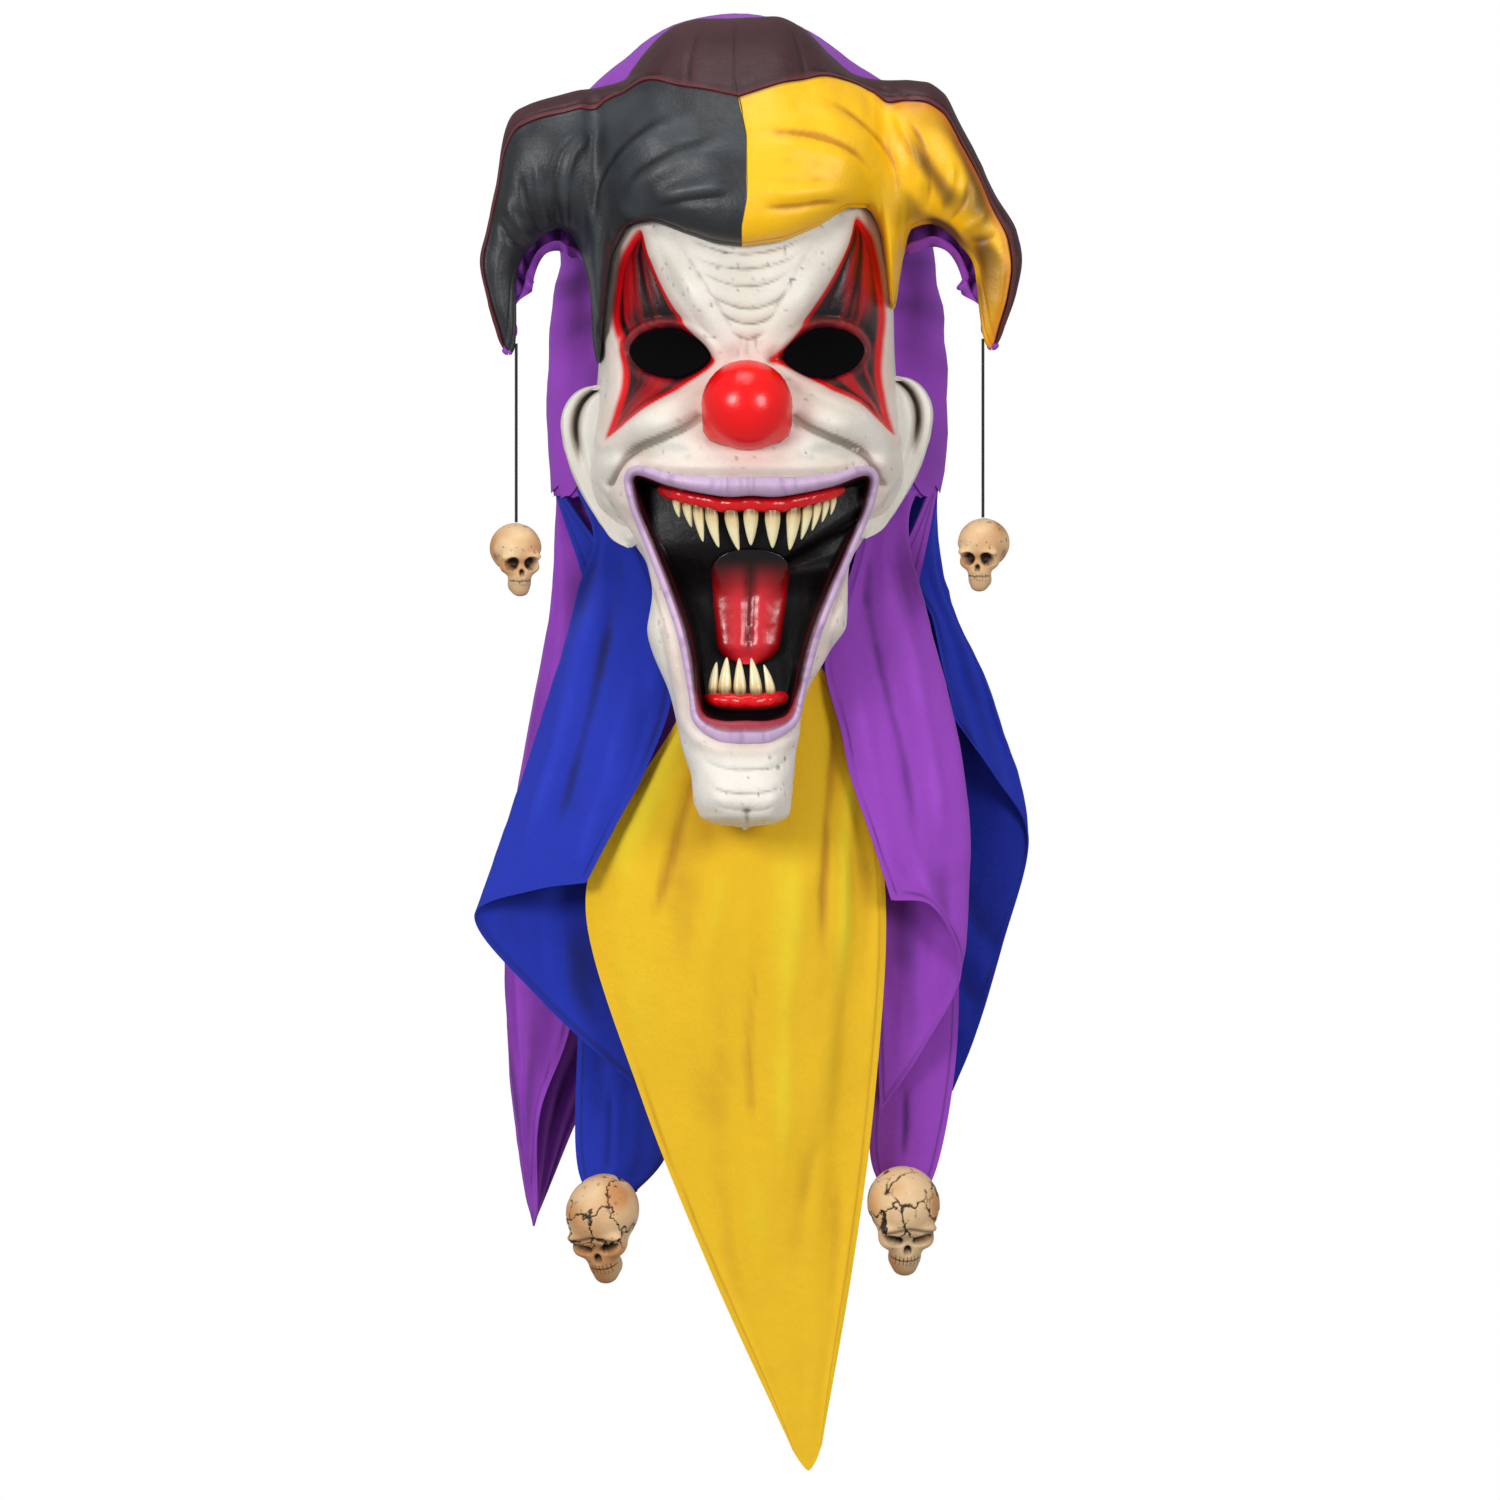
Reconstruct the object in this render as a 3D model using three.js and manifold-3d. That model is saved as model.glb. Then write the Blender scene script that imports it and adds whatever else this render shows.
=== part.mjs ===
// A jester mask: a latex face with a wide open mouth under a two-horned cap, a cloth hood behind,
// cloth points hanging from the hood's hem, and resin skulls for bells.
// Millimetres, +Z up. The face looks along -Y. The origin is where the top of the wearer's head sits.
import * as THREE from "three";
import { mergeVertices } from "three/addons/utils/BufferGeometryUtils.js";
import Module from "manifold-3d";

const wasm = await Module();
wasm.setup();

// Driving sizes
const SEAM_GAP = 0.45;
const TRIM = 0.25;
const FACE_HALF = 96;
const FACE_DROP = 422;
const FACE_FRONT = 112;
const FACE_WALL = 2.5;
const FACE_TOP_DROP = 20;
const EYE_SPREAD = 50;
const EYE_DROP = 115;
const EYE_HALF = 26;
const EYE_TALL = 16;
const EYE_MESH_WALL = 1.2;
const NOSE_RADIUS = 27.5;
const NOSE_DROP = 149;
const EAR_REACH = 20;
const EAR_TALL = 27;
const EAR_DEEP = 16;
const EAR_DROP = 164;
const EAR_BACK = 14;
const MOUTH_HALF = 76;
const MOUTH_SHIFT = 3;
const MOUTH_SWAY = 4;
const MOUTH_DROP = 195;
const MOUTH_TALL = 158;
const MOUTH_CORNER_DEPTH = 0.26;
const MOUTH_WALL = 1.6;
const LINING_TUCK = 0.35;
const LIP_WIDTH = 15;
const LIP_DEPTH = 8;
const GUM_TALL = 9;
const GUM_DEPTH = 10;
const GUM_TUCK = 3.5;
const GUM_SET_UPPER = 17;
const GUM_SET_LOWER = 15;
const TOOTH_LENGTH = 24;
const TOOTH_HALF = 4.2;
const TOOTH_ROOT = 4;
const TONGUE_HALF = 27;
const TONGUE_LENGTH = 74;
const TONGUE_THICK = 9;
const TONGUE_LIFT = 3;
const HAT_HALF = 175;
const HAT_RISE = 104;
const HAT_DEPTH = 115;
const HAT_WALL = 2.2;
const HOOD_HALF = 120;
const HOOD_BACK = 125;
const HOOD_WALL = 1.6;
const HOOD_AXIS_DROP = 50;
const HOOD_HEM_DROP = 205;
const HOOD_LEAN = 8;
const CLOTH_TOP_DROP = 190;
const CLOTH_WALL = 1.2;
const CLOTH_HALF = 180;
const CLOTH_DROP = 657;
const CLOTH_DEPTH = 100;
const JAW_CLEAR = 3.2;
const CORD_DIAMETER = 2;
const CORD_LENGTH = 116;
const CORD_TUCK = 6;
const CORD_CLEAR_LEFT = 0.99;
const CORD_CLEAR_RIGHT = 1.71;
const SMALL_SKULL_TALL = 48;
const LARGE_SKULL_TALL = 68;
const SKULL_TIP = 0.55;

// Latex face, brow to chin. drop: share of FACE_DROP. half, lean: of FACE_HALF.
// front, middle, rear: y of the section's front, widest point and back, of FACE_FRONT.
// wrap: how far round the section the latex goes, in degrees from the front.
const FACE_SECTIONS = [
  { drop: 0.02, half: 0.92, front: -0.96, middle: 0, rear: 0.3, lean: 0, wrap: 94 },
  { drop: 0.12, half: 0.96, front: -0.99, middle: 0, rear: 0.3, lean: 0, wrap: 94 },
  { drop: 0.19, half: 0.99, front: -1.0, middle: 0, rear: 0.3, lean: 0, wrap: 94 },
  { drop: 0.27, half: 1.0, front: -0.98, middle: 0, rear: 0.3, lean: 0, wrap: 94 },
  { drop: 0.335, half: 1.02, front: -1.01, middle: 0, rear: 0.28, lean: 0, wrap: 94 },
  { drop: 0.42, half: 1.05, front: -1.09, middle: 0, rear: 0.25, lean: 0, wrap: 95 },
  { drop: 0.46, half: 1.07, front: -1.14, middle: -0.02, rear: 0.2, lean: 0, wrap: 97 },
  { drop: 0.5, half: 1.02, front: -1.13, middle: -0.06, rear: 0.15, lean: -0.01, wrap: 101 },
  { drop: 0.53, half: 0.89, front: -1.11, middle: -0.2, rear: 0.04, lean: -0.01, wrap: 108 },
  { drop: 0.56, half: 0.78, front: -1.09, middle: -0.4, rear: -0.16, lean: 0, wrap: 122 },
  { drop: 0.6, half: 0.68, front: -1.08, middle: -0.6, rear: -0.42, lean: 0.01, wrap: 150 },
  { drop: 0.64, half: 0.66, front: -1.08, middle: -0.7, rear: -0.54, lean: 0.02, wrap: 179.4 },
  { drop: 0.69, half: 0.67, front: -1.08, middle: -0.75, rear: -0.56, lean: 0, wrap: 179.4 },
  { drop: 0.73, half: 0.6, front: -1.08, middle: -0.77, rear: -0.56, lean: -0.04, wrap: 179.4 },
  { drop: 0.8, half: 0.455, front: -1.08, middle: -0.79, rear: -0.57, lean: -0.06, wrap: 179.2 },
  { drop: 0.88, half: 0.385, front: -1.08, middle: -0.82, rear: -0.6, lean: -0.05, wrap: 179 },
  { drop: 0.925, half: 0.345, front: -1.11, middle: -0.85, rear: -0.64, lean: -0.03, wrap: 179 },
  { drop: 0.96, half: 0.33, front: -1.14, middle: -0.88, rear: -0.7, lean: -0.03, wrap: 179 },
  { drop: 0.982, half: 0.3, front: -1.12, middle: -0.9, rear: -0.74, lean: -0.02, wrap: 179 },
  { drop: 0.994, half: 0.21, front: -1.05, middle: -0.91, rear: -0.8, lean: -0.02, wrap: 179 },
  { drop: 1.0, half: 0.04, front: -0.95, middle: -0.92, rear: -0.89, lean: -0.02, wrap: 179 },
];
const SECTION_POWER = 2.3;
const FACE_ROW = 0.06;

// Swells and hollows of the face, mirrored on both sides. out, wide: of FACE_HALF.
// drop, tall: of FACE_DROP. rise: of FACE_FRONT, below zero where it sinks in.
const FACE_SWELLS = [
  { name: "eye socket", out: 0.52, drop: 0.265, wide: 0.34, tall: 0.06, rise: -0.13 },
  { name: "painted hollow over the eye", out: 0.62, drop: 0.18, wide: 0.16, tall: 0.07, rise: -0.06 },
  { name: "brow ridge", out: 0.32, drop: 0.19, wide: 0.16, tall: 0.08, rise: 0.04 },
  { name: "cheek", out: 0.62, drop: 0.375, wide: 0.3, tall: 0.04, rise: 0.09 },
  { name: "cheek knob", out: 0.95, drop: 0.44, wide: 0.2, tall: 0.03, rise: 0.06 },
  { name: "fold beside the mouth", out: 0.62, drop: 0.425, wide: 0.22, tall: 0.014, rise: -0.06 },
  { name: "muzzle", out: 0.25, drop: 0.43, wide: 0.4, tall: 0.03, rise: 0.05 },
  { name: "jaw knob", out: 0.66, drop: 0.69, wide: 0.1, tall: 0.03, rise: 0.03 },
  { name: "chin lobe", out: 0.15, drop: 0.95, wide: 0.14, tall: 0.03, rise: 0.05 },
];

// Mouth opening, its right half from the middle of the top lip to the middle of the bottom lip.
// out: share of MOUTH_HALF. down: share of MOUTH_TALL below the corners. lip: share of LIP_WIDTH.
const MOUTH_OUTLINE = [
  { out: 0.0, down: 0.08, lip: 0.9 },
  { out: 0.19, down: 0.085, lip: 0.95 },
  { out: 0.42, down: 0.07, lip: 0.8 },
  { out: 0.7, down: 0.04, lip: 0.6 },
  { out: 0.99, down: 0.0, lip: 0.45 },
  { out: 0.965, down: 0.09, lip: 0.46 },
  { out: 0.79, down: 0.29, lip: 0.52 },
  { out: 0.64, down: 0.465, lip: 0.54 },
  { out: 0.51, down: 0.64, lip: 0.54 },
  { out: 0.445, down: 0.78, lip: 0.52 },
  { out: 0.41, down: 0.9, lip: 0.42 },
  { out: 0.35, down: 0.975, lip: 0.6 },
  { out: 0.2, down: 1.0, lip: 0.92 },
  { out: 0.0, down: 1.0, lip: 1.0 },
];

// The mouth's back wall. down: of MOUTH_TALL. y: of FACE_FRONT. Shallow before the wearer's chin, deep below it.
const MOUTH_BACK = [
  { down: 0, y: -0.84 },
  { down: 0.26, y: -0.82 },
  { down: 0.5, y: -0.66 },
  { down: 0.75, y: -0.67 },
  { down: 1, y: -0.8 },
];

// Teeth. at: share of MOUTH_HALF from the middle. long, wide: shares of TOOTH_LENGTH and TOOTH_HALF.
// lean: how far the tip swings sideways, as a share of its length.
const UPPER_TEETH = [
  { at: -0.64, long: 0.42, wide: 0.6, lean: 0.18 },
  { at: -0.55, long: 0.62, wide: 0.75, lean: 0.2 },
  { at: -0.455, long: 0.95, wide: 0.85, lean: 0.14 },
  { at: -0.345, long: 1.04, wide: 1.0, lean: 0.2 },
  { at: -0.175, long: 1.06, wide: 1.05, lean: 0.2 },
  { at: -0.005, long: 0.96, wide: 1.1, lean: 0 },
  { at: 0.18, long: 1.0, wide: 1.1, lean: 0 },
  { at: 0.36, long: 1.12, wide: 1.0, lean: -0.1 },
  { at: 0.475, long: 0.9, wide: 0.8, lean: -0.18 },
  { at: 0.56, long: 0.72, wide: 0.7, lean: -0.2 },
  { at: 0.635, long: 0.55, wide: 0.6, lean: -0.2 },
  { at: 0.7, long: 0.4, wide: 0.5, lean: -0.2 },
];
const LOWER_TEETH = [
  { at: -0.285, long: 0.82, wide: 0.75, lean: 0.12 },
  { at: -0.185, long: 0.98, wide: 0.95, lean: 0.06 },
  { at: -0.055, long: 0.98, wide: 0.95, lean: -0.02 },
  { at: 0.085, long: 0.98, wide: 0.95, lean: -0.14 },
  { at: 0.21, long: 0.78, wide: 0.75, lean: -0.25 },
];

// Cap stations from the middle to a horn's tip. Lengths out: of HAT_HALF, up: of HAT_RISE, y and deep: of HAT_DEPTH.
// The crown edge is on top or outside, the brim edge below or inside. seam: where the crown colour ends, from crown to brim.
const CHARCOAL_STATIONS = [
  { crownOut: 0.044, crownUp: 0.99, crownY: -0.26, brimOut: 0.02, brimUp: -0.44, brimY: -1.0, deep: 0.45, seam: 0.35 },
  { crownOut: 0.14, crownUp: 0.99, crownY: -0.26, brimOut: 0.11, brimUp: -0.42, brimY: -1.0, deep: 0.44, seam: 0.33 },
  { crownOut: 0.26, crownUp: 0.95, crownY: -0.26, brimOut: 0.22, brimUp: -0.36, brimY: -0.95, deep: 0.43, seam: 0.3 },
  { crownOut: 0.38, crownUp: 0.77, crownY: -0.28, brimOut: 0.36, brimUp: -0.28, brimY: -0.84, deep: 0.4, seam: 0.17 },
  { crownOut: 0.46, crownUp: 0.6, crownY: -0.31, brimOut: 0.44, brimUp: -0.32, brimY: -0.65, deep: 0.4, seam: 0.09 },
  { crownOut: 0.52, crownUp: 0.57, crownY: -0.35, brimOut: 0.5, brimUp: -0.52, brimY: -0.4, deep: 0.42, seam: 0.09 },
  { crownOut: 0.57, crownUp: 0.55, crownY: -0.39, brimOut: 0.55, brimUp: -1.16, brimY: -0.1, deep: 0.4, seam: 0.08 },
  { name: "armpit", crownOut: 0.62, crownUp: 0.54, crownY: -0.42, brimOut: 0.6, brimUp: -0.55, brimY: -0.3, deep: 0.36, seam: 0.11 },
  { crownOut: 0.69, crownUp: 0.51, crownY: -0.44, brimOut: 0.655, brimUp: -0.34, brimY: -0.42, deep: 0.33, seam: 0.14 },
  { crownOut: 0.8, crownUp: 0.455, crownY: -0.45, brimOut: 0.7, brimUp: -0.32, brimY: -0.45, deep: 0.3, seam: 0.14 },
  { crownOut: 0.87, crownUp: 0.38, crownY: -0.45, brimOut: 0.755, brimUp: -0.36, brimY: -0.45, deep: 0.27, seam: 0.13 },
  { crownOut: 0.905, crownUp: 0.22, crownY: -0.45, brimOut: 0.8, brimUp: -0.43, brimY: -0.45, deep: 0.24, seam: 0.11 },
  { crownOut: 0.93, crownUp: -0.05, crownY: -0.46, brimOut: 0.83, brimUp: -0.49, brimY: -0.46, deep: 0.2, seam: 0.1 },
  { crownOut: 0.965, crownUp: -0.33, crownY: -0.48, brimOut: 0.85, brimUp: -0.57, brimY: -0.48, deep: 0.15, seam: 0.1 },
  { crownOut: 0.99, crownUp: -0.53, crownY: -0.5, brimOut: 0.857, brimUp: -0.67, brimY: -0.5, deep: 0.12, seam: 0.12 },
  { crownOut: 0.967, crownUp: -0.74, crownY: -0.52, brimOut: 0.858, brimUp: -0.8, brimY: -0.52, deep: 0.09, seam: 0.14 },
  { crownOut: 0.93, crownUp: -0.95, crownY: -0.53, brimOut: 0.858, brimUp: -0.96, brimY: -0.53, deep: 0.06, seam: 0.18 },
  { crownOut: 0.9, crownUp: -1.1, crownY: -0.53, brimOut: 0.866, brimUp: -1.1, brimY: -0.53, deep: 0.03, seam: 0.2 },
];
const YELLOW_STATIONS = [
  { crownOut: -0.044, crownUp: 0.99, crownY: -0.26, brimOut: -0.02, brimUp: -0.44, brimY: -1.0, deep: 0.45, seam: 0.35 },
  { crownOut: 0.1, crownUp: 1.0, crownY: -0.26, brimOut: 0.11, brimUp: -0.41, brimY: -1.0, deep: 0.44, seam: 0.31 },
  { crownOut: 0.2, crownUp: 0.94, crownY: -0.26, brimOut: 0.25, brimUp: -0.32, brimY: -0.95, deep: 0.43, seam: 0.27 },
  { crownOut: 0.31, crownUp: 0.76, crownY: -0.28, brimOut: 0.38, brimUp: -0.2, brimY: -0.84, deep: 0.4, seam: 0.15 },
  { crownOut: 0.4, crownUp: 0.64, crownY: -0.31, brimOut: 0.44, brimUp: -0.19, brimY: -0.68, deep: 0.4, seam: 0.08 },
  { crownOut: 0.46, crownUp: 0.61, crownY: -0.35, brimOut: 0.5, brimUp: -0.34, brimY: -0.45, deep: 0.42, seam: 0.09 },
  { crownOut: 0.52, crownUp: 0.6, crownY: -0.39, brimOut: 0.54, brimUp: -0.82, brimY: -0.2, deep: 0.4, seam: 0.1 },
  { name: "armpit", crownOut: 0.58, crownUp: 0.6, crownY: -0.42, brimOut: 0.575, brimUp: -0.5, brimY: -0.36, deep: 0.36, seam: 0.12 },
  { crownOut: 0.66, crownUp: 0.59, crownY: -0.44, brimOut: 0.61, brimUp: -0.32, brimY: -0.44, deep: 0.33, seam: 0.14 },
  { crownOut: 0.73, crownUp: 0.52, crownY: -0.45, brimOut: 0.68, brimUp: -0.29, brimY: -0.45, deep: 0.3, seam: 0.15 },
  { crownOut: 0.8, crownUp: 0.29, crownY: -0.45, brimOut: 0.745, brimUp: -0.34, brimY: -0.45, deep: 0.27, seam: 0.14 },
  { crownOut: 0.86, crownUp: 0.1, crownY: -0.45, brimOut: 0.8, brimUp: -0.43, brimY: -0.45, deep: 0.24, seam: 0.15 },
  { crownOut: 0.92, crownUp: -0.11, crownY: -0.46, brimOut: 0.835, brimUp: -0.51, brimY: -0.46, deep: 0.2, seam: 0.18 },
  { crownOut: 1.0, crownUp: -0.34, crownY: -0.48, brimOut: 0.85, brimUp: -0.59, brimY: -0.48, deep: 0.15, seam: 0.22 },
  { crownOut: 1.02, crownUp: -0.52, crownY: -0.5, brimOut: 0.858, brimUp: -0.69, brimY: -0.5, deep: 0.12, seam: 0.24 },
  { crownOut: 1.0, crownUp: -0.72, crownY: -0.52, brimOut: 0.866, brimUp: -0.81, brimY: -0.52, deep: 0.09, seam: 0.24 },
  { crownOut: 0.96, crownUp: -0.92, crownY: -0.53, brimOut: 0.874, brimUp: -0.95, brimY: -0.53, deep: 0.06, seam: 0.26 },
  { crownOut: 0.925, crownUp: -1.07, crownY: -0.53, brimOut: 0.89, brimUp: -1.07, brimY: -0.53, deep: 0.03, seam: 0.28 },
];

// Hood about the line along Y through its middle. turn: degrees from the top. swell: of HOOD_HALF.
// rim, rimY: the front edge's radius, of HOOD_HALF, and its y, of HOOD_BACK. From HOOD_SEWN_TURN down
// the edge is sewn along the back edge of the face instead.
const HOOD_SECTIONS = [
  { turn: 0, rim: 1.26, swell: 1.3, rimY: -0.22 },
  { turn: 17, rim: 1.22, swell: 1.27, rimY: -0.21 },
  { turn: 30, rim: 1.1, swell: 1.22, rimY: -0.18 },
  { turn: 45, rim: 0.97, swell: 1.2, rimY: -0.08 },
  { turn: 62, rim: 0.85, swell: 1.1, rimY: 0.032 },
  { turn: 90, rim: 0.8, swell: 1.0, rimY: 0.032 },
  { turn: 110, rim: 0.8, swell: 1.12, rimY: 0.032 },
  { turn: 125, rim: 1.1, swell: 1.31, rimY: 0.032 },
  { turn: 140, rim: 1.5, swell: 1.63, rimY: 0.032 },
  { turn: 155, rim: 2.0, swell: 2.1, rimY: 0.032 },
  { turn: 180, rim: 2.2, swell: 2.3, rimY: 0.032 },
];
const HOOD_SEWN_TURN = 72;
const HOOD_HEM_TURN = 147;

// Cloth points. Each is a sheet through its rails, from its sewn top edge down to a hem or tip.
// Rail points are [x, down, y]. x: of CLOTH_HALF. down: of CLOTH_DROP below the top. y: of CLOTH_DEPTH.
// A first point is sewn under the hood's hem where its x or y is "hem". A point marked "jaw" has its y
// counted back from the jaw, in shares of JAW_CLEAR.
const CLOTH_POINTS = [
  {
    name: "point_yellow", colour: "yellow", across: 8,
    rails: [
      [[-0.17, 0.13, 0.43, "jaw"], [-0.19, 0.18, 0.97, "jaw"], [-0.24, 0.24, 2.67, "jaw"], [-0.53, 0.37, -0.52], [-0.58, 0.435, -0.52], [-0.38, 0.62, -0.54], [-0.14, 0.785, -0.57], [0.165, 0.968, -0.6]],
      [[-0.08, 0.13, 0.43, "jaw"], [-0.09, 0.18, 0.7, "jaw"], [-0.11, 0.24, 2, "jaw"], [-0.14, 0.37, -0.68], [-0.16, 0.435, -0.72], [-0.08, 0.62, -0.66], [0.0, 0.785, -0.6], [0.195, 0.981, -0.6]],
      [[0.06, 0.13, 0.43, "jaw"], [0.08, 0.18, 0.7, "jaw"], [0.14, 0.24, 1.67, "jaw"], [0.28, 0.37, -0.66], [0.27, 0.435, -0.7], [0.25, 0.62, -0.68], [0.18, 0.785, -0.61], [0.222, 0.988, -0.6]],
      [[0.14, 0.13, 0.57, "jaw"], [0.17, 0.18, 1.23, "jaw"], [0.26, 0.24, 3.33, "jaw"], [0.34, 0.36, -0.57], [0.36, 0.435, -0.58], [0.34, 0.62, -0.57], [0.29, 0.78, -0.58], [0.246, 0.98, -0.6]],
      [[0.2, 0.13, 0.97, "jaw"], [0.24, 0.18, 2.23, "jaw"], [0.36, 0.24, 5, "jaw"], [0.46, 0.335, -0.5], [0.5, 0.435, -0.5], [0.46, 0.62, -0.51], [0.39, 0.77, -0.55], [0.27, 0.962, -0.6]],
    ],
  },
  {
    name: "point_blue_left", colour: "blue", across: 9,
    rails: [
      [[-0.42, 0.03, 0.08], [-0.38, 0.075, -0.12], [-0.31, 0.125, -0.4], [-0.28, 0.165, -0.52], [-0.27, 0.225, -0.62], [-0.37, 0.3, -0.66], [-0.46, 0.345, -0.68], [-0.58, 0.408, -0.68]],
      [[-0.5, 0.03, 0.1], [-0.5, 0.075, -0.04], [-0.53, 0.125, -0.26], [-0.56, 0.165, -0.42], [-0.58, 0.225, -0.52], [-0.62, 0.29, -0.58], [-0.68, 0.35, -0.6], [-0.76, 0.415, -0.6]],
      [["hem", 0, 0.1], [-0.55, 0.075, 0.02], [-0.6, 0.12, -0.08], [-0.64, 0.16, -0.18], [-0.7, 0.21, -0.28], [-0.8, 0.3, -0.36], [-0.88, 0.365, -0.4], [-0.98, 0.44, -0.4]],
      [["hem", 0, 0.16], [-0.52, 0.08, 0.1], [-0.55, 0.14, 0], [-0.58, 0.2, -0.08], [-0.62, 0.28, -0.18], [-0.66, 0.36, -0.24], [-0.7, 0.44, -0.28], [-0.74, 0.525, -0.3]],
      [[-0.5, 0.03, 0.2], [-0.44, 0.09, 0.02], [-0.43, 0.17, -0.12], [-0.42, 0.25, -0.22], [-0.41, 0.35, -0.3], [-0.4, 0.44, -0.33], [-0.38, 0.53, -0.34], [-0.36, 0.62, -0.34]],
    ],
  },
  {
    name: "point_blue_tail", colour: "blue", across: 6,
    rails: [
      [["hem", 0, 0.4], [-0.56, 0.15, 0.2], [-0.6, 0.35, 0.04], [-0.61, 0.55, -0.06], [-0.61, 0.69, -0.12], [-0.56, 0.725, -0.14]],
      [["hem", 0, 0.34], [-0.48, 0.15, 0.14], [-0.5, 0.35, -0.04], [-0.47, 0.55, -0.14], [-0.46, 0.69, -0.18], [-0.5, 0.735, -0.17]],
      [["hem", 0, 0.28], [-0.38, 0.15, 0.1], [-0.38, 0.35, -0.08], [-0.33, 0.55, -0.14], [-0.28, 0.67, -0.14], [-0.44, 0.725, -0.14]],
    ],
  },
  {
    name: "point_purple_left", colour: "purple", across: 12,
    rails: [
      [["hem", 0, 0.44], [-0.6, 0.16, 0.2], [-0.64, 0.37, 0.16], [-0.635, 0.545, 0.12], [-0.75, 0.64, 0.1], [-0.76, 0.738, 0.04]],
      [["hem", 0, 0.52], [-0.68, 0.15, 0.26], [-0.8, 0.36, 0.22], [-0.84, 0.5, 0.18], [-0.81, 0.62, 0.15], [-0.766, 0.744, 0.09]],
      [["hem", 0, 0.6], [-0.72, 0.15, 0.38], [-0.85, 0.36, 0.34], [-0.865, 0.53, 0.3], [-0.83, 0.65, 0.22], [-0.77, 0.748, 0.14]],
      [[-0.52, 0, "hem"], [-0.5, 0.17, 0.74], [-0.56, 0.35, 0.7], [-0.62, 0.48, 0.6], [-0.76, 0.64, 0.36], [-0.77, 0.748, 0.19]],
      [[-0.27, 0, "hem"], [-0.28, 0.17, 0.96], [-0.34, 0.33, 0.9], [-0.42, 0.46, 0.78], [-0.66, 0.62, 0.48], [-0.766, 0.744, 0.24]],
      [[-0.015, 0, "hem"], [-0.02, 0.17, 1.02], [-0.06, 0.32, 0.98], [-0.18, 0.44, 0.86], [-0.54, 0.6, 0.56], [-0.76, 0.738, 0.29]],
    ],
  },
  {
    name: "point_purple_right", colour: "purple", across: 9,
    rails: [
      [[0.42, 0.03, 0.08], [0.4, 0.075, -0.12], [0.34, 0.13, -0.42], [0.28, 0.19, -0.58], [0.34, 0.26, -0.62], [0.37, 0.3, -0.64], [0.45, 0.365, -0.68], [0.52, 0.425, -0.68]],
      [[0.49, 0.03, 0.1], [0.49, 0.075, -0.04], [0.5, 0.14, -0.28], [0.52, 0.2, -0.44], [0.54, 0.27, -0.54], [0.58, 0.335, -0.6], [0.62, 0.39, -0.62], [0.66, 0.43, -0.62]],
      [["hem", 0, 0.1], [0.58, 0.08, 0.02], [0.64, 0.14, -0.08], [0.7, 0.2, -0.18], [0.76, 0.27, -0.28], [0.8, 0.37, -0.38], [0.79, 0.44, -0.4], [0.77, 0.495, -0.4]],
      [["hem", 0, 0.16], [0.53, 0.08, 0.1], [0.57, 0.16, 0], [0.61, 0.24, -0.1], [0.64, 0.32, -0.18], [0.66, 0.4, -0.24], [0.66, 0.49, -0.28], [0.64, 0.57, -0.28]],
      [[0.5, 0.03, 0.2], [0.45, 0.09, 0.02], [0.46, 0.18, -0.12], [0.46, 0.27, -0.22], [0.46, 0.36, -0.3], [0.46, 0.45, -0.33], [0.47, 0.55, -0.33], [0.48, 0.635, -0.31]],
    ],
  },
  {
    name: "point_purple_tail", colour: "purple", across: 6,
    rails: [
      [["hem", 0, 0.26], [0.4, 0.2, 0.1], [0.44, 0.4, -0.08], [0.46, 0.57, -0.14], [0.45, 0.685, -0.14], [0.52, 0.725, -0.14]],
      [["hem", 0, 0.31], [0.5, 0.2, 0.12], [0.58, 0.4, -0.04], [0.6, 0.57, -0.14], [0.58, 0.69, -0.18], [0.575, 0.735, -0.17]],
      [["hem", 0, 0.36], [0.59, 0.2, 0.14], [0.74, 0.4, 0.04], [0.76, 0.56, -0.06], [0.69, 0.685, -0.12], [0.63, 0.725, -0.14]],
    ],
  },
  {
    name: "point_blue_right", colour: "blue", across: 12,
    rails: [
      [["hem", 0, 0.46], [0.63, 0.09, 0.36], [0.68, 0.16, 0.28], [0.71, 0.2, 0.22], [0.73, 0.22, 0.2], [0.745, 0.245, 0.18]],
      [["hem", 0, 0.52], [0.67, 0.1, 0.42], [0.77, 0.18, 0.32], [0.82, 0.23, 0.28], [0.86, 0.265, 0.24], [0.9, 0.305, 0.2]],
      [["hem", 0, 0.6], [0.71, 0.11, 0.48], [0.86, 0.21, 0.34], [0.93, 0.27, 0.32], [0.98, 0.31, 0.34], [1.015, 0.36, 0.36]],
      [[0.52, 0, "hem"], [0.54, 0.16, 0.68], [0.64, 0.28, 0.62], [0.74, 0.38, 0.54], [0.83, 0.44, 0.5], [0.92, 0.475, 0.5]],
      [[0.27, 0, "hem"], [0.32, 0.17, 0.92], [0.4, 0.32, 0.86], [0.54, 0.42, 0.74], [0.68, 0.5, 0.62], [0.82, 0.565, 0.56]],
      [[0.015, 0, "hem"], [0.03, 0.17, 1.02], [0.08, 0.32, 0.98], [0.28, 0.44, 0.84], [0.54, 0.54, 0.68], [0.745, 0.615, 0.6]],
    ],
  },
];

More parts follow.
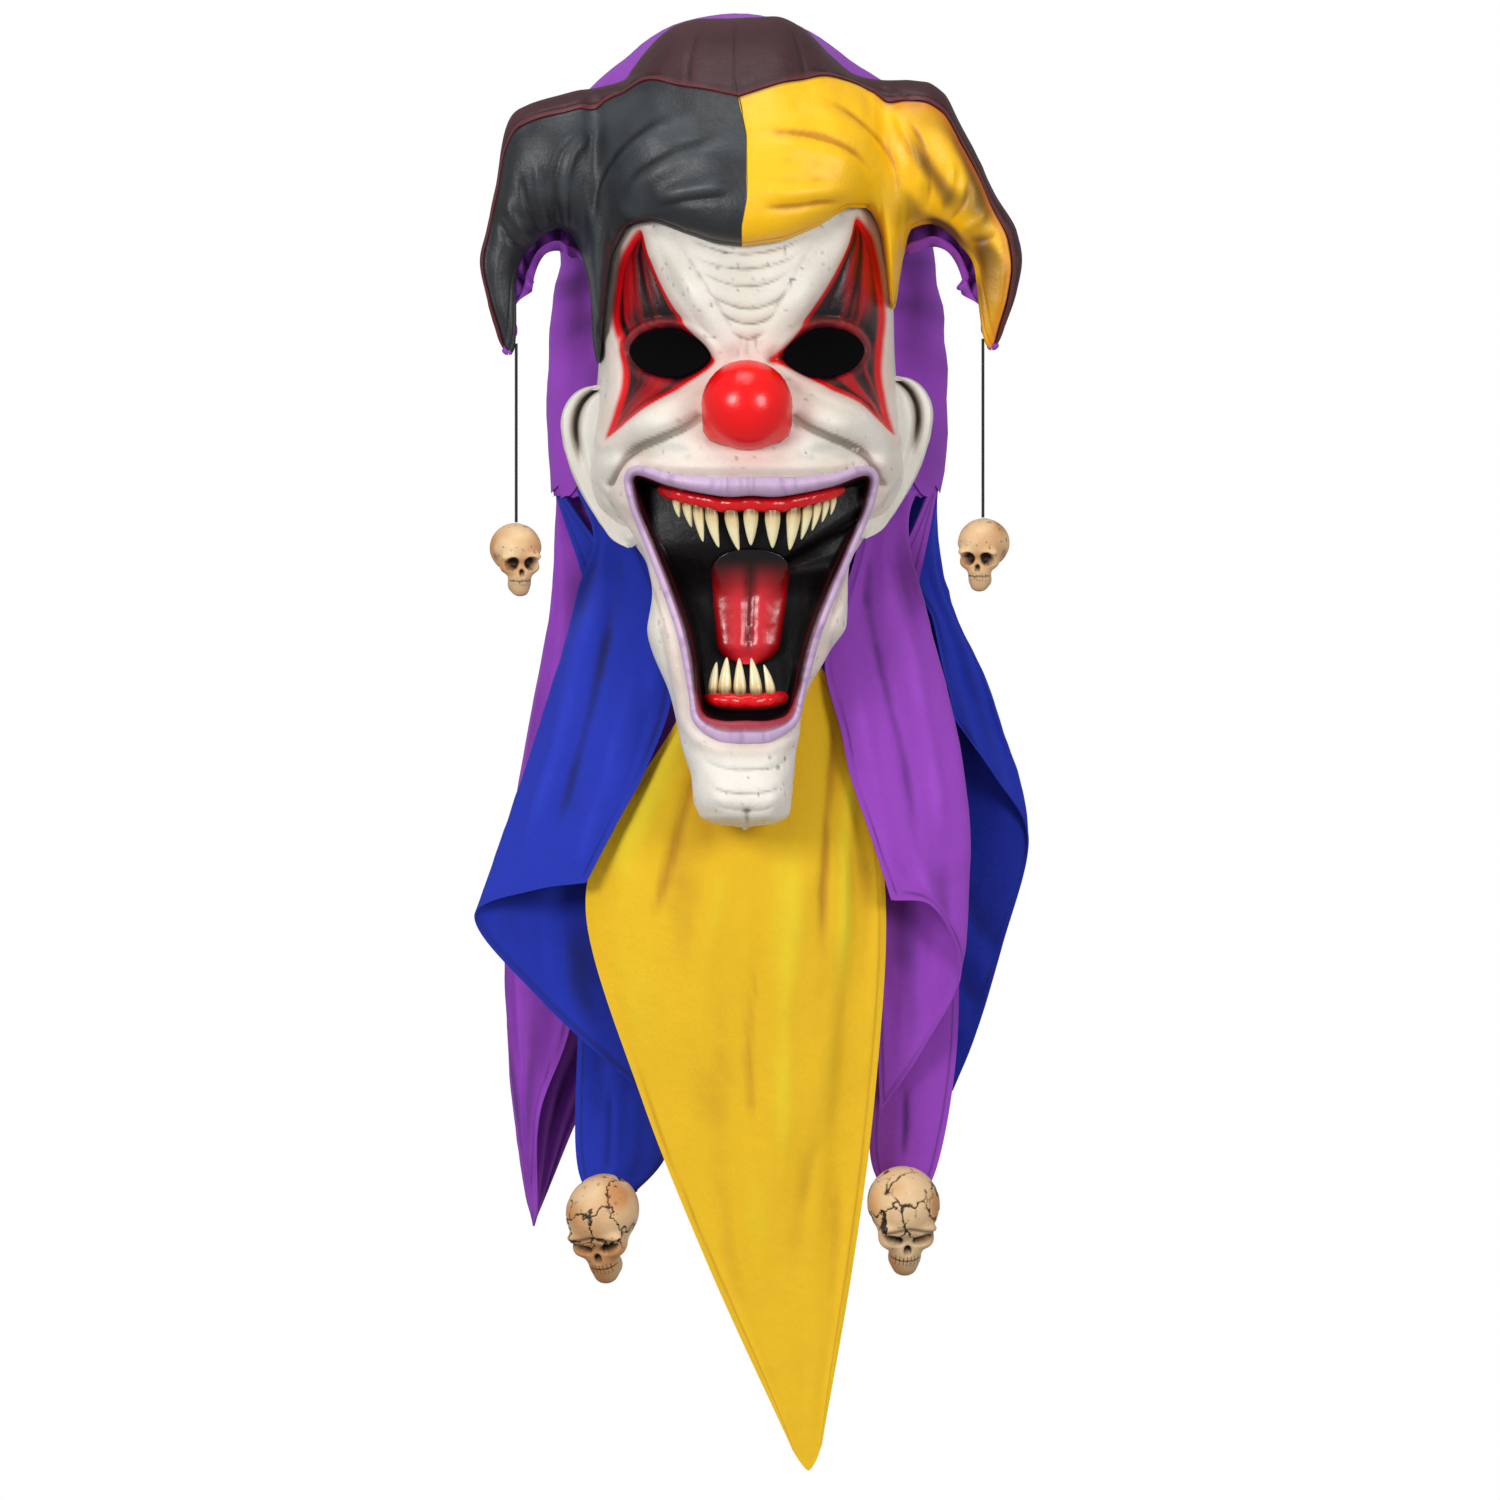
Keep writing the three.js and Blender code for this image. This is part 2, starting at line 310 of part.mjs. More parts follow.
// A skull bell from rounded masses and hollows. Lengths are shares of the skull's height, from the middle of its cranium.
const SKULL_MASSES = [
  { name: "cranium", x: 0, y: 0.04, z: 0.0, wide: 0.35, deep: 0.42, tall: 0.34 },
  { name: "cheekbones", x: 0, y: -0.12, z: -0.2, wide: 0.31, deep: 0.24, tall: 0.16 },
  { name: "jaw", x: 0, y: -0.14, z: -0.42, wide: 0.21, deep: 0.18, tall: 0.23 },
];
const SKULL_HOLLOWS = [
  { name: "left socket", x: -0.45, z: -0.5, spread: 0.26, depth: 0.09 },
  { name: "right socket", x: 0.45, z: -0.5, spread: 0.26, depth: 0.09 },
  { name: "nose hole", x: 0, z: -0.85, spread: 0.16, depth: 0.06 },
];

const lerp = (a, b, t) => a + (b - a) * t;
const V = (x, y, z) => new THREE.Vector3(x, y, z);

// Every column of a table at one value of its key column, along smooth curves that don't overshoot.
function sample(table, key, at) {
  const last = table.length - 1;
  const t = Math.min(Math.max(at, table[0][key]), table[last][key]);
  let i = 0;
  while (i < last - 1 && table[i + 1][key] < t) i += 1;
  const [a, b] = [table[i], table[i + 1]];
  const span = b[key] - a[key];
  const s = (t - a[key]) / span;
  const slope = (column, k) => {
    if (k <= 0 || k >= last) return 0;
    const before = (table[k][column] - table[k - 1][column]) / (table[k][key] - table[k - 1][key]);
    const after = (table[k + 1][column] - table[k][column]) / (table[k + 1][key] - table[k][key]);
    return before * after <= 0 ? 0 : (2 * before * after) / (before + after);
  };
  const out = {};
  for (const column of Object.keys(a)) {
    if (typeof a[column] !== "number") continue;
    const [m0, m1] = [slope(column, i) * span, slope(column, i + 1) * span];
    const [s2, s3] = [s * s, s * s * s];
    out[column] =
      a[column] * (2 * s3 - 3 * s2 + 1) + m0 * (s3 - 2 * s2 + s) + b[column] * (3 * s2 - 2 * s3) + m1 * (s3 - s2);
  }
  return out;
}

// A closed geometry from points and triangles, turned so that its faces look out.
function geometryOf(points, triangles) {
  const flat = new Float32Array(points.length * 3);
  points.forEach((p, i) => p.toArray(flat, i * 3));
  let volume = 0;
  for (const [a, b, c] of triangles) volume += points[a].dot(V(0, 0, 0).crossVectors(points[b], points[c]));
  const index = triangles.flatMap(([a, b, c]) => (volume < 0 ? [a, c, b] : [a, b, c]));
  const geometry = new THREE.BufferGeometry();
  geometry.setAttribute("position", new THREE.BufferAttribute(flat, 3));
  geometry.setIndex(index);
  return mergeVertices(geometry, 1e-4);
}

function solidOf(geometry) {
  const bare = geometry.clone();
  bare.deleteAttribute("normal");
  bare.deleteAttribute("uv");
  const merged = mergeVertices(bare, 1e-4);
  return new wasm.Manifold(
    new wasm.Mesh({
      numProp: 3,
      vertProperties: new Float32Array(merged.attributes.position.array),
      triVerts: new Uint32Array(merged.index.array),
    }),
  );
}

function geometryFrom(solid) {
  const mesh = solid.getMesh();
  const geometry = new THREE.BufferGeometry();
  geometry.setAttribute("position", new THREE.BufferAttribute(new Float32Array(mesh.vertProperties), 3));
  geometry.setIndex(new THREE.BufferAttribute(new Uint32Array(mesh.triVerts), 1));
  return geometry;
}

// The biggest of a solid's bodies, without slivers.
function largest(solid) {
  return solid.decompose().sort((a, b) => b.volume() - a.volume())[0].simplify(TRIM);
}

// A thin-walled sheet between an outer and an inner surface over the same grid.
// round: its sides meet. pole: its last row is one point.
function sheet({ across, down, outer, inner, round = false, pole = false }) {
  const points = [];
  const triangles = [];
  const columns = round ? across : across + 1;
  const grid = (surface) => {
    const rows = [];
    for (let j = 0; j <= down; j += 1) {
      const row = [];
      for (let i = 0; i < columns; i += 1) {
        if (pole && j === down && i > 0) {
          row.push(row[0]);
          continue;
        }
        points.push(surface(i / across, j / down));
        row.push(points.length - 1);
      }
      if (round) row.push(row[0]);
      rows.push(row);
    }
    return rows;
  };
  const [front, back] = [grid(outer), grid(inner)];
  const quad = (a, b, c, d) => {
    if (a !== b && b !== c && a !== c) triangles.push([a, b, c]);
    if (a !== c && c !== d && a !== d) triangles.push([a, c, d]);
  };
  for (let j = 0; j < down; j += 1)
    for (let i = 0; i < across; i += 1) {
      quad(front[j][i], front[j][i + 1], front[j + 1][i + 1], front[j + 1][i]);
      quad(back[j][i], back[j + 1][i], back[j + 1][i + 1], back[j][i + 1]);
    }
  for (let i = 0; i < across; i += 1) {
    quad(front[0][i + 1], front[0][i], back[0][i], back[0][i + 1]);
    if (!pole) quad(front[down][i], front[down][i + 1], back[down][i + 1], back[down][i]);
  }
  if (!round)
    for (let j = 0; j < down; j += 1) {
      quad(front[j][0], front[j + 1][0], back[j + 1][0], back[j][0]);
      quad(front[j + 1][across], front[j][across], back[j][across], back[j + 1][across]);
    }
  return geometryOf(points, triangles);
}

// A sheet of even thickness from one surface, its wall laid half on each side.
function evenSheet({ across, down, surface, wall }) {
  const step = 1e-3;
  const at = (u, v) => surface(Math.min(Math.max(u, 0), 1), Math.min(Math.max(v, 0), 1));
  const shifted = (side) => (u, v) => {
    const alongU = at(u + step, v).sub(at(u - step, v));
    const alongV = at(u, v + step).sub(at(u, v - step));
    const normal = alongU.cross(alongV).normalize();
    return at(u, v).addScaledVector(normal, (side * wall) / 2);
  };
  return sheet({ across, down, outer: shifted(1), inner: shifted(-1) });
}

// A solid through a row of rings with the same number of points each. hoop: the last ring joins the first.
function loft(rings, hoop = false) {
  const points = rings.flat();
  const triangles = [];
  const sides = rings[0].length;
  const spans = hoop ? rings.length : rings.length - 1;
  const at = (r, s) => (r % rings.length) * sides + (s % sides);
  for (let r = 0; r < spans; r += 1)
    for (let s = 0; s < sides; s += 1) {
      triangles.push([at(r, s), at(r, s + 1), at(r + 1, s + 1)]);
      triangles.push([at(r, s), at(r + 1, s + 1), at(r + 1, s)]);
    }
  if (!hoop)
    for (const [r, turned] of [[0, true], [rings.length - 1, false]]) {
      const middle = points.length;
      points.push(rings[r].reduce((sum, p) => sum.add(p), V(0, 0, 0)).divideScalar(sides));
      for (let s = 0; s < sides; s += 1)
        triangles.push(turned ? [middle, at(r, s + 1), at(r, s)] : [middle, at(r, s), at(r, s + 1)]);
    }
  return geometryOf(points, triangles);
}

// A prism along Y through a front-view outline of [x, z] points.
function prism(outline, fromY, toY) {
  return loft([fromY, toY].map((y) => outline.map(([x, z]) => V(x, y, z))));
}

// The face's section at a height, in millimetres.
function faceSection(z) {
  const row = sample(FACE_SECTIONS, "drop", -z / FACE_DROP);
  return {
    half: row.half * FACE_HALF,
    lean: row.lean * FACE_HALF,
    front: row.front * FACE_FRONT,
    middle: row.middle * FACE_FRONT,
    rear: row.rear * FACE_FRONT,
    wrap: THREE.MathUtils.degToRad(row.wrap),
  };
}

function faceSwell(x, z) {
  let rise = 0;
  for (const s of FACE_SWELLS)
    for (const side of [-1, 1]) {
      const across = (x - side * s.out * FACE_HALF) / (s.wide * FACE_HALF);
      const along = (z + s.drop * FACE_DROP) / (s.tall * FACE_DROP);
      rise += s.rise * FACE_FRONT * Math.exp(-across * across - along * along);
    }
  return rise;
}

// A point of the face at an angle from the front, moved in by inset.
function facePoint(angle, z, inset) {
  const s = faceSection(z);
  const power = 2 / SECTION_POWER;
  const [sine, cosine] = [Math.sin(angle), Math.cos(angle)];
  const reachX = Math.sign(sine) * Math.abs(sine) ** power;
  const reachY = Math.abs(cosine) ** power;
  const endY = cosine > 0 ? s.front : s.rear;
  const point = V(s.lean + s.half * reachX, s.middle + (endY - s.middle) * reachY, z);
  const outward = V(point.x - s.lean, point.y - s.middle, 0).normalize();
  const swell = cosine > 0 ? faceSwell(point.x, z) * cosine : 0;
  const room = Math.hypot(point.x - s.lean, point.y - s.middle);
  point.addScaledVector(outward, swell - Math.min(inset, 0.8 * room));
  return point;
}

// The y of the face's front at a place in the front view.
function faceY(x, z) {
  const s = faceSection(z);
  const share = Math.min(Math.abs(x - s.lean) / s.half, 0.985) ** SECTION_POWER;
  const reach = (1 - share) ** (1 / SECTION_POWER);
  return s.middle + (s.front - s.middle) * reach - faceSwell(x, z) * reach;
}

// The mouth's middle sways a little sideways from top to bottom.
function mouthMiddle(z) {
  const down = Math.min(Math.max((-z - MOUTH_DROP) / MOUTH_TALL, 0), 1);
  return MOUTH_SHIFT - MOUTH_SWAY * down * down;
}

// The mouth opening as [x, z] points, moved out by a share of the lips' width and by grow.
function mouthOutline(share, grow) {
  const right = MOUTH_OUTLINE.map((p) => V(p.out * MOUTH_HALF, p.lip * LIP_WIDTH, -MOUTH_DROP - p.down * MOUTH_TALL));
  const left = right.slice(1, -1).reverse().map((p) => V(-p.x, p.y, p.z));
  const curve = new THREE.CatmullRomCurve3([...right, ...left], true, "centripetal");
  const count = right.length + left.length;
  const points = [];
  for (let k = 0; k < count; k += 1) {
    const p = curve.getPoint(k / count);
    const along = curve.getTangent(k / count).setY(0).normalize();
    const out = share * p.y + grow;
    points.push([mouthMiddle(p.z) + p.x - along.z * out, p.z + along.x * out]);
  }
  return points;
}

// The lips: a ring of oval section round the mouth, standing in the face's mouth hole.
const lipY = mouthOutline(0.5, 0).map(([x, z]) => faceY(x, z) + FACE_WALL / 2);

function lips() {
  const inside = mouthOutline(0, 0);
  const outside = mouthOutline(1, 0);
  const sides = 6;
  const rings = inside.map(([x0, z0], k) => {
    const [x1, z1] = outside[k];
    const y = lipY[k];
    const ring = [];
    for (let s = 0; s < sides; s += 1) {
      const turn = (s / sides) * Math.PI * 2;
      const across = (1 + Math.cos(turn)) / 2;
      ring.push(V(lerp(x0, x1, across), y - (Math.sin(turn) * LIP_DEPTH) / 2, lerp(z0, z1, across)));
    }
    return ring;
  });
  return loft(rings, true);
}

function ball(radius, centre, sides, rings) {
  return new THREE.SphereGeometry(radius, sides, rings).translate(centre.x, centre.y, centre.z);
}

const NOSE_CENTRE = V(0, faceY(0, -NOSE_DROP) - 0.45 * NOSE_RADIUS, -NOSE_DROP);
const NOSE_WING_SPREAD = 0.55 * NOSE_RADIUS;
const NOSE_WING_DROP = 0.62 * NOSE_RADIUS;

// The red nose: a ball with two low nostril wings.
function nose(grow) {
  const wings = [-1, 1].map((side) =>
    solidOf(
      ball(
        0.42 * NOSE_RADIUS + grow,
        V(side * NOSE_WING_SPREAD, NOSE_CENTRE.y + 0.25 * NOSE_RADIUS, NOSE_CENTRE.z - NOSE_WING_DROP),
        8,
        5,
      ),
    ),
  );
  return wings.reduce((all, wing) => all.add(wing), solidOf(ball(NOSE_RADIUS + grow, NOSE_CENTRE, 12, 8)));
}

// An eye opening as [x, z] points: rounded outside, drawn down to a point beside the nose.
function eyeOutline(side, grow) {
  const points = [];
  const count = 14;
  for (let k = 0; k < count; k += 1) {
    const turn = (k / count) * Math.PI * 2;
    const out = Math.cos(turn);
    const up = Math.sin(turn) * (1 - 0.3 * Math.max(0, -out) ** 2);
    const x = EYE_SPREAD + out * (EYE_HALF + grow);
    const z = -EYE_DROP + up * (EYE_TALL + grow) + out * 0.12 * EYE_TALL;
    points.push([side * x, z]);
  }
  return side < 0 ? points.reverse() : points;
}

function ear(side) {
  const s = faceSection(-EAR_DROP);
  const oval = new THREE.SphereGeometry(1, 10, 6);
  oval.scale(EAR_REACH, EAR_DEEP, EAR_TALL);
  oval.rotateY(side * 0.16);
  oval.translate(side * (s.half - 0.1 * EAR_REACH), -0.2 * EAR_DEEP - EAR_BACK, -EAR_DROP);
  const hollow = new THREE.SphereGeometry(1, 8, 5);
  hollow.scale(0.5 * EAR_REACH, 0.5 * EAR_DEEP, 0.6 * EAR_TALL);
  hollow.translate(side * (s.half + 0.42 * EAR_REACH), -1.05 * EAR_DEEP - EAR_BACK, -EAR_DROP);
  return solidOf(oval).subtract(solidOf(hollow));
}

// The whole head and jaw as one closed block, grown a little. It trims what lies on the face.
function headBlock(grow) {
  const rings = [];
  const steps = 30;
  for (let j = 0; j <= steps; j += 1) {
    const z = lerp(-0.021 * FACE_DROP, -0.995 * FACE_DROP, j / steps);
    const ring = [];
    for (let i = 0; i < 40; i += 1) ring.push(facePoint((i / 40) * Math.PI * 2, z, -grow));
    rings.push(ring);
  }
  return solidOf(loft(rings));
}

function face() {
  const rows = FACE_SECTIONS.flatMap((s, i) => {
    const next = FACE_SECTIONS[i + 1];
    return next && next.drop - s.drop > FACE_ROW ? [s.drop, (s.drop + next.drop) / 2] : [s.drop];
  });
  rows[0] = FACE_TOP_DROP / FACE_DROP;
  const surface = (inset) => (u, v) => {
    const z = -FACE_DROP * rows[Math.round(v * (rows.length - 1))];
    const wrap = faceSection(z).wrap;
    const point = facePoint(lerp(-wrap, wrap, u), z, inset);
    point.z = Math.max(z, inset - FACE_DROP);
    return point;
  };
  let solid = solidOf(sheet({ across: 22, down: rows.length - 1, outer: surface(0), inner: surface(FACE_WALL) }));
  const block = headBlock(-FACE_WALL / 2);
  for (const side of [-1, 1]) {
    solid = solid.add(ear(side).subtract(block));
    solid = solid.subtract(solidOf(prism(eyeOutline(side, 0), -2 * FACE_FRONT, 0)));
  }
  const hole = mouthOutline(1, 1.5 * SEAM_GAP);
  const ends = [() => -2 * FACE_FRONT, (x, z) => faceY(x, z) + 3 * FACE_WALL];
  const cut = loft(ends.map((end) => hole.map(([x, z]) => V(x, end(x, z), z))));
  solid = solid.subtract(solidOf(cut)).subtract(nose(SEAM_GAP));
  return geometryFrom(largest(solid));
}

function eyeMesh(side) {
  const outline = eyeOutline(side, -SEAM_GAP);
  const layer = (deep) => outline.map(([x, z]) => V(x, faceY(x, z) + deep, z));
  return loft([layer(FACE_WALL * 0.4), layer(FACE_WALL * 0.4 + EYE_MESH_WALL)]);
}

// How far back the mouth's back wall lies. It curves back towards the corners.
function mouthBackY(x, z) {
  const down = Math.min(Math.max((-z - MOUTH_DROP) / MOUTH_TALL, 0), 1);
  const corner = MOUTH_CORNER_DEPTH * ((x - MOUTH_SHIFT) / MOUTH_HALF) ** 2 * (1 - down) ** 2;
  return (sample(MOUTH_BACK, "down", down).y + corner) * FACE_FRONT;
}

// The black lining: a bag from the lips to its back wall.
function mouthLining() {
  const centre = [MOUTH_SHIFT - 0.4 * MOUTH_SWAY, -MOUTH_DROP - 0.42 * MOUTH_TALL];
  const bend = 0.5;
  const round = lipY.length;
  const surface = (inset) => {
    const rim = mouthOutline(LINING_TUCK, -inset);
    return (u, v) => {
      const k = Math.round(u * round) % round;
      const narrow = v < bend ? 1 - 0.1 * (v / bend) : 0.9 * (1 - (v - bend) / (1 - bend));
      const [x, z] = [0, 1].map((axis) => lerp(centre[axis], rim[k][axis], narrow));
      const rimY = lipY[k] + LIP_DEPTH / 2 + 1.5 * SEAM_GAP;
      const shallow = Math.max(0, rimY + 3 * MOUTH_WALL - mouthBackY(rim[k][0], rim[k][1]));
      const backY = mouthBackY(x, z) + shallow * narrow - inset;
      return V(x, v < bend ? lerp(rimY, backY, v / bend) : backY, z);
    };
  };
  return sheet({ across: round, down: 6, outer: surface(0), inner: surface(MOUTH_WALL), round: true, pole: true });
}

// A gum runs along the inside of the mouth's edge. rise: 1 for the upper jaw, -1 for the lower.
const GUM_SPANS = { upper: 0.8, lower: 0.36 };

function gumPlace(jaw, share) {
  const x = share * MOUTH_HALF;
  const upper = jaw === "upper";
  const inset = MOUTH_WALL + 4 * SEAM_GAP + GUM_TALL / 2;
  const row = sample(MOUTH_OUTLINE.slice(0, 5), "out", Math.abs(share));
  const z = upper
    ? -MOUTH_DROP - row.down * MOUTH_TALL - inset + GUM_TUCK
    : -MOUTH_DROP - MOUTH_TALL + inset + 0.5 * GUM_TALL + 0.25 * GUM_TALL * (share / GUM_SPANS.lower) ** 2;
  const bow = upper ? 0.42 : 0.8;
  const front = upper
    ? faceY(0, -MOUTH_DROP) + GUM_SET_UPPER
    : faceY(0, -MOUTH_DROP - MOUTH_TALL) + GUM_SET_LOWER;
  return V(x + mouthMiddle(z), front + bow * Math.abs(x) * Math.abs(share), z);
}

function gum(jaw, teeth) {
  const rings = [];
  const steps = 8;
  const sides = 5;
  for (let k = 0; k <= steps; k += 1) {
    const share = lerp(-GUM_SPANS[jaw], GUM_SPANS[jaw], k / steps);
    const centre = gumPlace(jaw, share);
    const taper = 1 - 0.45 * Math.abs((2 * k) / steps - 1) ** 3;
    const ring = [];
    for (let s = 0; s < sides; s += 1) {
      const turn = ((s + 0.5) / sides) * Math.PI * 2;
      ring.push(centre.clone().add(V(0, (Math.cos(turn) * GUM_DEPTH * taper) / 2, (Math.sin(turn) * GUM_TALL * taper) / 2)));
    }
    rings.push(ring);
  }
  const sockets = teeth.map((t) => solidOf(tooth(jaw, t, SEAM_GAP)));
  return geometryFrom(sockets.reduce((all, socket) => all.subtract(socket), solidOf(loft(rings))));
}

// A tooth: a bent cone whose root stands in the gum.
function tooth(jaw, t, grow) {
  const up = jaw === "upper" ? -1 : 1;
  const root = gumPlace(jaw, t.at);
  const length = t.long * TOOTH_LENGTH;
  const half = t.wide * TOOTH_HALF + grow;
  const start = V(root.x, root.y, root.z + up * (GUM_TALL / 2 - TOOTH_ROOT - grow));
  const profile = [
    { along: 0, wide: 0.8 },
    { along: 0.3, wide: 1 },
    { along: 0.65, wide: 0.72 },
    { along: 1, wide: 0.16 },
  ];
  const sides = 6;
  const rings = profile.map((p) => {
    const ring = [];
    const travel = p.along * (length + TOOTH_ROOT);
    const centre = start.clone().add(V(t.lean * length * p.along ** 2, 0.06 * length * p.along ** 2, up * travel));
    for (let s = 0; s < sides; s += 1) {
      const turn = (s / sides) * Math.PI * 2;
      ring.push(centre.clone().add(V(Math.cos(turn) * half * p.wide, Math.sin(turn) * half * 0.85 * p.wide, 0)));
    }
    return ring;
  });
  return loft(rings);
}

// The tongue lies on the mouth's back wall, broad at the throat and narrower in front.
function tongue() {
  const rings = [];
  const top = -MOUTH_DROP - 0.3 * MOUTH_TALL;
  const steps = 8;
  for (let k = 0; k <= steps; k += 1) {
    const t = k / steps;
    const z = top - t * TONGUE_LENGTH;
    const half = TONGUE_HALF * (1 - 0.28 * t) * (k === 0 ? 0.85 : 1) * (k === steps ? 0.7 : 1);
    const thick = TONGUE_THICK * (0.7 + 0.5 * t) * (k === steps ? 0.6 : 1);
    const backY = mouthBackY(MOUTH_SHIFT, z) - MOUTH_WALL - TONGUE_LIFT;
    const ring = [];
    const section = [
      { out: -1, front: 0.25 },
      { out: -0.9, front: 0.75 },
      { out: -0.45, front: 1 },
      { out: 0, front: 0.8 },
      { out: 0.45, front: 1 },
      { out: 0.9, front: 0.75 },
      { out: 1, front: 0.25 },
      { out: 0.6, front: 0 },
      { out: -0.6, front: 0 },
    ];
    for (const s of section) ring.push(V(mouthMiddle(z) + s.out * half, backY - s.front * thick, z));
    rings.push(ring);
  }
  return loft(rings);
}

// A cap station in millimetres, on the side given.
function station(table, side, index) {
  const s = table[index];
  return {
    crown: V(side * s.crownOut * HAT_HALF, s.crownY * HAT_DEPTH, s.crownUp * HAT_RISE),
    brim: V(side * s.brimOut * HAT_HALF, s.brimY * HAT_DEPTH, s.brimUp * HAT_RISE),
    deep: s.deep * HAT_DEPTH,
    seam: s.seam,
  };
}

// A point round a station, from the crown edge (0) over the front to the brim edge (1), or back over the rear (above 1).
function capPoint(s, round, inset) {
  const turn = round * Math.PI;
  const middle = s.crown.clone().add(s.brim).multiplyScalar(0.5);
  const half = s.crown.clone().sub(s.brim).multiplyScalar(0.5);
  const point = middle.clone().addScaledVector(half, Math.cos(turn));
  point.y -= s.deep * Math.sin(turn);
  const inward = middle.sub(point);
  const room = inward.length();
  return point.addScaledVector(inward.normalize(), Math.min(inset, 0.7 * room));
}

const seamRound = (s) => Math.acos(1 - 2 * s.seam) / Math.PI;

// A strip of the cap between two places round each station, from one station to another.
function capStrip(table, side, { first, from, to, down, wall, centreGap = 0 }) {
  const stations = table.slice(first).map((row, i) => station(table, side, first + i));
  for (const edge of [stations[0].crown, stations[0].brim]) edge.x += side * centreGap;
  const span = stations.length - 1;
  const surface = (inset) => (u, v) => {
    const s = stations[Math.round(u * span)];
    const girth = Math.max(s.crown.distanceTo(s.brim) + s.deep, 1);
    const [a, b] = [from(s), to(s)];
    const margin = Math.min(SEAM_GAP / girth, 0.3 * (b - a));
    return capPoint(s, lerp(a + margin, b - margin, v), inset);
  };
  return sheet({ across: span, down, outer: surface(0), inner: surface(wall) });
}

function capFront(table, side, block) {
  const strip = { first: 0, from: seamRound, to: () => 1, down: 5, wall: HAT_WALL, centreGap: SEAM_GAP / 2 };
  return geometryFrom(largest(solidOf(capStrip(table, side, strip)).subtract(block)));
}

// The crown: the maroon strips of both sides, joined over the middle.
function capCrown(block) {
  const strip = { first: 0, from: () => 0, to: seamRound, down: 2, wall: HAT_WALL };
  const [left, right] = [capStrip(CHARCOAL_STATIONS, -1, strip), capStrip(YELLOW_STATIONS, 1, strip)];
  return geometryFrom(largest(solidOf(left).add(solidOf(right)).subtract(block)));
}

function hornLining(table, side, block) {
  const first = table.findIndex((s) => s.name === "armpit");
  const strip = { first, from: () => 1, to: () => 2, down: 4, wall: HOOD_WALL };
  return geometryFrom(largest(solidOf(capStrip(table, side, strip)).subtract(block)));
}

// The hood's rim radius where it is sewn to the face, at a turn from the top in radians.
function sewnRim(turn) {
  let radius = FACE_HALF;
  for (let pass = 0; pass < 8; pass += 1) {
    const z = Math.max(radius * Math.cos(turn) - HOOD_AXIS_DROP, -HOOD_HEM_DROP);
    radius = (faceSection(z).half - FACE_WALL / 2) / Math.sin(turn);
  }
  return radius;
}

// A hood section in millimetres at an angle from the top in degrees.
function hoodSection(angle) {
  const row = sample(HOOD_SECTIONS, "turn", Math.abs(angle));
  const turn = THREE.MathUtils.degToRad(Math.abs(angle));
  const rim = row.rim * HOOD_HALF;
  const sewn = THREE.MathUtils.smoothstep(Math.abs(angle), 0.75 * HOOD_SEWN_TURN, HOOD_SEWN_TURN);
  const below = THREE.MathUtils.smoothstep(Math.abs(angle), HOOD_HEM_TURN, 1.05 * HOOD_HEM_TURN);
  return {
    rim: Math.abs(angle) > 0.7 * HOOD_SEWN_TURN && below < 1 ? lerp(lerp(rim, sewnRim(turn), sewn), rim, below) : rim,
    swell: row.swell * HOOD_HALF,
    rimY: row.rimY * HOOD_BACK,
    middleY: 0.36 * HOOD_BACK,
  };
}

// The hood: a deep cloth bowl open to the front, cut level at its hem.
function hood() {
  const surface = (inset) => (u, v) => {
    const angle = (u - 0.5) * 360;
    const s = hoodSection(angle);
    const turn = THREE.MathUtils.degToRad(angle);
    const bend = 0.3;
    let [radius, y] = [0, 0];
    if (v < bend) {
      const t = v / bend;
      radius = lerp(s.rim, s.swell, Math.sin((t * Math.PI) / 2)) - inset;
      y = lerp(s.rimY, s.middleY, t);
    } else {
      const t = (((v - bend) / (1 - bend)) * Math.PI) / 2;
      radius = (s.swell - inset) * Math.cos(t);
      y = s.middleY + (HOOD_BACK - inset - s.middleY) * Math.sin(t);
    }
    const lean = HOOD_LEAN * Math.max(0, Math.cos(turn)) ** 2;
    return V(radius * Math.sin(turn) - lean, y, radius * Math.cos(turn) - HOOD_AXIS_DROP);
  };
  const bowl = solidOf(
    sheet({ across: 28, down: 8, outer: surface(0), inner: surface(HOOD_WALL), round: true, pole: true }),
  );
  const far = 4 * HOOD_HALF;
  const below = new THREE.BoxGeometry(far, far, far).translate(0, 0, -HOOD_HEM_DROP - far / 2);
  return geometryFrom(largest(bowl.subtract(solidOf(below))));
}

// A point under the hood's hem, found from its y at the side, or from its x at the back.
function hemPoint(side, x, y) {
  const fall = HOOD_HEM_DROP - HOOD_AXIS_DROP;
  const z = -HOOD_HEM_DROP - 2 * SEAM_GAP;
  if (y === "hem") {
    const s = hoodSection(180 - THREE.MathUtils.radToDeg(Math.atan2(Math.abs(x), fall)));
    const share = Math.min(Math.hypot(x, fall) / s.swell, 1);
    return V(x, s.middleY + (HOOD_BACK - s.middleY) * Math.sqrt(1 - share * share) - HOOD_WALL / 2, z);
  }
  let [low, high] = [110, 179];
  for (let pass = 0; pass < 24; pass += 1) {
    const angle = (low + high) / 2;
    const s = hoodSection(angle);
    const front = Math.sin((((y - s.rimY) / (s.middleY - s.rimY)) * Math.PI) / 2);
    const back = Math.sqrt(Math.max(0, 1 - ((y - s.middleY) / (HOOD_BACK - s.middleY)) ** 2));
    const radius = y < s.middleY ? lerp(s.rim, s.swell, front) : s.swell * back;
    if (-radius * Math.cos(THREE.MathUtils.degToRad(angle)) < fall) low = angle;
    else high = angle;
  }
  return V(side * (fall * Math.tan(THREE.MathUtils.degToRad(180 - low)) - HOOD_WALL / 2), y, z);
}

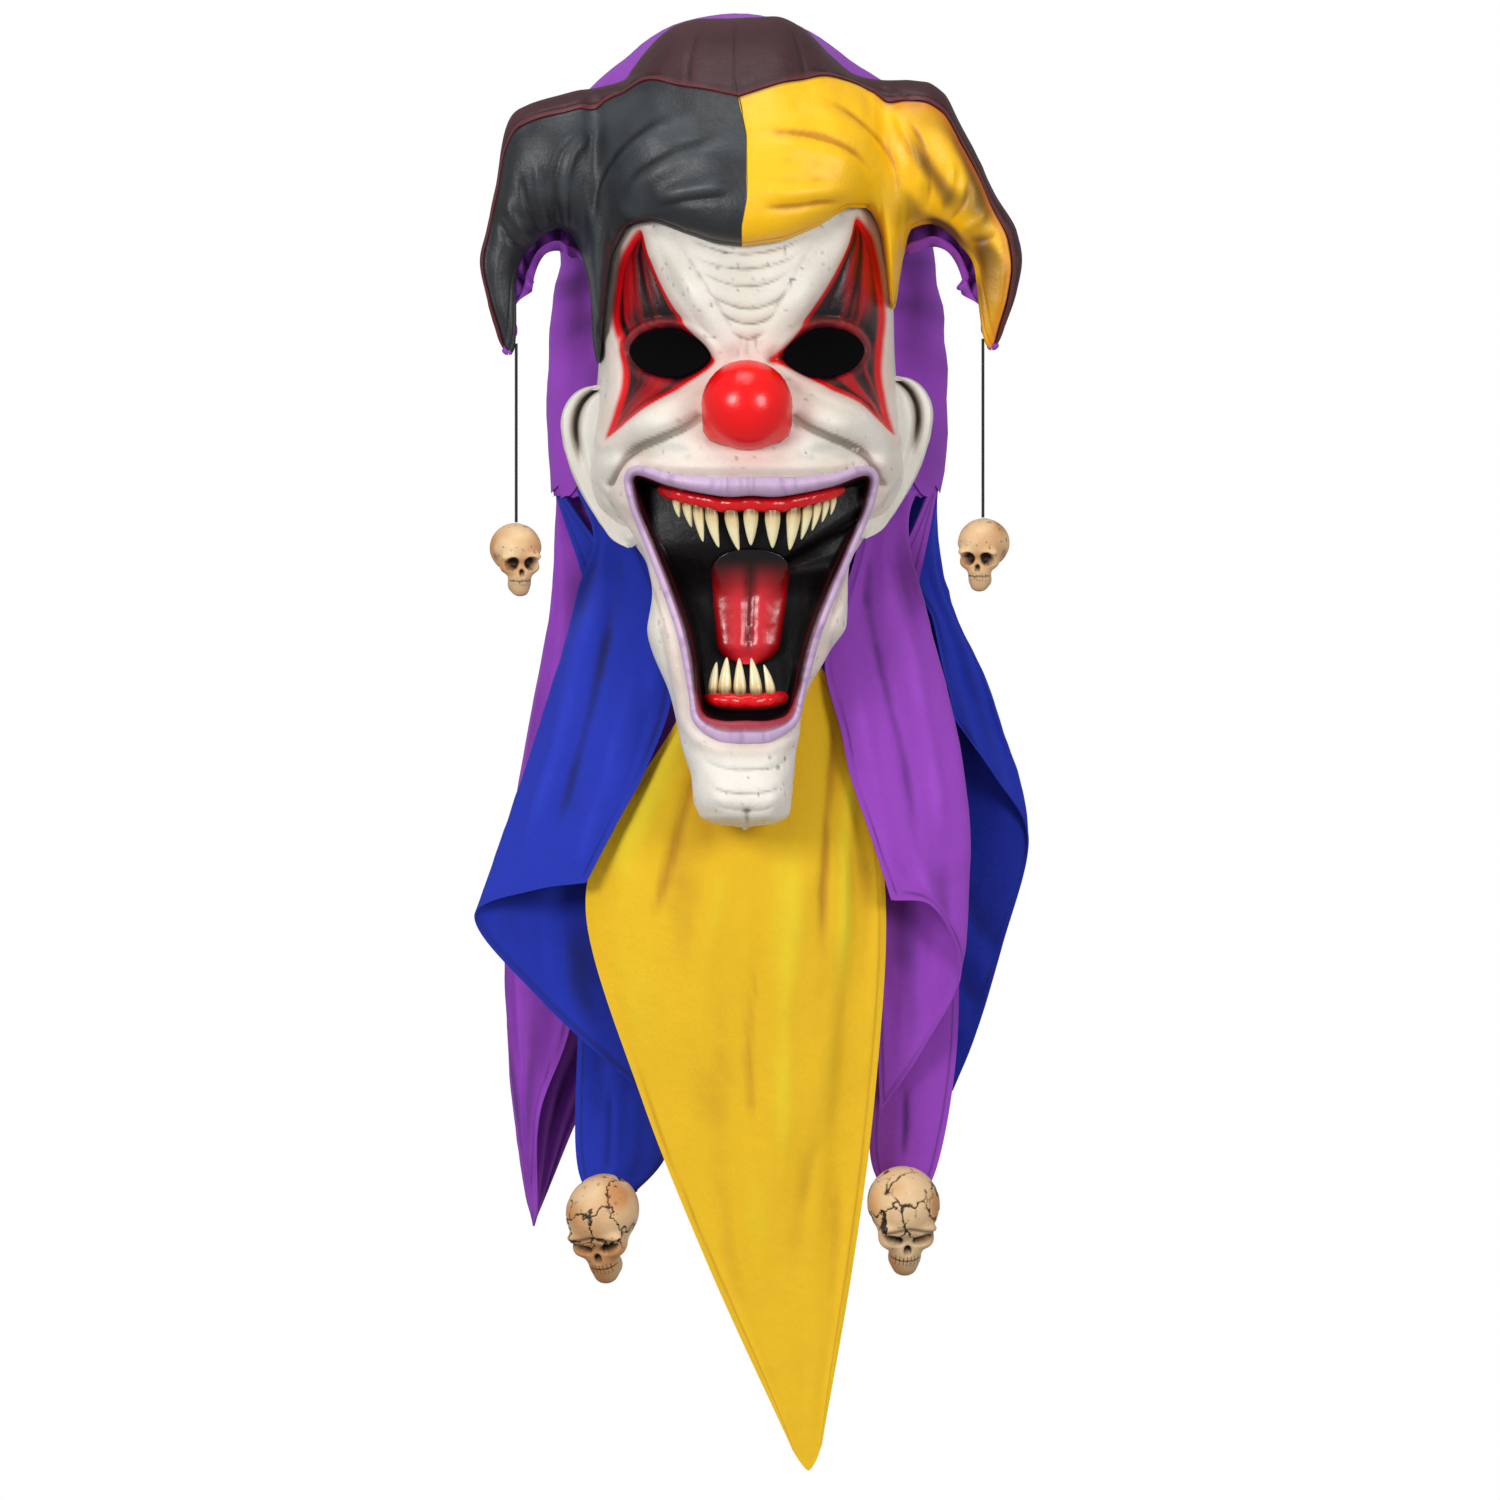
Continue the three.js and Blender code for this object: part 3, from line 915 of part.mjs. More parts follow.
// A rail's point in millimetres.
function railPoint(x, down, y, tied) {
  const z = -CLOTH_TOP_DROP - down * CLOTH_DROP;
  return V(x * CLOTH_HALF, tied === "jaw" ? faceSection(z).rear + y * JAW_CLEAR : y * CLOTH_DEPTH, z);
}

// A cloth point: a sheet whose rails run from its top edge to the hem.
function clothPoint(point) {
  const curves = point.rails.map(
    (rail) =>
      new THREE.CatmullRomCurve3(
        rail.map(([x, down, y, tied]) =>
          x === "hem" || y === "hem"
            ? hemPoint(Math.sign(rail[1][0]), x * CLOTH_HALF, y === "hem" ? y : y * CLOTH_DEPTH)
            : railPoint(x, down, y, tied),
        ),
        false,
        "centripetal",
      ),
  );
  const rows = new Map();
  const surface = (u, v) => {
    const key = Math.round(v * 1e6);
    if (!rows.has(key))
      rows.set(key, new THREE.CatmullRomCurve3(curves.map((c) => c.getPoint(v)), false, "centripetal"));
    return rows.get(key).getPoint(u);
  };
  return evenSheet({ across: point.across, down: 8, surface, wall: CLOTH_WALL });
}

// How far a ray from the middle of the cranium goes before it leaves the skull.
function skullReach(direction) {
  let reach = 0;
  for (const m of SKULL_MASSES) {
    const [dx, dy, dz] = [direction.x / m.wide, direction.y / m.deep, direction.z / m.tall];
    const [cx, cy, cz] = [m.x / m.wide, m.y / m.deep, m.z / m.tall];
    const a = dx * dx + dy * dy + dz * dz;
    const b = dx * cx + dy * cy + dz * cz;
    const c = cx * cx + cy * cy + cz * cz - 1;
    const root = b * b - a * c;
    if (root > 0) reach = Math.max(reach, (b + Math.sqrt(root)) / a);
  }
  if (direction.y < 0)
    for (const h of SKULL_HOLLOWS) {
      const away = Math.hypot(direction.x / -direction.y - h.x, direction.z / -direction.y - h.z) / h.spread;
      reach -= h.depth * Math.exp(-away * away);
    }
  return reach;
}

function skull(tall) {
  const shape = new THREE.SphereGeometry(1, 12, 10).rotateX(Math.PI / 2);
  const place = shape.attributes.position;
  for (let i = 0; i < place.count; i += 1) {
    const direction = V(place.getX(i), place.getY(i), place.getZ(i)).normalize();
    const point = direction.clone().multiplyScalar(skullReach(direction) * tall);
    place.setXYZ(i, point.x, point.y, point.z);
  }
  return geometryFrom(solidOf(shape));
}

const CRANIUM_TOP = SKULL_MASSES[0].tall;

const COLOURS = {
  latex: { color: 0xe9e2d6, roughness: 0.55 },
  lilac: { color: 0xc3a5cf, roughness: 0.4 },
  red: { color: 0xd60c14, roughness: 0.2 },
  gum: { color: 0xb3121c, roughness: 0.25 },
  tooth: { color: 0xe8d9a8, roughness: 0.35 },
  black: { color: 0x0b0b0c, roughness: 0.4 },
  charcoal: { color: 0x272c30, roughness: 0.5 },
  yellow_latex: { color: 0xf0b50c, roughness: 0.5 },
  maroon: { color: 0x42202a, roughness: 0.6 },
  purple: { color: 0x7b2fa3, roughness: 0.8 },
  yellow: { color: 0xe9c21c, roughness: 0.8 },
  blue: { color: 0x12309c, roughness: 0.8 },
  bone: { color: 0xc9a680, roughness: 0.45 },
};

const mask = new THREE.Group();

function add(name, geometry, colour) {
  const mesh = new THREE.Mesh(geometry, new THREE.MeshStandardMaterial({ metalness: 0, ...COLOURS[colour] }));
  mesh.name = name;
  mask.add(mesh);
  return mesh;
}

const block = headBlock(2.4 * SEAM_GAP);

add("face", face(), "latex");
add("lips", lips(), "lilac");
add("nose", geometryFrom(nose(0)), "red");
add("eye_mesh_left", eyeMesh(-1), "black");
add("eye_mesh_right", eyeMesh(1), "black");
add("mouth_lining", mouthLining(), "black");
add("tongue", tongue(), "gum");
add("gum_upper", gum("upper", UPPER_TEETH), "gum");
add("gum_lower", gum("lower", LOWER_TEETH), "gum");
UPPER_TEETH.forEach((t, i) => add(`tooth_upper_${i + 1}`, tooth("upper", t, 0), "tooth"));
LOWER_TEETH.forEach((t, i) => add(`tooth_lower_${i + 1}`, tooth("lower", t, 0), "tooth"));
add("cap_charcoal", capFront(CHARCOAL_STATIONS, -1, block), "charcoal");
add("cap_yellow", capFront(YELLOW_STATIONS, 1, block), "yellow_latex");
add("cap_crown", capCrown(block), "maroon");
add("horn_lining_left", hornLining(CHARCOAL_STATIONS, -1, block), "purple");
add("horn_lining_right", hornLining(YELLOW_STATIONS, 1, block), "purple");
add("hood", hood(), "purple");
for (const point of CLOTH_POINTS) add(point.name, clothPoint(point), point.colour);

// A small skull hangs on a cord from each horn's tip. clear: from the tip's edge to the cord's side.
const CORD_PLACES = [
  { name: "left", table: CHARCOAL_STATIONS, side: -1, clear: CORD_CLEAR_LEFT },
  { name: "right", table: YELLOW_STATIONS, side: 1, clear: CORD_CLEAR_RIGHT },
];
for (const { name, table, side, clear } of CORD_PLACES) {
  const tip = station(table, side, table.length - 1);
  const x = tip.brim.x - side * (CORD_DIAMETER / 2 + clear);
  const top = V(x, tip.brim.y, tip.brim.z + CORD_TUCK);
  const route = new THREE.LineCurve3(top, V(x, top.y, top.z - CORD_LENGTH));
  const section = new THREE.Shape().absarc(0, 0, CORD_DIAMETER / 2, 0, Math.PI * 2);
  const cord = new THREE.ExtrudeGeometry(section, {
    extrudePath: route, steps: 4, curveSegments: 4, bevelEnabled: false,
  });
  add(`cord_${name}`, geometryFrom(solidOf(cord)), "black");
  const bell = add(`skull_small_${name}`, skull(SMALL_SKULL_TALL), "bone");
  bell.position.set(x, top.y, top.z - CORD_LENGTH - SEAM_GAP - CRANIUM_TOP * SMALL_SKULL_TALL);
}

// A large skull hangs before the end of each tail, its crown tipped towards the viewer.
// aside, before, up: shares of LARGE_SKULL_TALL from the middle of the tail's end.
const LARGE_SKULL_PLACES = [
  { name: "skull_large_left", tail: "point_blue_tail", aside: -0.066, before: 0.442, up: 0, roll: -0.2 },
  { name: "skull_large_right", tail: "point_purple_tail", aside: -0.021, before: 0.455, up: 0.077, roll: 0.05 },
];
for (const place of LARGE_SKULL_PLACES) {
  const rail = CLOTH_POINTS.find((point) => point.name === place.tail).rails[1];
  const end = railPoint(...rail[rail.length - 1]);
  const bell = add(place.name, skull(LARGE_SKULL_TALL), "bone");
  bell.rotation.set(SKULL_TIP, place.roll, 0);
  bell.position.copy(end).addScaledVector(V(place.aside, -place.before, place.up), LARGE_SKULL_TALL);
}

export default mask;
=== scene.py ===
"""Looks of the jester mask: sculpted latex, cloth and resin pieces over the frame's solids.

Lengths are millimetres in the making and metres in Blender. The face looks along -Y.
"""

import itertools
import math

import bmesh
import bpy
import numpy as np
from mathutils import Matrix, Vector


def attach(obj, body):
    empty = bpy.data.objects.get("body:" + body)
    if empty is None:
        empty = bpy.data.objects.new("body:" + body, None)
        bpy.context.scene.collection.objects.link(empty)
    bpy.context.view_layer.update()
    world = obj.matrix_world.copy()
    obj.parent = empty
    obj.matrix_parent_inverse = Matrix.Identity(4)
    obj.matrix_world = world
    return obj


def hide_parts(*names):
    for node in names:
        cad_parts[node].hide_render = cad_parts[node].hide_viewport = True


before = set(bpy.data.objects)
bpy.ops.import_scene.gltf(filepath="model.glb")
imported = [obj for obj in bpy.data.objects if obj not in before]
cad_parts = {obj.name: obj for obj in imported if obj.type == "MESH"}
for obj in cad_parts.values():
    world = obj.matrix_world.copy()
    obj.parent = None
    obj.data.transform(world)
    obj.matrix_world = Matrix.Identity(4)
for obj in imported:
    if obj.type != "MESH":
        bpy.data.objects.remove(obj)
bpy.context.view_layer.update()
scene = bpy.context.scene

# Camera: square on, far away, with a long lens.
VIEW_CENTRE = (0.002, -0.372)
VIEW_WIDTH = 0.975
CAMERA_AWAY = 24.0
camera_data = bpy.data.cameras.new("camera")
camera_data.sensor_width = 36
camera_data.lens = 36 * CAMERA_AWAY / VIEW_WIDTH
camera_data.clip_end = 60
camera = bpy.data.objects.new("camera", camera_data)
camera.location = (VIEW_CENTRE[0], -CAMERA_AWAY, VIEW_CENTRE[1])
camera.rotation_euler = (math.pi / 2, 0, 0)
scene.collection.objects.link(camera)
scene.camera = camera

# Picture pixels: millimetres a pixel, the column of the mask's middle and the row of the origin.
PIXEL = 0.65
PHOTO_MIDDLE = 747
PHOTO_ORIGIN = 178

# Sizes, in millimetres, as in the part.
FACE_HALF = 96
FACE_DROP = 422
FACE_FRONT = 112
FACE_WALL = 2.5
FACE_TOP_DROP = 20
SECTION_POWER = 2.3
EYE_SPREAD = 50
EYE_DROP = 115
EYE_HALF = 26
EYE_TALL = 16
MESH_WALL = 1.2
NOSE_RADIUS = 27.5
NOSE_DROP = 149
MOUTH_HALF = 76
MOUTH_SHIFT = 3
MOUTH_SWAY = 4
MOUTH_DROP = 195
MOUTH_TALL = 158
MOUTH_CORNER_DEPTH = 0.26
MOUTH_WALL = 1.6
LINING_TUCK = 0.35
LIP_WIDTH = 15
LIP_DEPTH = 8
GUM_TALL = 9
GUM_DEPTH = 10
GUM_TUCK = 3.5
TOOTH_LENGTH = 24
TOOTH_HALF = 4.2
TOOTH_ROOT = 4
TONGUE_HALF = 27
TONGUE_LENGTH = 74
TONGUE_THICK = 9
HAT_HALF = 175
HAT_RISE = 104
HAT_DEPTH = 115
HAT_WALL = 2.2
HOOD_HALF = 120
HOOD_BACK = 125
HOOD_WALL = 1.6
HOOD_AXIS_DROP = 50
HOOD_HEM_DROP = 205
HOOD_LEAN = 8
CLOTH_TOP_DROP = 190
CLOTH_WALL = 1.2
CLOTH_HALF = 180
CLOTH_DROP = 657
CLOTH_DEPTH = 100
JAW_CLEAR = 3.2
SEAM_GAP = 0.45
CORD_DIAMETER = 2
CORD_LENGTH = 116
SMALL_SKULL_TALL = 48
LARGE_SKULL_TALL = 68
SKULL_TIP = 0.55

# Face sections: drop, half, front, middle, rear, lean, wrap.
FACE_SECTIONS = np.array([
    [0.02, 0.92, -0.96, 0, 0.3, 0, 94],
    [0.12, 0.96, -0.99, 0, 0.3, 0, 94],
    [0.19, 0.99, -1.0, 0, 0.3, 0, 94],
    [0.27, 1.0, -0.98, 0, 0.3, 0, 94],
    [0.335, 1.02, -1.01, 0, 0.28, 0, 94],
    [0.42, 1.05, -1.09, 0, 0.25, 0, 95],
    [0.46, 1.07, -1.14, -0.02, 0.2, 0, 97],
    [0.5, 1.02, -1.13, -0.06, 0.15, -0.01, 101],
    [0.53, 0.89, -1.11, -0.2, 0.04, -0.01, 108],
    [0.56, 0.78, -1.09, -0.4, -0.16, 0, 122],
    [0.6, 0.68, -1.08, -0.6, -0.42, 0.01, 150],
    [0.64, 0.66, -1.08, -0.7, -0.54, 0.02, 179.4],
    [0.69, 0.67, -1.08, -0.75, -0.56, 0, 179.4],
    [0.73, 0.6, -1.08, -0.77, -0.56, -0.04, 179.4],
    [0.8, 0.455, -1.08, -0.79, -0.57, -0.06, 179.2],
    [0.88, 0.385, -1.08, -0.82, -0.6, -0.05, 179],
    [0.925, 0.345, -1.11, -0.85, -0.64, -0.03, 179],
    [0.96, 0.33, -1.14, -0.88, -0.7, -0.03, 179],
    [0.982, 0.3, -1.12, -0.9, -0.74, -0.02, 179],
    [0.994, 0.21, -1.05, -0.91, -0.8, -0.02, 179],
    [1.0, 0.04, -0.95, -0.92, -0.89, -0.02, 179],
])
# Swells: out, drop, wide, tall, rise.
FACE_SWELLS = [
    (0.52, 0.265, 0.34, 0.06, -0.13),
    (0.62, 0.18, 0.16, 0.07, -0.06),
    (0.32, 0.19, 0.16, 0.08, 0.04),
    (0.62, 0.375, 0.3, 0.04, 0.09),
    (0.95, 0.44, 0.2, 0.03, 0.06),
    (0.62, 0.425, 0.22, 0.014, -0.06),
    (0.25, 0.43, 0.4, 0.03, 0.05),
    (0.66, 0.69, 0.1, 0.03, 0.03),
    (0.15, 0.95, 0.14, 0.03, 0.05),
]
# Mouth outline: out, down, lip.
MOUTH_OUTLINE = [
    (0.0, 0.08, 0.9), (0.19, 0.085, 0.95), (0.42, 0.07, 0.8), (0.7, 0.04, 0.6), (0.99, 0.0, 0.45),
    (0.965, 0.09, 0.46), (0.79, 0.29, 0.52), (0.64, 0.465, 0.54), (0.51, 0.64, 0.54),
    (0.445, 0.78, 0.52), (0.41, 0.9, 0.42), (0.35, 0.975, 0.6), (0.2, 1.0, 0.92), (0.0, 1.0, 1.0),
]
# Mouth's back wall: down, y.
MOUTH_BACK = [(0, -0.84), (0.26, -0.82), (0.5, -0.66), (0.75, -0.67), (1, -0.8)]
# Teeth: at, long, wide, lean.
UPPER_TEETH = [
    (-0.64, 0.42, 0.6, 0.18), (-0.55, 0.62, 0.75, 0.2), (-0.455, 0.95, 0.85, 0.14),
    (-0.345, 1.04, 1.0, 0.2), (-0.175, 1.06, 1.05, 0.2), (-0.005, 0.96, 1.1, 0),
    (0.18, 1.0, 1.1, 0), (0.36, 1.12, 1.0, -0.1), (0.475, 0.9, 0.8, -0.18),
    (0.56, 0.72, 0.7, -0.2), (0.635, 0.55, 0.6, -0.2), (0.7, 0.4, 0.5, -0.2),
]
LOWER_TEETH = [
    (-0.285, 0.82, 0.75, 0.12), (-0.185, 0.98, 0.95, 0.06), (-0.055, 0.98, 0.95, -0.02),
    (0.085, 0.98, 0.95, -0.14), (0.21, 0.78, 0.75, -0.25),
]
GUM_SPANS = {"upper": 0.8, "lower": 0.36}
# Cap stations: crown out, up, y; brim out, up, y; deep; seam.
CHARCOAL_STATIONS = np.array([
    [0.044, 0.99, -0.26, 0.02, -0.44, -1.0, 0.45, 0.35],
    [0.14, 0.99, -0.26, 0.11, -0.42, -1.0, 0.44, 0.33],
    [0.26, 0.95, -0.26, 0.22, -0.36, -0.95, 0.43, 0.3],
    [0.38, 0.77, -0.28, 0.36, -0.28, -0.84, 0.4, 0.17],
    [0.46, 0.6, -0.31, 0.44, -0.32, -0.65, 0.4, 0.09],
    [0.52, 0.57, -0.35, 0.5, -0.52, -0.4, 0.42, 0.09],
    [0.57, 0.55, -0.39, 0.55, -1.16, -0.1, 0.4, 0.08],
    [0.62, 0.54, -0.42, 0.6, -0.55, -0.3, 0.36, 0.11],
    [0.69, 0.51, -0.44, 0.655, -0.34, -0.42, 0.33, 0.14],
    [0.8, 0.455, -0.45, 0.7, -0.32, -0.45, 0.3, 0.14],
    [0.87, 0.38, -0.45, 0.755, -0.36, -0.45, 0.27, 0.13],
    [0.905, 0.22, -0.45, 0.8, -0.43, -0.45, 0.24, 0.11],
    [0.93, -0.05, -0.46, 0.83, -0.49, -0.46, 0.2, 0.1],
    [0.965, -0.33, -0.48, 0.85, -0.57, -0.48, 0.15, 0.1],
    [0.99, -0.53, -0.5, 0.857, -0.67, -0.5, 0.12, 0.12],
    [0.967, -0.74, -0.52, 0.858, -0.8, -0.52, 0.09, 0.14],
    [0.93, -0.95, -0.53, 0.858, -0.96, -0.53, 0.06, 0.18],
    [0.9, -1.1, -0.53, 0.866, -1.1, -0.53, 0.03, 0.2],
])
YELLOW_STATIONS = np.array([
    [-0.044, 0.99, -0.26, -0.02, -0.44, -1.0, 0.45, 0.35],
    [0.1, 1.0, -0.26, 0.11, -0.41, -1.0, 0.44, 0.31],
    [0.2, 0.94, -0.26, 0.25, -0.32, -0.95, 0.43, 0.27],
    [0.31, 0.76, -0.28, 0.38, -0.2, -0.84, 0.4, 0.15],
    [0.4, 0.64, -0.31, 0.44, -0.19, -0.68, 0.4, 0.08],
    [0.46, 0.61, -0.35, 0.5, -0.34, -0.45, 0.42, 0.09],
    [0.52, 0.6, -0.39, 0.54, -0.82, -0.2, 0.4, 0.1],
    [0.58, 0.6, -0.42, 0.575, -0.5, -0.36, 0.36, 0.12],
    [0.66, 0.59, -0.44, 0.61, -0.32, -0.44, 0.33, 0.14],
    [0.73, 0.52, -0.45, 0.68, -0.29, -0.45, 0.3, 0.15],
    [0.8, 0.29, -0.45, 0.745, -0.34, -0.45, 0.27, 0.14],
    [0.86, 0.1, -0.45, 0.8, -0.43, -0.45, 0.24, 0.15],
    [0.92, -0.11, -0.46, 0.835, -0.51, -0.46, 0.2, 0.18],
    [1.0, -0.34, -0.48, 0.85, -0.59, -0.48, 0.15, 0.22],
    [1.02, -0.52, -0.5, 0.858, -0.69, -0.5, 0.12, 0.24],
    [1.0, -0.72, -0.52, 0.866, -0.81, -0.52, 0.09, 0.24],
    [0.96, -0.92, -0.53, 0.874, -0.95, -0.53, 0.06, 0.26],
    [0.925, -1.07, -0.53, 0.89, -1.07, -0.53, 0.03, 0.28],
])
HORN_STATION = 7
HORN_NUB = 16.45
# Hood sections: turn, rim, swell, rim y.
HOOD_SECTIONS = np.array([
    [0, 1.26, 1.3, -0.22], [17, 1.22, 1.27, -0.21], [30, 1.1, 1.22, -0.18], [45, 0.97, 1.2, -0.08],
    [62, 0.85, 1.1, 0.032], [90, 0.8, 1.0, 0.032], [110, 0.8, 1.12, 0.032], [125, 1.1, 1.31, 0.032],
    [140, 1.5, 1.63, 0.032], [155, 2.0, 2.1, 0.032], [180, 2.2, 2.3, 0.032],
])
HOOD_SEWN_TURN = 72
HOOD_HEM_TURN = 147
# Stands for a place under the hood's hem.
HEM = None
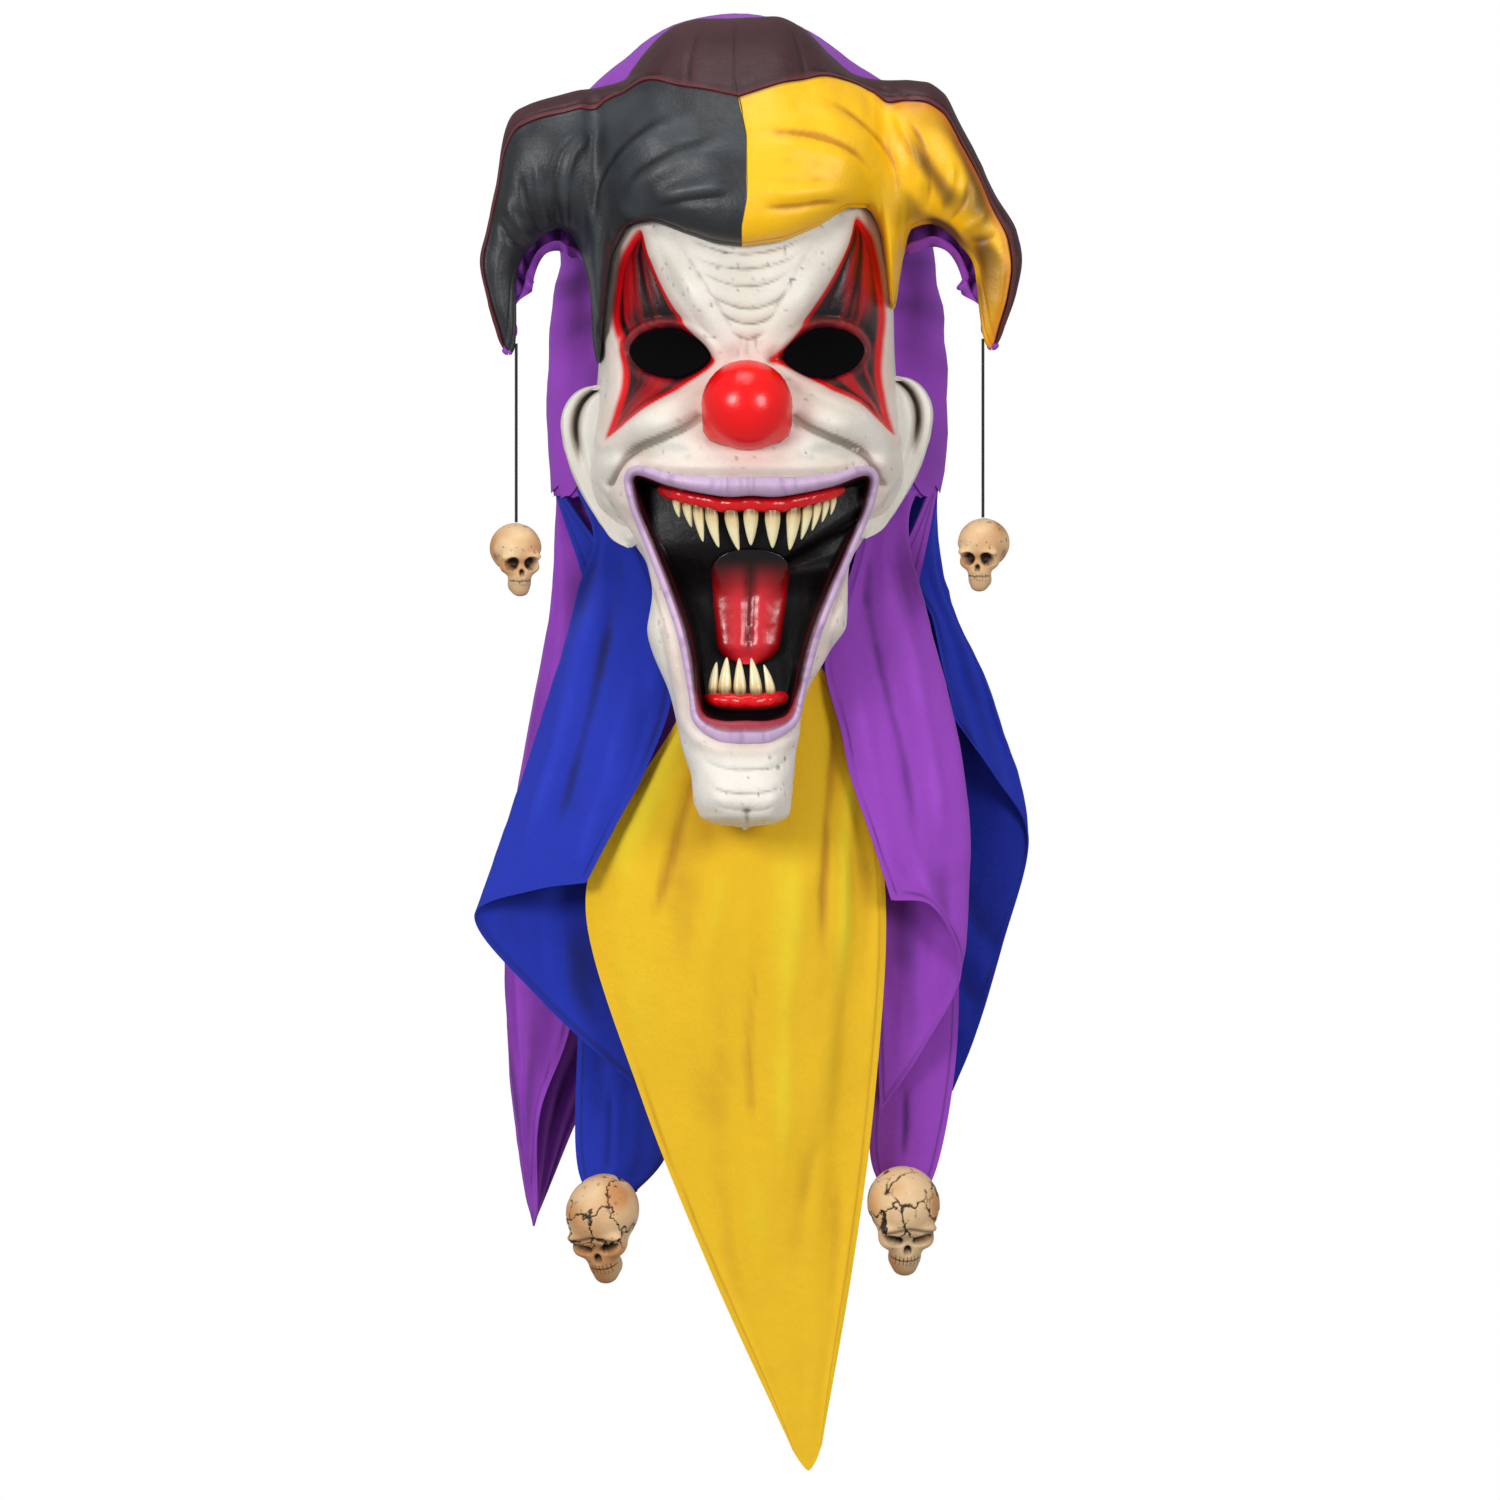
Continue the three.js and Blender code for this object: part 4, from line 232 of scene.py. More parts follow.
# Cloth points: rails of x, down, y. A fourth number ties y to the jaw, and HEM an x or y to the hood's hem.
CLOTH_RAILS = {
    "point_yellow": [
        [(-0.17, 0.13, 0.43, 1), (-0.19, 0.18, 0.97, 1), (-0.24, 0.24, 2.67, 1), (-0.53, 0.37, -0.52),
         (-0.58, 0.435, -0.52), (-0.38, 0.62, -0.54), (-0.14, 0.785, -0.57), (0.165, 0.968, -0.6)],
        [(-0.08, 0.13, 0.43, 1), (-0.09, 0.18, 0.7, 1), (-0.11, 0.24, 2, 1), (-0.14, 0.37, -0.68),
         (-0.16, 0.435, -0.72), (-0.08, 0.62, -0.66), (0.0, 0.785, -0.6), (0.195, 0.981, -0.6)],
        [(0.06, 0.13, 0.43, 1), (0.08, 0.18, 0.7, 1), (0.14, 0.24, 1.67, 1), (0.28, 0.37, -0.66),
         (0.27, 0.435, -0.7), (0.25, 0.62, -0.68), (0.18, 0.785, -0.61), (0.222, 0.988, -0.6)],
        [(0.14, 0.13, 0.57, 1), (0.17, 0.18, 1.23, 1), (0.26, 0.24, 3.33, 1), (0.34, 0.36, -0.57),
         (0.36, 0.435, -0.58), (0.34, 0.62, -0.57), (0.29, 0.78, -0.58), (0.246, 0.98, -0.6)],
        [(0.2, 0.13, 0.97, 1), (0.24, 0.18, 2.23, 1), (0.36, 0.24, 5, 1), (0.46, 0.335, -0.5),
         (0.5, 0.435, -0.5), (0.46, 0.62, -0.51), (0.39, 0.77, -0.55), (0.27, 0.962, -0.6)],
    ],
    "point_blue_left": [
        [(-0.42, 0.03, 0.08), (-0.38, 0.075, -0.12), (-0.31, 0.125, -0.4), (-0.28, 0.165, -0.52),
         (-0.27, 0.225, -0.62), (-0.37, 0.3, -0.66), (-0.46, 0.345, -0.68), (-0.58, 0.408, -0.68)],
        [(-0.5, 0.03, 0.1), (-0.5, 0.075, -0.04), (-0.53, 0.125, -0.26), (-0.56, 0.165, -0.42),
         (-0.58, 0.225, -0.52), (-0.62, 0.29, -0.58), (-0.68, 0.35, -0.6), (-0.76, 0.415, -0.6)],
        [(HEM, 0, 0.1), (-0.55, 0.075, 0.02), (-0.6, 0.12, -0.08), (-0.64, 0.16, -0.18),
         (-0.7, 0.21, -0.28), (-0.8, 0.3, -0.36), (-0.88, 0.365, -0.4), (-0.98, 0.44, -0.4)],
        [(HEM, 0, 0.16), (-0.52, 0.08, 0.1), (-0.55, 0.14, 0), (-0.58, 0.2, -0.08),
         (-0.62, 0.28, -0.18), (-0.66, 0.36, -0.24), (-0.7, 0.44, -0.28), (-0.74, 0.525, -0.3)],
        [(-0.5, 0.03, 0.2), (-0.44, 0.09, 0.02), (-0.43, 0.17, -0.12), (-0.42, 0.25, -0.22),
         (-0.41, 0.35, -0.3), (-0.4, 0.44, -0.33), (-0.38, 0.53, -0.34), (-0.36, 0.62, -0.34)],
    ],
    "point_blue_tail": [
        [(HEM, 0, 0.4), (-0.56, 0.15, 0.2), (-0.6, 0.35, 0.04), (-0.61, 0.55, -0.06),
         (-0.61, 0.69, -0.12), (-0.56, 0.725, -0.14)],
        [(HEM, 0, 0.34), (-0.48, 0.15, 0.14), (-0.5, 0.35, -0.04), (-0.47, 0.55, -0.14),
         (-0.46, 0.69, -0.18), (-0.5, 0.735, -0.17)],
        [(HEM, 0, 0.28), (-0.38, 0.15, 0.1), (-0.38, 0.35, -0.08), (-0.33, 0.55, -0.14),
         (-0.28, 0.67, -0.14), (-0.44, 0.725, -0.14)],
    ],
    "point_purple_left": [
        [(HEM, 0, 0.44), (-0.6, 0.16, 0.2), (-0.64, 0.37, 0.16), (-0.635, 0.545, 0.12),
         (-0.75, 0.64, 0.1), (-0.76, 0.738, 0.04)],
        [(HEM, 0, 0.52), (-0.68, 0.15, 0.26), (-0.8, 0.36, 0.22), (-0.84, 0.5, 0.18),
         (-0.81, 0.62, 0.15), (-0.766, 0.744, 0.09)],
        [(HEM, 0, 0.6), (-0.72, 0.15, 0.38), (-0.85, 0.36, 0.34), (-0.865, 0.53, 0.3),
         (-0.83, 0.65, 0.22), (-0.77, 0.748, 0.14)],
        [(-0.52, 0, HEM), (-0.5, 0.17, 0.74), (-0.56, 0.35, 0.7), (-0.62, 0.48, 0.6),
         (-0.76, 0.64, 0.36), (-0.77, 0.748, 0.19)],
        [(-0.27, 0, HEM), (-0.28, 0.17, 0.96), (-0.34, 0.33, 0.9), (-0.42, 0.46, 0.78),
         (-0.66, 0.62, 0.48), (-0.766, 0.744, 0.24)],
        [(-0.015, 0, HEM), (-0.02, 0.17, 1.02), (-0.06, 0.32, 0.98), (-0.18, 0.44, 0.86),
         (-0.54, 0.6, 0.56), (-0.76, 0.738, 0.29)],
    ],
    "point_purple_right": [
        [(0.42, 0.03, 0.08), (0.4, 0.075, -0.12), (0.34, 0.13, -0.42), (0.28, 0.19, -0.58),
         (0.34, 0.26, -0.62), (0.37, 0.3, -0.64), (0.45, 0.365, -0.68), (0.52, 0.425, -0.68)],
        [(0.49, 0.03, 0.1), (0.49, 0.075, -0.04), (0.5, 0.14, -0.28), (0.52, 0.2, -0.44),
         (0.54, 0.27, -0.54), (0.58, 0.335, -0.6), (0.62, 0.39, -0.62), (0.66, 0.43, -0.62)],
        [(HEM, 0, 0.1), (0.58, 0.08, 0.02), (0.64, 0.14, -0.08), (0.7, 0.2, -0.18),
         (0.76, 0.27, -0.28), (0.8, 0.37, -0.38), (0.79, 0.44, -0.4), (0.77, 0.495, -0.4)],
        [(HEM, 0, 0.16), (0.53, 0.08, 0.1), (0.57, 0.16, 0), (0.61, 0.24, -0.1),
         (0.64, 0.32, -0.18), (0.66, 0.4, -0.24), (0.66, 0.49, -0.28), (0.64, 0.57, -0.28)],
        [(0.5, 0.03, 0.2), (0.45, 0.09, 0.02), (0.46, 0.18, -0.12), (0.46, 0.27, -0.22),
         (0.46, 0.36, -0.3), (0.46, 0.45, -0.33), (0.47, 0.55, -0.33), (0.48, 0.635, -0.31)],
    ],
    "point_purple_tail": [
        [(HEM, 0, 0.26), (0.4, 0.2, 0.1), (0.44, 0.4, -0.08), (0.46, 0.57, -0.14),
         (0.45, 0.685, -0.14), (0.52, 0.725, -0.14)],
        [(HEM, 0, 0.31), (0.5, 0.2, 0.12), (0.58, 0.4, -0.04), (0.6, 0.57, -0.14),
         (0.58, 0.69, -0.18), (0.575, 0.735, -0.17)],
        [(HEM, 0, 0.36), (0.59, 0.2, 0.14), (0.74, 0.4, 0.04), (0.76, 0.56, -0.06),
         (0.69, 0.685, -0.12), (0.63, 0.725, -0.14)],
    ],
    "point_blue_right": [
        [(HEM, 0, 0.46), (0.63, 0.09, 0.36), (0.68, 0.16, 0.28), (0.71, 0.2, 0.22),
         (0.73, 0.22, 0.2), (0.745, 0.245, 0.18)],
        [(HEM, 0, 0.52), (0.67, 0.1, 0.42), (0.77, 0.18, 0.32), (0.82, 0.23, 0.28),
         (0.86, 0.265, 0.24), (0.9, 0.305, 0.2)],
        [(HEM, 0, 0.6), (0.71, 0.11, 0.48), (0.86, 0.21, 0.34), (0.93, 0.27, 0.32),
         (0.98, 0.31, 0.34), (1.015, 0.36, 0.36)],
        [(0.52, 0, HEM), (0.54, 0.16, 0.68), (0.64, 0.28, 0.62), (0.74, 0.38, 0.54),
         (0.83, 0.44, 0.5), (0.92, 0.475, 0.5)],
        [(0.27, 0, HEM), (0.32, 0.17, 0.92), (0.4, 0.32, 0.86), (0.54, 0.42, 0.74),
         (0.68, 0.5, 0.62), (0.82, 0.565, 0.56)],
        [(0.015, 0, HEM), (0.03, 0.17, 1.02), (0.08, 0.32, 0.98), (0.28, 0.44, 0.84),
         (0.54, 0.54, 0.68), (0.745, 0.615, 0.6)],
    ],
}


def paint(red, green, blue):
    """A colour as seen on a screen, in linear light."""
    return np.array([((c + 0.055) / 1.055) ** 2.4 if c > 0.04 else c / 12.92 for c in (red, green, blue)])


def smooth(edge0, edge1, value):
    share = np.clip((value - edge0) / (edge1 - edge0), 0, 1)
    return share * share * (3 - 2 * share)


def mixed(base, other, share):
    """Two colours mixed by a share for each point."""
    share = np.asarray(share)[..., None]
    return base * (1 - share) + other * share


def hump(value, centre, width):
    """A soft ridge of height 1 where a value passes its centre."""
    return np.exp(-(((value - centre) / width) ** 2))


def stacked(*parts):
    """Points or other rows of numbers from their parts, each spread to the full shape."""
    return np.stack(np.broadcast_arrays(*parts), axis=-1)


def side_name(side):
    return "left" if side < 0 else "right"


def columns(table, at):
    """Every column of a table at values of its first one, along smooth curves that don't overshoot."""
    keys = table[:, 0]
    at = np.clip(at, keys[0], keys[-1])
    place = np.clip(np.searchsorted(keys, at, side="right") - 1, 0, len(keys) - 2)
    step = np.diff(keys)
    share = (at - keys[place]) / step[place]
    found = []
    for column in table.T[1:]:
        rate = np.diff(column) / step
        before, after = rate[:-1], rate[1:]
        same = before * after > 0
        slope = np.zeros(len(keys))
        slope[1:-1] = np.where(same, 2 * before * after / np.where(same, before + after, 1), 0)
        found.append(
            column[place] * (2 * share**3 - 3 * share**2 + 1)
            + slope[place] * step[place] * (share**3 - 2 * share**2 + share)
            + column[place + 1] * (3 * share**2 - 2 * share**3)
            + slope[place + 1] * step[place] * (share**3 - share**2)
        )
    return found


def span_time(a, b):
    return np.maximum(np.linalg.norm(b - a, axis=-1, keepdims=True) ** 0.5, 1e-4)


def rail(points, at, closed=False):
    """A centripetal curve through points, at shares of its spans. Points may be rows of points."""
    points = np.asarray(points, float)
    count = len(points)
    spans = count if closed else count - 1
    at = np.asarray(at, float) * spans
    place = np.floor(at).astype(int)
    if not closed:
        place = np.clip(place, 0, spans - 1)
    share = (at - place).reshape((-1,) + (1,) * (points.ndim - 1))
    if closed:
        p0, p1, p2, p3 = [points[(place + k) % count] for k in (-1, 0, 1, 2)]
    else:
        longer = np.concatenate([[2 * points[0] - points[1]], points, [2 * points[-1] - points[-2]]])
        p0, p1, p2, p3 = [longer[place + k] for k in (0, 1, 2, 3)]
    d0, d1, d2 = span_time(p0, p1), span_time(p1, p2), span_time(p2, p3)
    t1 = ((p1 - p0) / d0 - (p2 - p0) / (d0 + d1) + (p2 - p1) / d1) * d1
    t2 = ((p2 - p1) / d1 - (p3 - p1) / (d1 + d2) + (p3 - p2) / d2) * d1
    bend2 = -3 * p1 + 3 * p2 - 2 * t1 - t2
    bend3 = 2 * p1 - 2 * p2 + t1 + t2
    return p1 + t1 * share + bend2 * share**2 + bend3 * share**3


HASH_PRIMES = (73856093, 19349663, 83492791)


def noise(p, size, seed=0):
    """Smooth noise from -1 to 1 at points, with lumps of a size in millimetres."""
    q = np.asarray(p, float) / size + 100.0 + 17.3 * seed
    cell = np.floor(q).astype(np.int64)
    f = q - cell
    f = f * f * (3 - 2 * f)
    total = 0
    for corner in itertools.product((0, 1), repeat=3):
        x, y, z = [(cell[..., k] + corner[k]) * HASH_PRIMES[k] for k in range(3)]
        n = x ^ y ^ z
        n = (n ^ (n >> 13)) * 1274126177 & 0x7FFFFFFF
        n = (n ^ (n >> 15)) * 668265263 & 0x7FFFFFFF
        weight = 1
        for k, far in enumerate(corner):
            weight = weight * (f[..., k] if far else 1 - f[..., k])
        total = total + weight * ((n >> 7) % 10007 / 5003.0 - 1)
    return total


def photo(points):
    """Front-view places, from pixels of a picture 1500 wide to millimetres."""
    points = np.asarray(points, float)
    return np.stack([(points[:, 0] - PHOTO_MIDDLE) * PIXEL, (PHOTO_ORIGIN - points[:, 1]) * PIXEL], axis=1)


def to_line(x, z, line):
    """Distance to a line of points, and how far along it the nearest place lies, from 0 to 1."""
    best = np.full(np.shape(x), 1e9)
    along = np.zeros(np.shape(x))
    lengths = np.linalg.norm(np.diff(line, axis=0), axis=1)
    starts = np.concatenate([[0], np.cumsum(lengths)])
    for k, (a, b) in enumerate(zip(line[:-1], line[1:])):
        d = b - a
        share = np.clip(((x - a[0]) * d[0] + (z - a[1]) * d[1]) / max(d @ d, 1e-9), 0, 1)
        away = np.hypot(x - a[0] - share * d[0], z - a[1] - share * d[1])
        nearer = away < best
        best = np.where(nearer, away, best)
        along = np.where(nearer, (starts[k] + share * lengths[k]) / starts[-1], along)
    return best, along


def stroke(x, z, pixels, width, ends=0.3):
    """A soft ridge of height 1 along a line of picture pixels, thinning out to its ends."""
    away, along = to_line(x, z, rounded(pixels))
    fade = smooth(0, ends, along) * smooth(0, ends, 1 - along) if ends else 1
    return hump(away, 0, width) * fade


def rounded(pixels, steps=5):
    """A line of picture pixels in millimetres, with its corners rounded."""
    line = photo(pixels)
    return rail(line, np.linspace(0, 1, steps * (len(line) - 1) + 1)) if len(line) > 2 else line


def signed(x, z, outline):
    """Distance to a closed outline, below zero inside."""
    outline = np.asarray(outline, float)
    away, _ = to_line(x, z, np.vstack([outline, outline[:1]]))
    within = np.zeros(np.shape(x), bool)
    for a, b in zip(outline, np.roll(outline, -1, axis=0)):
        crosses = (a[1] > z) != (b[1] > z)
        rise = b[1] - a[1] if b[1] != a[1] else 1e-9
        within ^= crosses & (x < (b[0] - a[0]) * (z - a[1]) / rise + a[0])
    return np.where(within, -away, away)


def blurred(field, passes, wrap=False):
    """A field smoothed by its neighbours."""
    for _ in range(passes):
        for axis in (0, 1):
            if wrap and axis == 1:
                field = (np.roll(field, 1, 1) + 2 * field + np.roll(field, -1, 1)) / 4
            else:
                ends = [(1, 1) if k == axis else (0, 0) for k in range(field.ndim)]
                longer = np.pad(field, ends, mode="edge")
                size = field.shape[axis]
                parts = [np.take(longer, range(k, k + size), axis) for k in range(3)]
                field = (parts[0] + 2 * parts[1] + parts[2]) / 4
    return field


def travelled(grid, axis):
    """The way covered along the rows or columns of a grid up to each point, and each step of it."""
    steps = np.linalg.norm(np.diff(grid, axis=axis), axis=-1)
    start = np.zeros_like(np.take(steps, [0], axis))
    return np.concatenate([start, np.cumsum(steps, axis=axis)], axis=axis), steps


def normals_of(grid, round_u=False):
    down = np.gradient(grid, axis=0)
    if round_u:
        across = (np.roll(grid, -1, axis=1) - np.roll(grid, 1, axis=1)) / 2
    else:
        across = np.gradient(grid, axis=1)
    normal = np.cross(down, across)
    length = np.linalg.norm(normal, axis=-1, keepdims=True)
    return normal / np.maximum(length, 1e-9)


def object_of(name, points, faces, tint, nodes, material, marks=None):
    """A piece in metres with a colour on each point, riding on the mask and standing for its nodes."""
    mesh = bpy.data.meshes.new(name)
    mesh.from_pydata((np.asarray(points) * 0.001).tolist(), [], faces)
    mesh.update()
    layer = mesh.attributes.new("tint", "FLOAT_COLOR", "POINT")
    colours = np.ones((len(points), 4))
    colours[:, :3] = np.clip(tint, 0, 1)
    layer.data.foreach_set("color", colours.ravel())
    for key, values in (marks or {}).items():
        mark = mesh.attributes.new(key, "FLOAT", "POINT")
        mark.data.foreach_set("value", np.asarray(values, float).ravel())
    mesh.polygons.foreach_set("use_smooth", [True] * len(mesh.polygons))
    mesh.set_sharp_from_angle(angle=math.radians(50))
    piece = bpy.data.objects.new(name, mesh)
    scene.collection.objects.link(piece)
    mesh.materials.append(material)
    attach(piece, "root")
    if nodes:
        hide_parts(*nodes)
    return piece


def sheet_piece(
    name, grid, tint, nodes, material, wall, keep=None, coarse=1, round_u=False, marks=None
):
    """A thin-walled piece from a grid of points of its outer side: columns run to the right, rows down.

    keep says which quads stay. coarse thins out the grid of the inner side.
    """
    rows, cols = grid.shape[:2]
    normal = normals_of(grid, round_u)
    inner = grid - normal * wall
    spans = cols if round_u else cols - 1
    keep = np.ones((rows - 1, spans), bool) if keep is None else keep
    j, i = np.nonzero(keep)
    right = (i + 1) % cols
    faces = np.stack([j * cols + i, (j + 1) * cols + i, (j + 1) * cols + right, j * cols + right], axis=1)
    edges = np.concatenate([faces[:, [k, (k + 1) % 4]] for k in range(4)])
    key = np.sort(edges, axis=1)
    key = key[:, 0] * (rows * cols) + key[:, 1]
    _, first, count = np.unique(key, return_index=True, return_counts=True)
    border = edges[first[count == 1]]
    pick = np.arange(rows * cols).reshape(rows, cols)
    if coarse == 1:
        again = pick.ravel() + rows * cols
        picked = [pick.ravel(), pick.ravel()]
        back = faces[:, ::-1] + rows * cols
    else:
        used = np.unique(border)
        again = np.full(rows * cols, -1)
        again[used] = np.arange(len(used)) + rows * cols
        thin = pick[::coarse, ::coarse]
        wide = thin.shape[1]
        kept = keep[: (thin.shape[0] - 1) * coarse, : (wide if round_u else wide - 1) * coarse]
        kept = kept.reshape(thin.shape[0] - 1, coarse, -1, coarse).all(axis=(1, 3))
        tj, ti = np.nonzero(kept)
        nxt = (ti + 1) % wide
        base = rows * cols + len(used)
        corners = [(tj, nxt), (tj + 1, nxt), (tj + 1, ti), (tj, ti)]
        back = np.stack([base + r * wide + c for r, c in corners], axis=1)
        picked = [pick.ravel(), used, thin.ravel()]
    strip = np.stack([border[:, 1], border[:, 0], again[border[:, 0]], again[border[:, 1]]], axis=1)
    points = np.concatenate([grid.reshape(-1, 3)] + [inner.reshape(-1, 3)[part] for part in picked[1:]])
    source = np.concatenate(picked)
    quads = np.concatenate([faces, strip, back])
    used = np.unique(quads)
    renumber = np.zeros(len(points), int)
    renumber[used] = np.arange(len(used))
    source = source[used]
    values = {key: value.ravel()[source] for key, value in (marks or {}).items()}
    colours = tint.reshape(-1, 3)[source]
    return object_of(name, points[used], renumber[quads].tolist(), colours, nodes, material, values)


def solid_piece(name, rings, tint, nodes, material, hoop=False):
    """A closed solid through rings of points, capped at its ends unless it is a hoop."""
    count, sides = rings.shape[:2]
    faces = []
    for r in range(count if hoop else count - 1):
        this, following = r * sides, (r + 1) % count * sides
        for s in range(sides):
            beside = (s + 1) % sides
            faces.append((this + s, this + beside, following + beside, following + s))
    if not hoop:
        faces.append(tuple(reversed(range(sides))))
        faces.append(tuple(range((count - 1) * sides, count * sides)))
    points = rings.reshape(-1, 3)
    a, b, c = [points[[face[k] for face in faces]] for k in range(3)]
    volume = np.einsum("ij,ij->i", a, np.cross(b, c)).sum()
    if volume < 0:
        faces = [tuple(reversed(face)) for face in faces]
    return object_of(name, points, faces, tint.reshape(-1, 3), nodes, material)


ROUGH_LUMPS = 300.0


def material(name, rough, grain=(), bump=(), rough_spread=0.0, rough_mark=None, **fixed):
    """A shader that takes its colour from the points' tint.

    grain: scale and strength of each mottling. bump: kind, scale and height in millimetres of each relief.
    """
    made = bpy.data.materials.new(name)
    made.use_nodes = True
    nodes, links = made.node_tree.nodes, made.node_tree.links
    shader = nodes["Principled BSDF"]
    shader.inputs["Metallic"].default_value = 0
    for key, value in fixed.items():
        shader.inputs[key.replace("_", " ")].default_value = value
    place = nodes.new("ShaderNodeTexCoord").outputs["Object"]
    tint = nodes.new("ShaderNodeAttribute")
    tint.attribute_name = "tint"
    colour = tint.outputs["Color"]

    def lumps(scale, detail=3.0, roughness=0.6):
        node = nodes.new("ShaderNodeTexNoise")
        node.inputs["Scale"].default_value = scale
        node.inputs["Detail"].default_value = detail
        node.inputs["Roughness"].default_value = roughness
        links.new(place, node.inputs["Vector"])
        return node.outputs["Fac"]

    def math_node(kind, a, b):
        node = nodes.new("ShaderNodeMath")
        node.operation = kind
        for socket, value in zip(node.inputs, (a, b)):
            if isinstance(value, (int, float)):
                socket.default_value = value
            else:
                links.new(value, socket)
        return node.outputs[0]

    for scale, strength in grain:
        lighter = math_node("MULTIPLY_ADD", lumps(scale), 2 * strength)
        lighter.node.inputs[2].default_value = 1 - strength
        mix = nodes.new("ShaderNodeVectorMath")
        mix.operation = "SCALE"
        links.new(colour, mix.inputs[0])
        links.new(lighter, mix.inputs["Scale"])
        colour = mix.outputs[0]
    links.new(colour, shader.inputs["Base Color"])
    level = rough
    if rough_spread:
        spread = math_node("MULTIPLY_ADD", lumps(ROUGH_LUMPS), 2 * rough_spread)
        spread.node.inputs[2].default_value = rough - rough_spread
        level = spread
    if rough_mark:
        mark = nodes.new("ShaderNodeAttribute")
        mark.attribute_name = rough_mark[0]
        level = math_node("ADD", level, math_node("MULTIPLY", mark.outputs["Fac"], rough_mark[1]))
    if isinstance(level, float):
        shader.inputs["Roughness"].default_value = level
    else:
        links.new(level, shader.inputs["Roughness"])
    normal = None
    for kind, scale, height in bump:
        if kind == "lumps":
            field = lumps(scale, 4.0, 0.65)
        elif kind == "pits":
            cells = nodes.new("ShaderNodeTexVoronoi")
            cells.inputs["Scale"].default_value = scale
            links.new(place, cells.inputs["Vector"])
            field = math_node("MINIMUM", math_node("MULTIPLY", cells.outputs["Distance"], 2.6), 1.0)
        elif kind == "weave":
            wave = []
            for direction in ("X", "Z"):
                node = nodes.new("ShaderNodeTexWave")
                node.bands_direction = direction
                node.inputs["Scale"].default_value = scale
                node.inputs["Distortion"].default_value = 1.2
                node.inputs["Detail"].default_value = 2.0
                links.new(place, node.inputs["Vector"])
                wave.append(node.outputs["Fac"])
            field = math_node("MAXIMUM", wave[0], wave[1])
        else:
            mark = nodes.new("ShaderNodeAttribute")
            mark.attribute_name = kind
            field = mark.outputs["Fac"]
        relief = nodes.new("ShaderNodeBump")
        relief.inputs["Strength"].default_value = 1.0
        relief.inputs["Distance"].default_value = height * 0.001
        links.new(field, relief.inputs["Height"])
        if normal is not None:
            links.new(normal, relief.inputs["Normal"])
        normal = relief.outputs["Normal"]
    if normal is not None:
        links.new(normal, shader.inputs["Normal"])
    return made


LATEX = material(
    "white_latex", 0.46, grain=[(60, 0.05), (420, 0.05)], rough_spread=0.09, rough_mark=("wet", -0.24),
    bump=[("lumps", 900, 0.25), ("pits", 420, 0.12)], Subsurface_Weight=0.06, Subsurface_Scale=0.004,
)
LIP = material("lilac_latex", 0.36, grain=[(300, 0.07)], rough_spread=0.08, bump=[("lumps", 700, 0.3)])
GLOSS_RED = material("red_gloss", 0.24, grain=[(120, 0.06)], rough_spread=0.05, bump=[("lumps", 260, 0.2)])
GLOSS_BLACK = material(
    "black_gloss", 0.42, rough_spread=0.1, bump=[("lumps", 220, 0.4)], Specular_IOR_Level=0.25,
)
MESH = material("black_mesh", 0.9, grain=[(900, 0.2)], bump=[("weave", 900, 0.3)], Specular_IOR_Level=0.05)
IVORY = material(
    "ivory", 0.3, grain=[(500, 0.1)], rough_spread=0.08, bump=[("lumps", 900, 0.15)], Coat_Weight=0.2,
)
CHARCOAL = material("charcoal_latex", 0.44, grain=[(140, 0.1)], rough_spread=0.1, bump=[("lumps", 420, 0.35)])
YELLOW = material("yellow_latex", 0.42, grain=[(120, 0.05)], rough_spread=0.08, bump=[("lumps", 420, 0.3)])
MAROON = material("maroon_latex", 0.5, grain=[(160, 0.12)], rough_spread=0.1, bump=[("lumps", 420, 0.3)])
CLOTHS = {
    colour: material(
        f"{colour}_cloth", 0.72, grain=[(700, 0.06), (30, 0.05)], rough_spread=0.06,
        bump=[("weave", 620, 0.16), ("lumps", 60, 1.0)], Sheen_Weight=0.06, Sheen_Roughness=0.4,
    )
    for colour in ("purple", "blue", "yellow")
}
CORD = material("black_cord", 0.7, grain=[(900, 0.2)], bump=[("lumps", 2500, 0.2)])
BONE = material("bone", 0.45, grain=[(260, 0.09), (900, 0.05)], rough_spread=0.1, bump=[("lumps", 800, 0.25)])

WHITE_TINT = paint(0.92, 0.9, 0.86)
# A warm dark tint, painted as shade in the latex's creases and on its turned-away sides, and as the dark
# specks in its pits.
SHADE_AND_SPECK_TINT = paint(0.4, 0.33, 0.27)
PURPLE_TINT = paint(0.62, 0.26, 0.78)
BLUE_TINT = paint(0.03, 0.17, 0.72)
GOLD_TINT = paint(0.99, 0.79, 0.06)


def flat_tint(grid, colour):
    return np.broadcast_to(colour, grid.shape[:-1] + (3,)).copy()


def layered(tint, *layers):
    """A tint with one colour after another mixed in, each by its share."""
    for share, colour in layers:
        tint = mixed(tint, paint(*colour), share)
    return tint


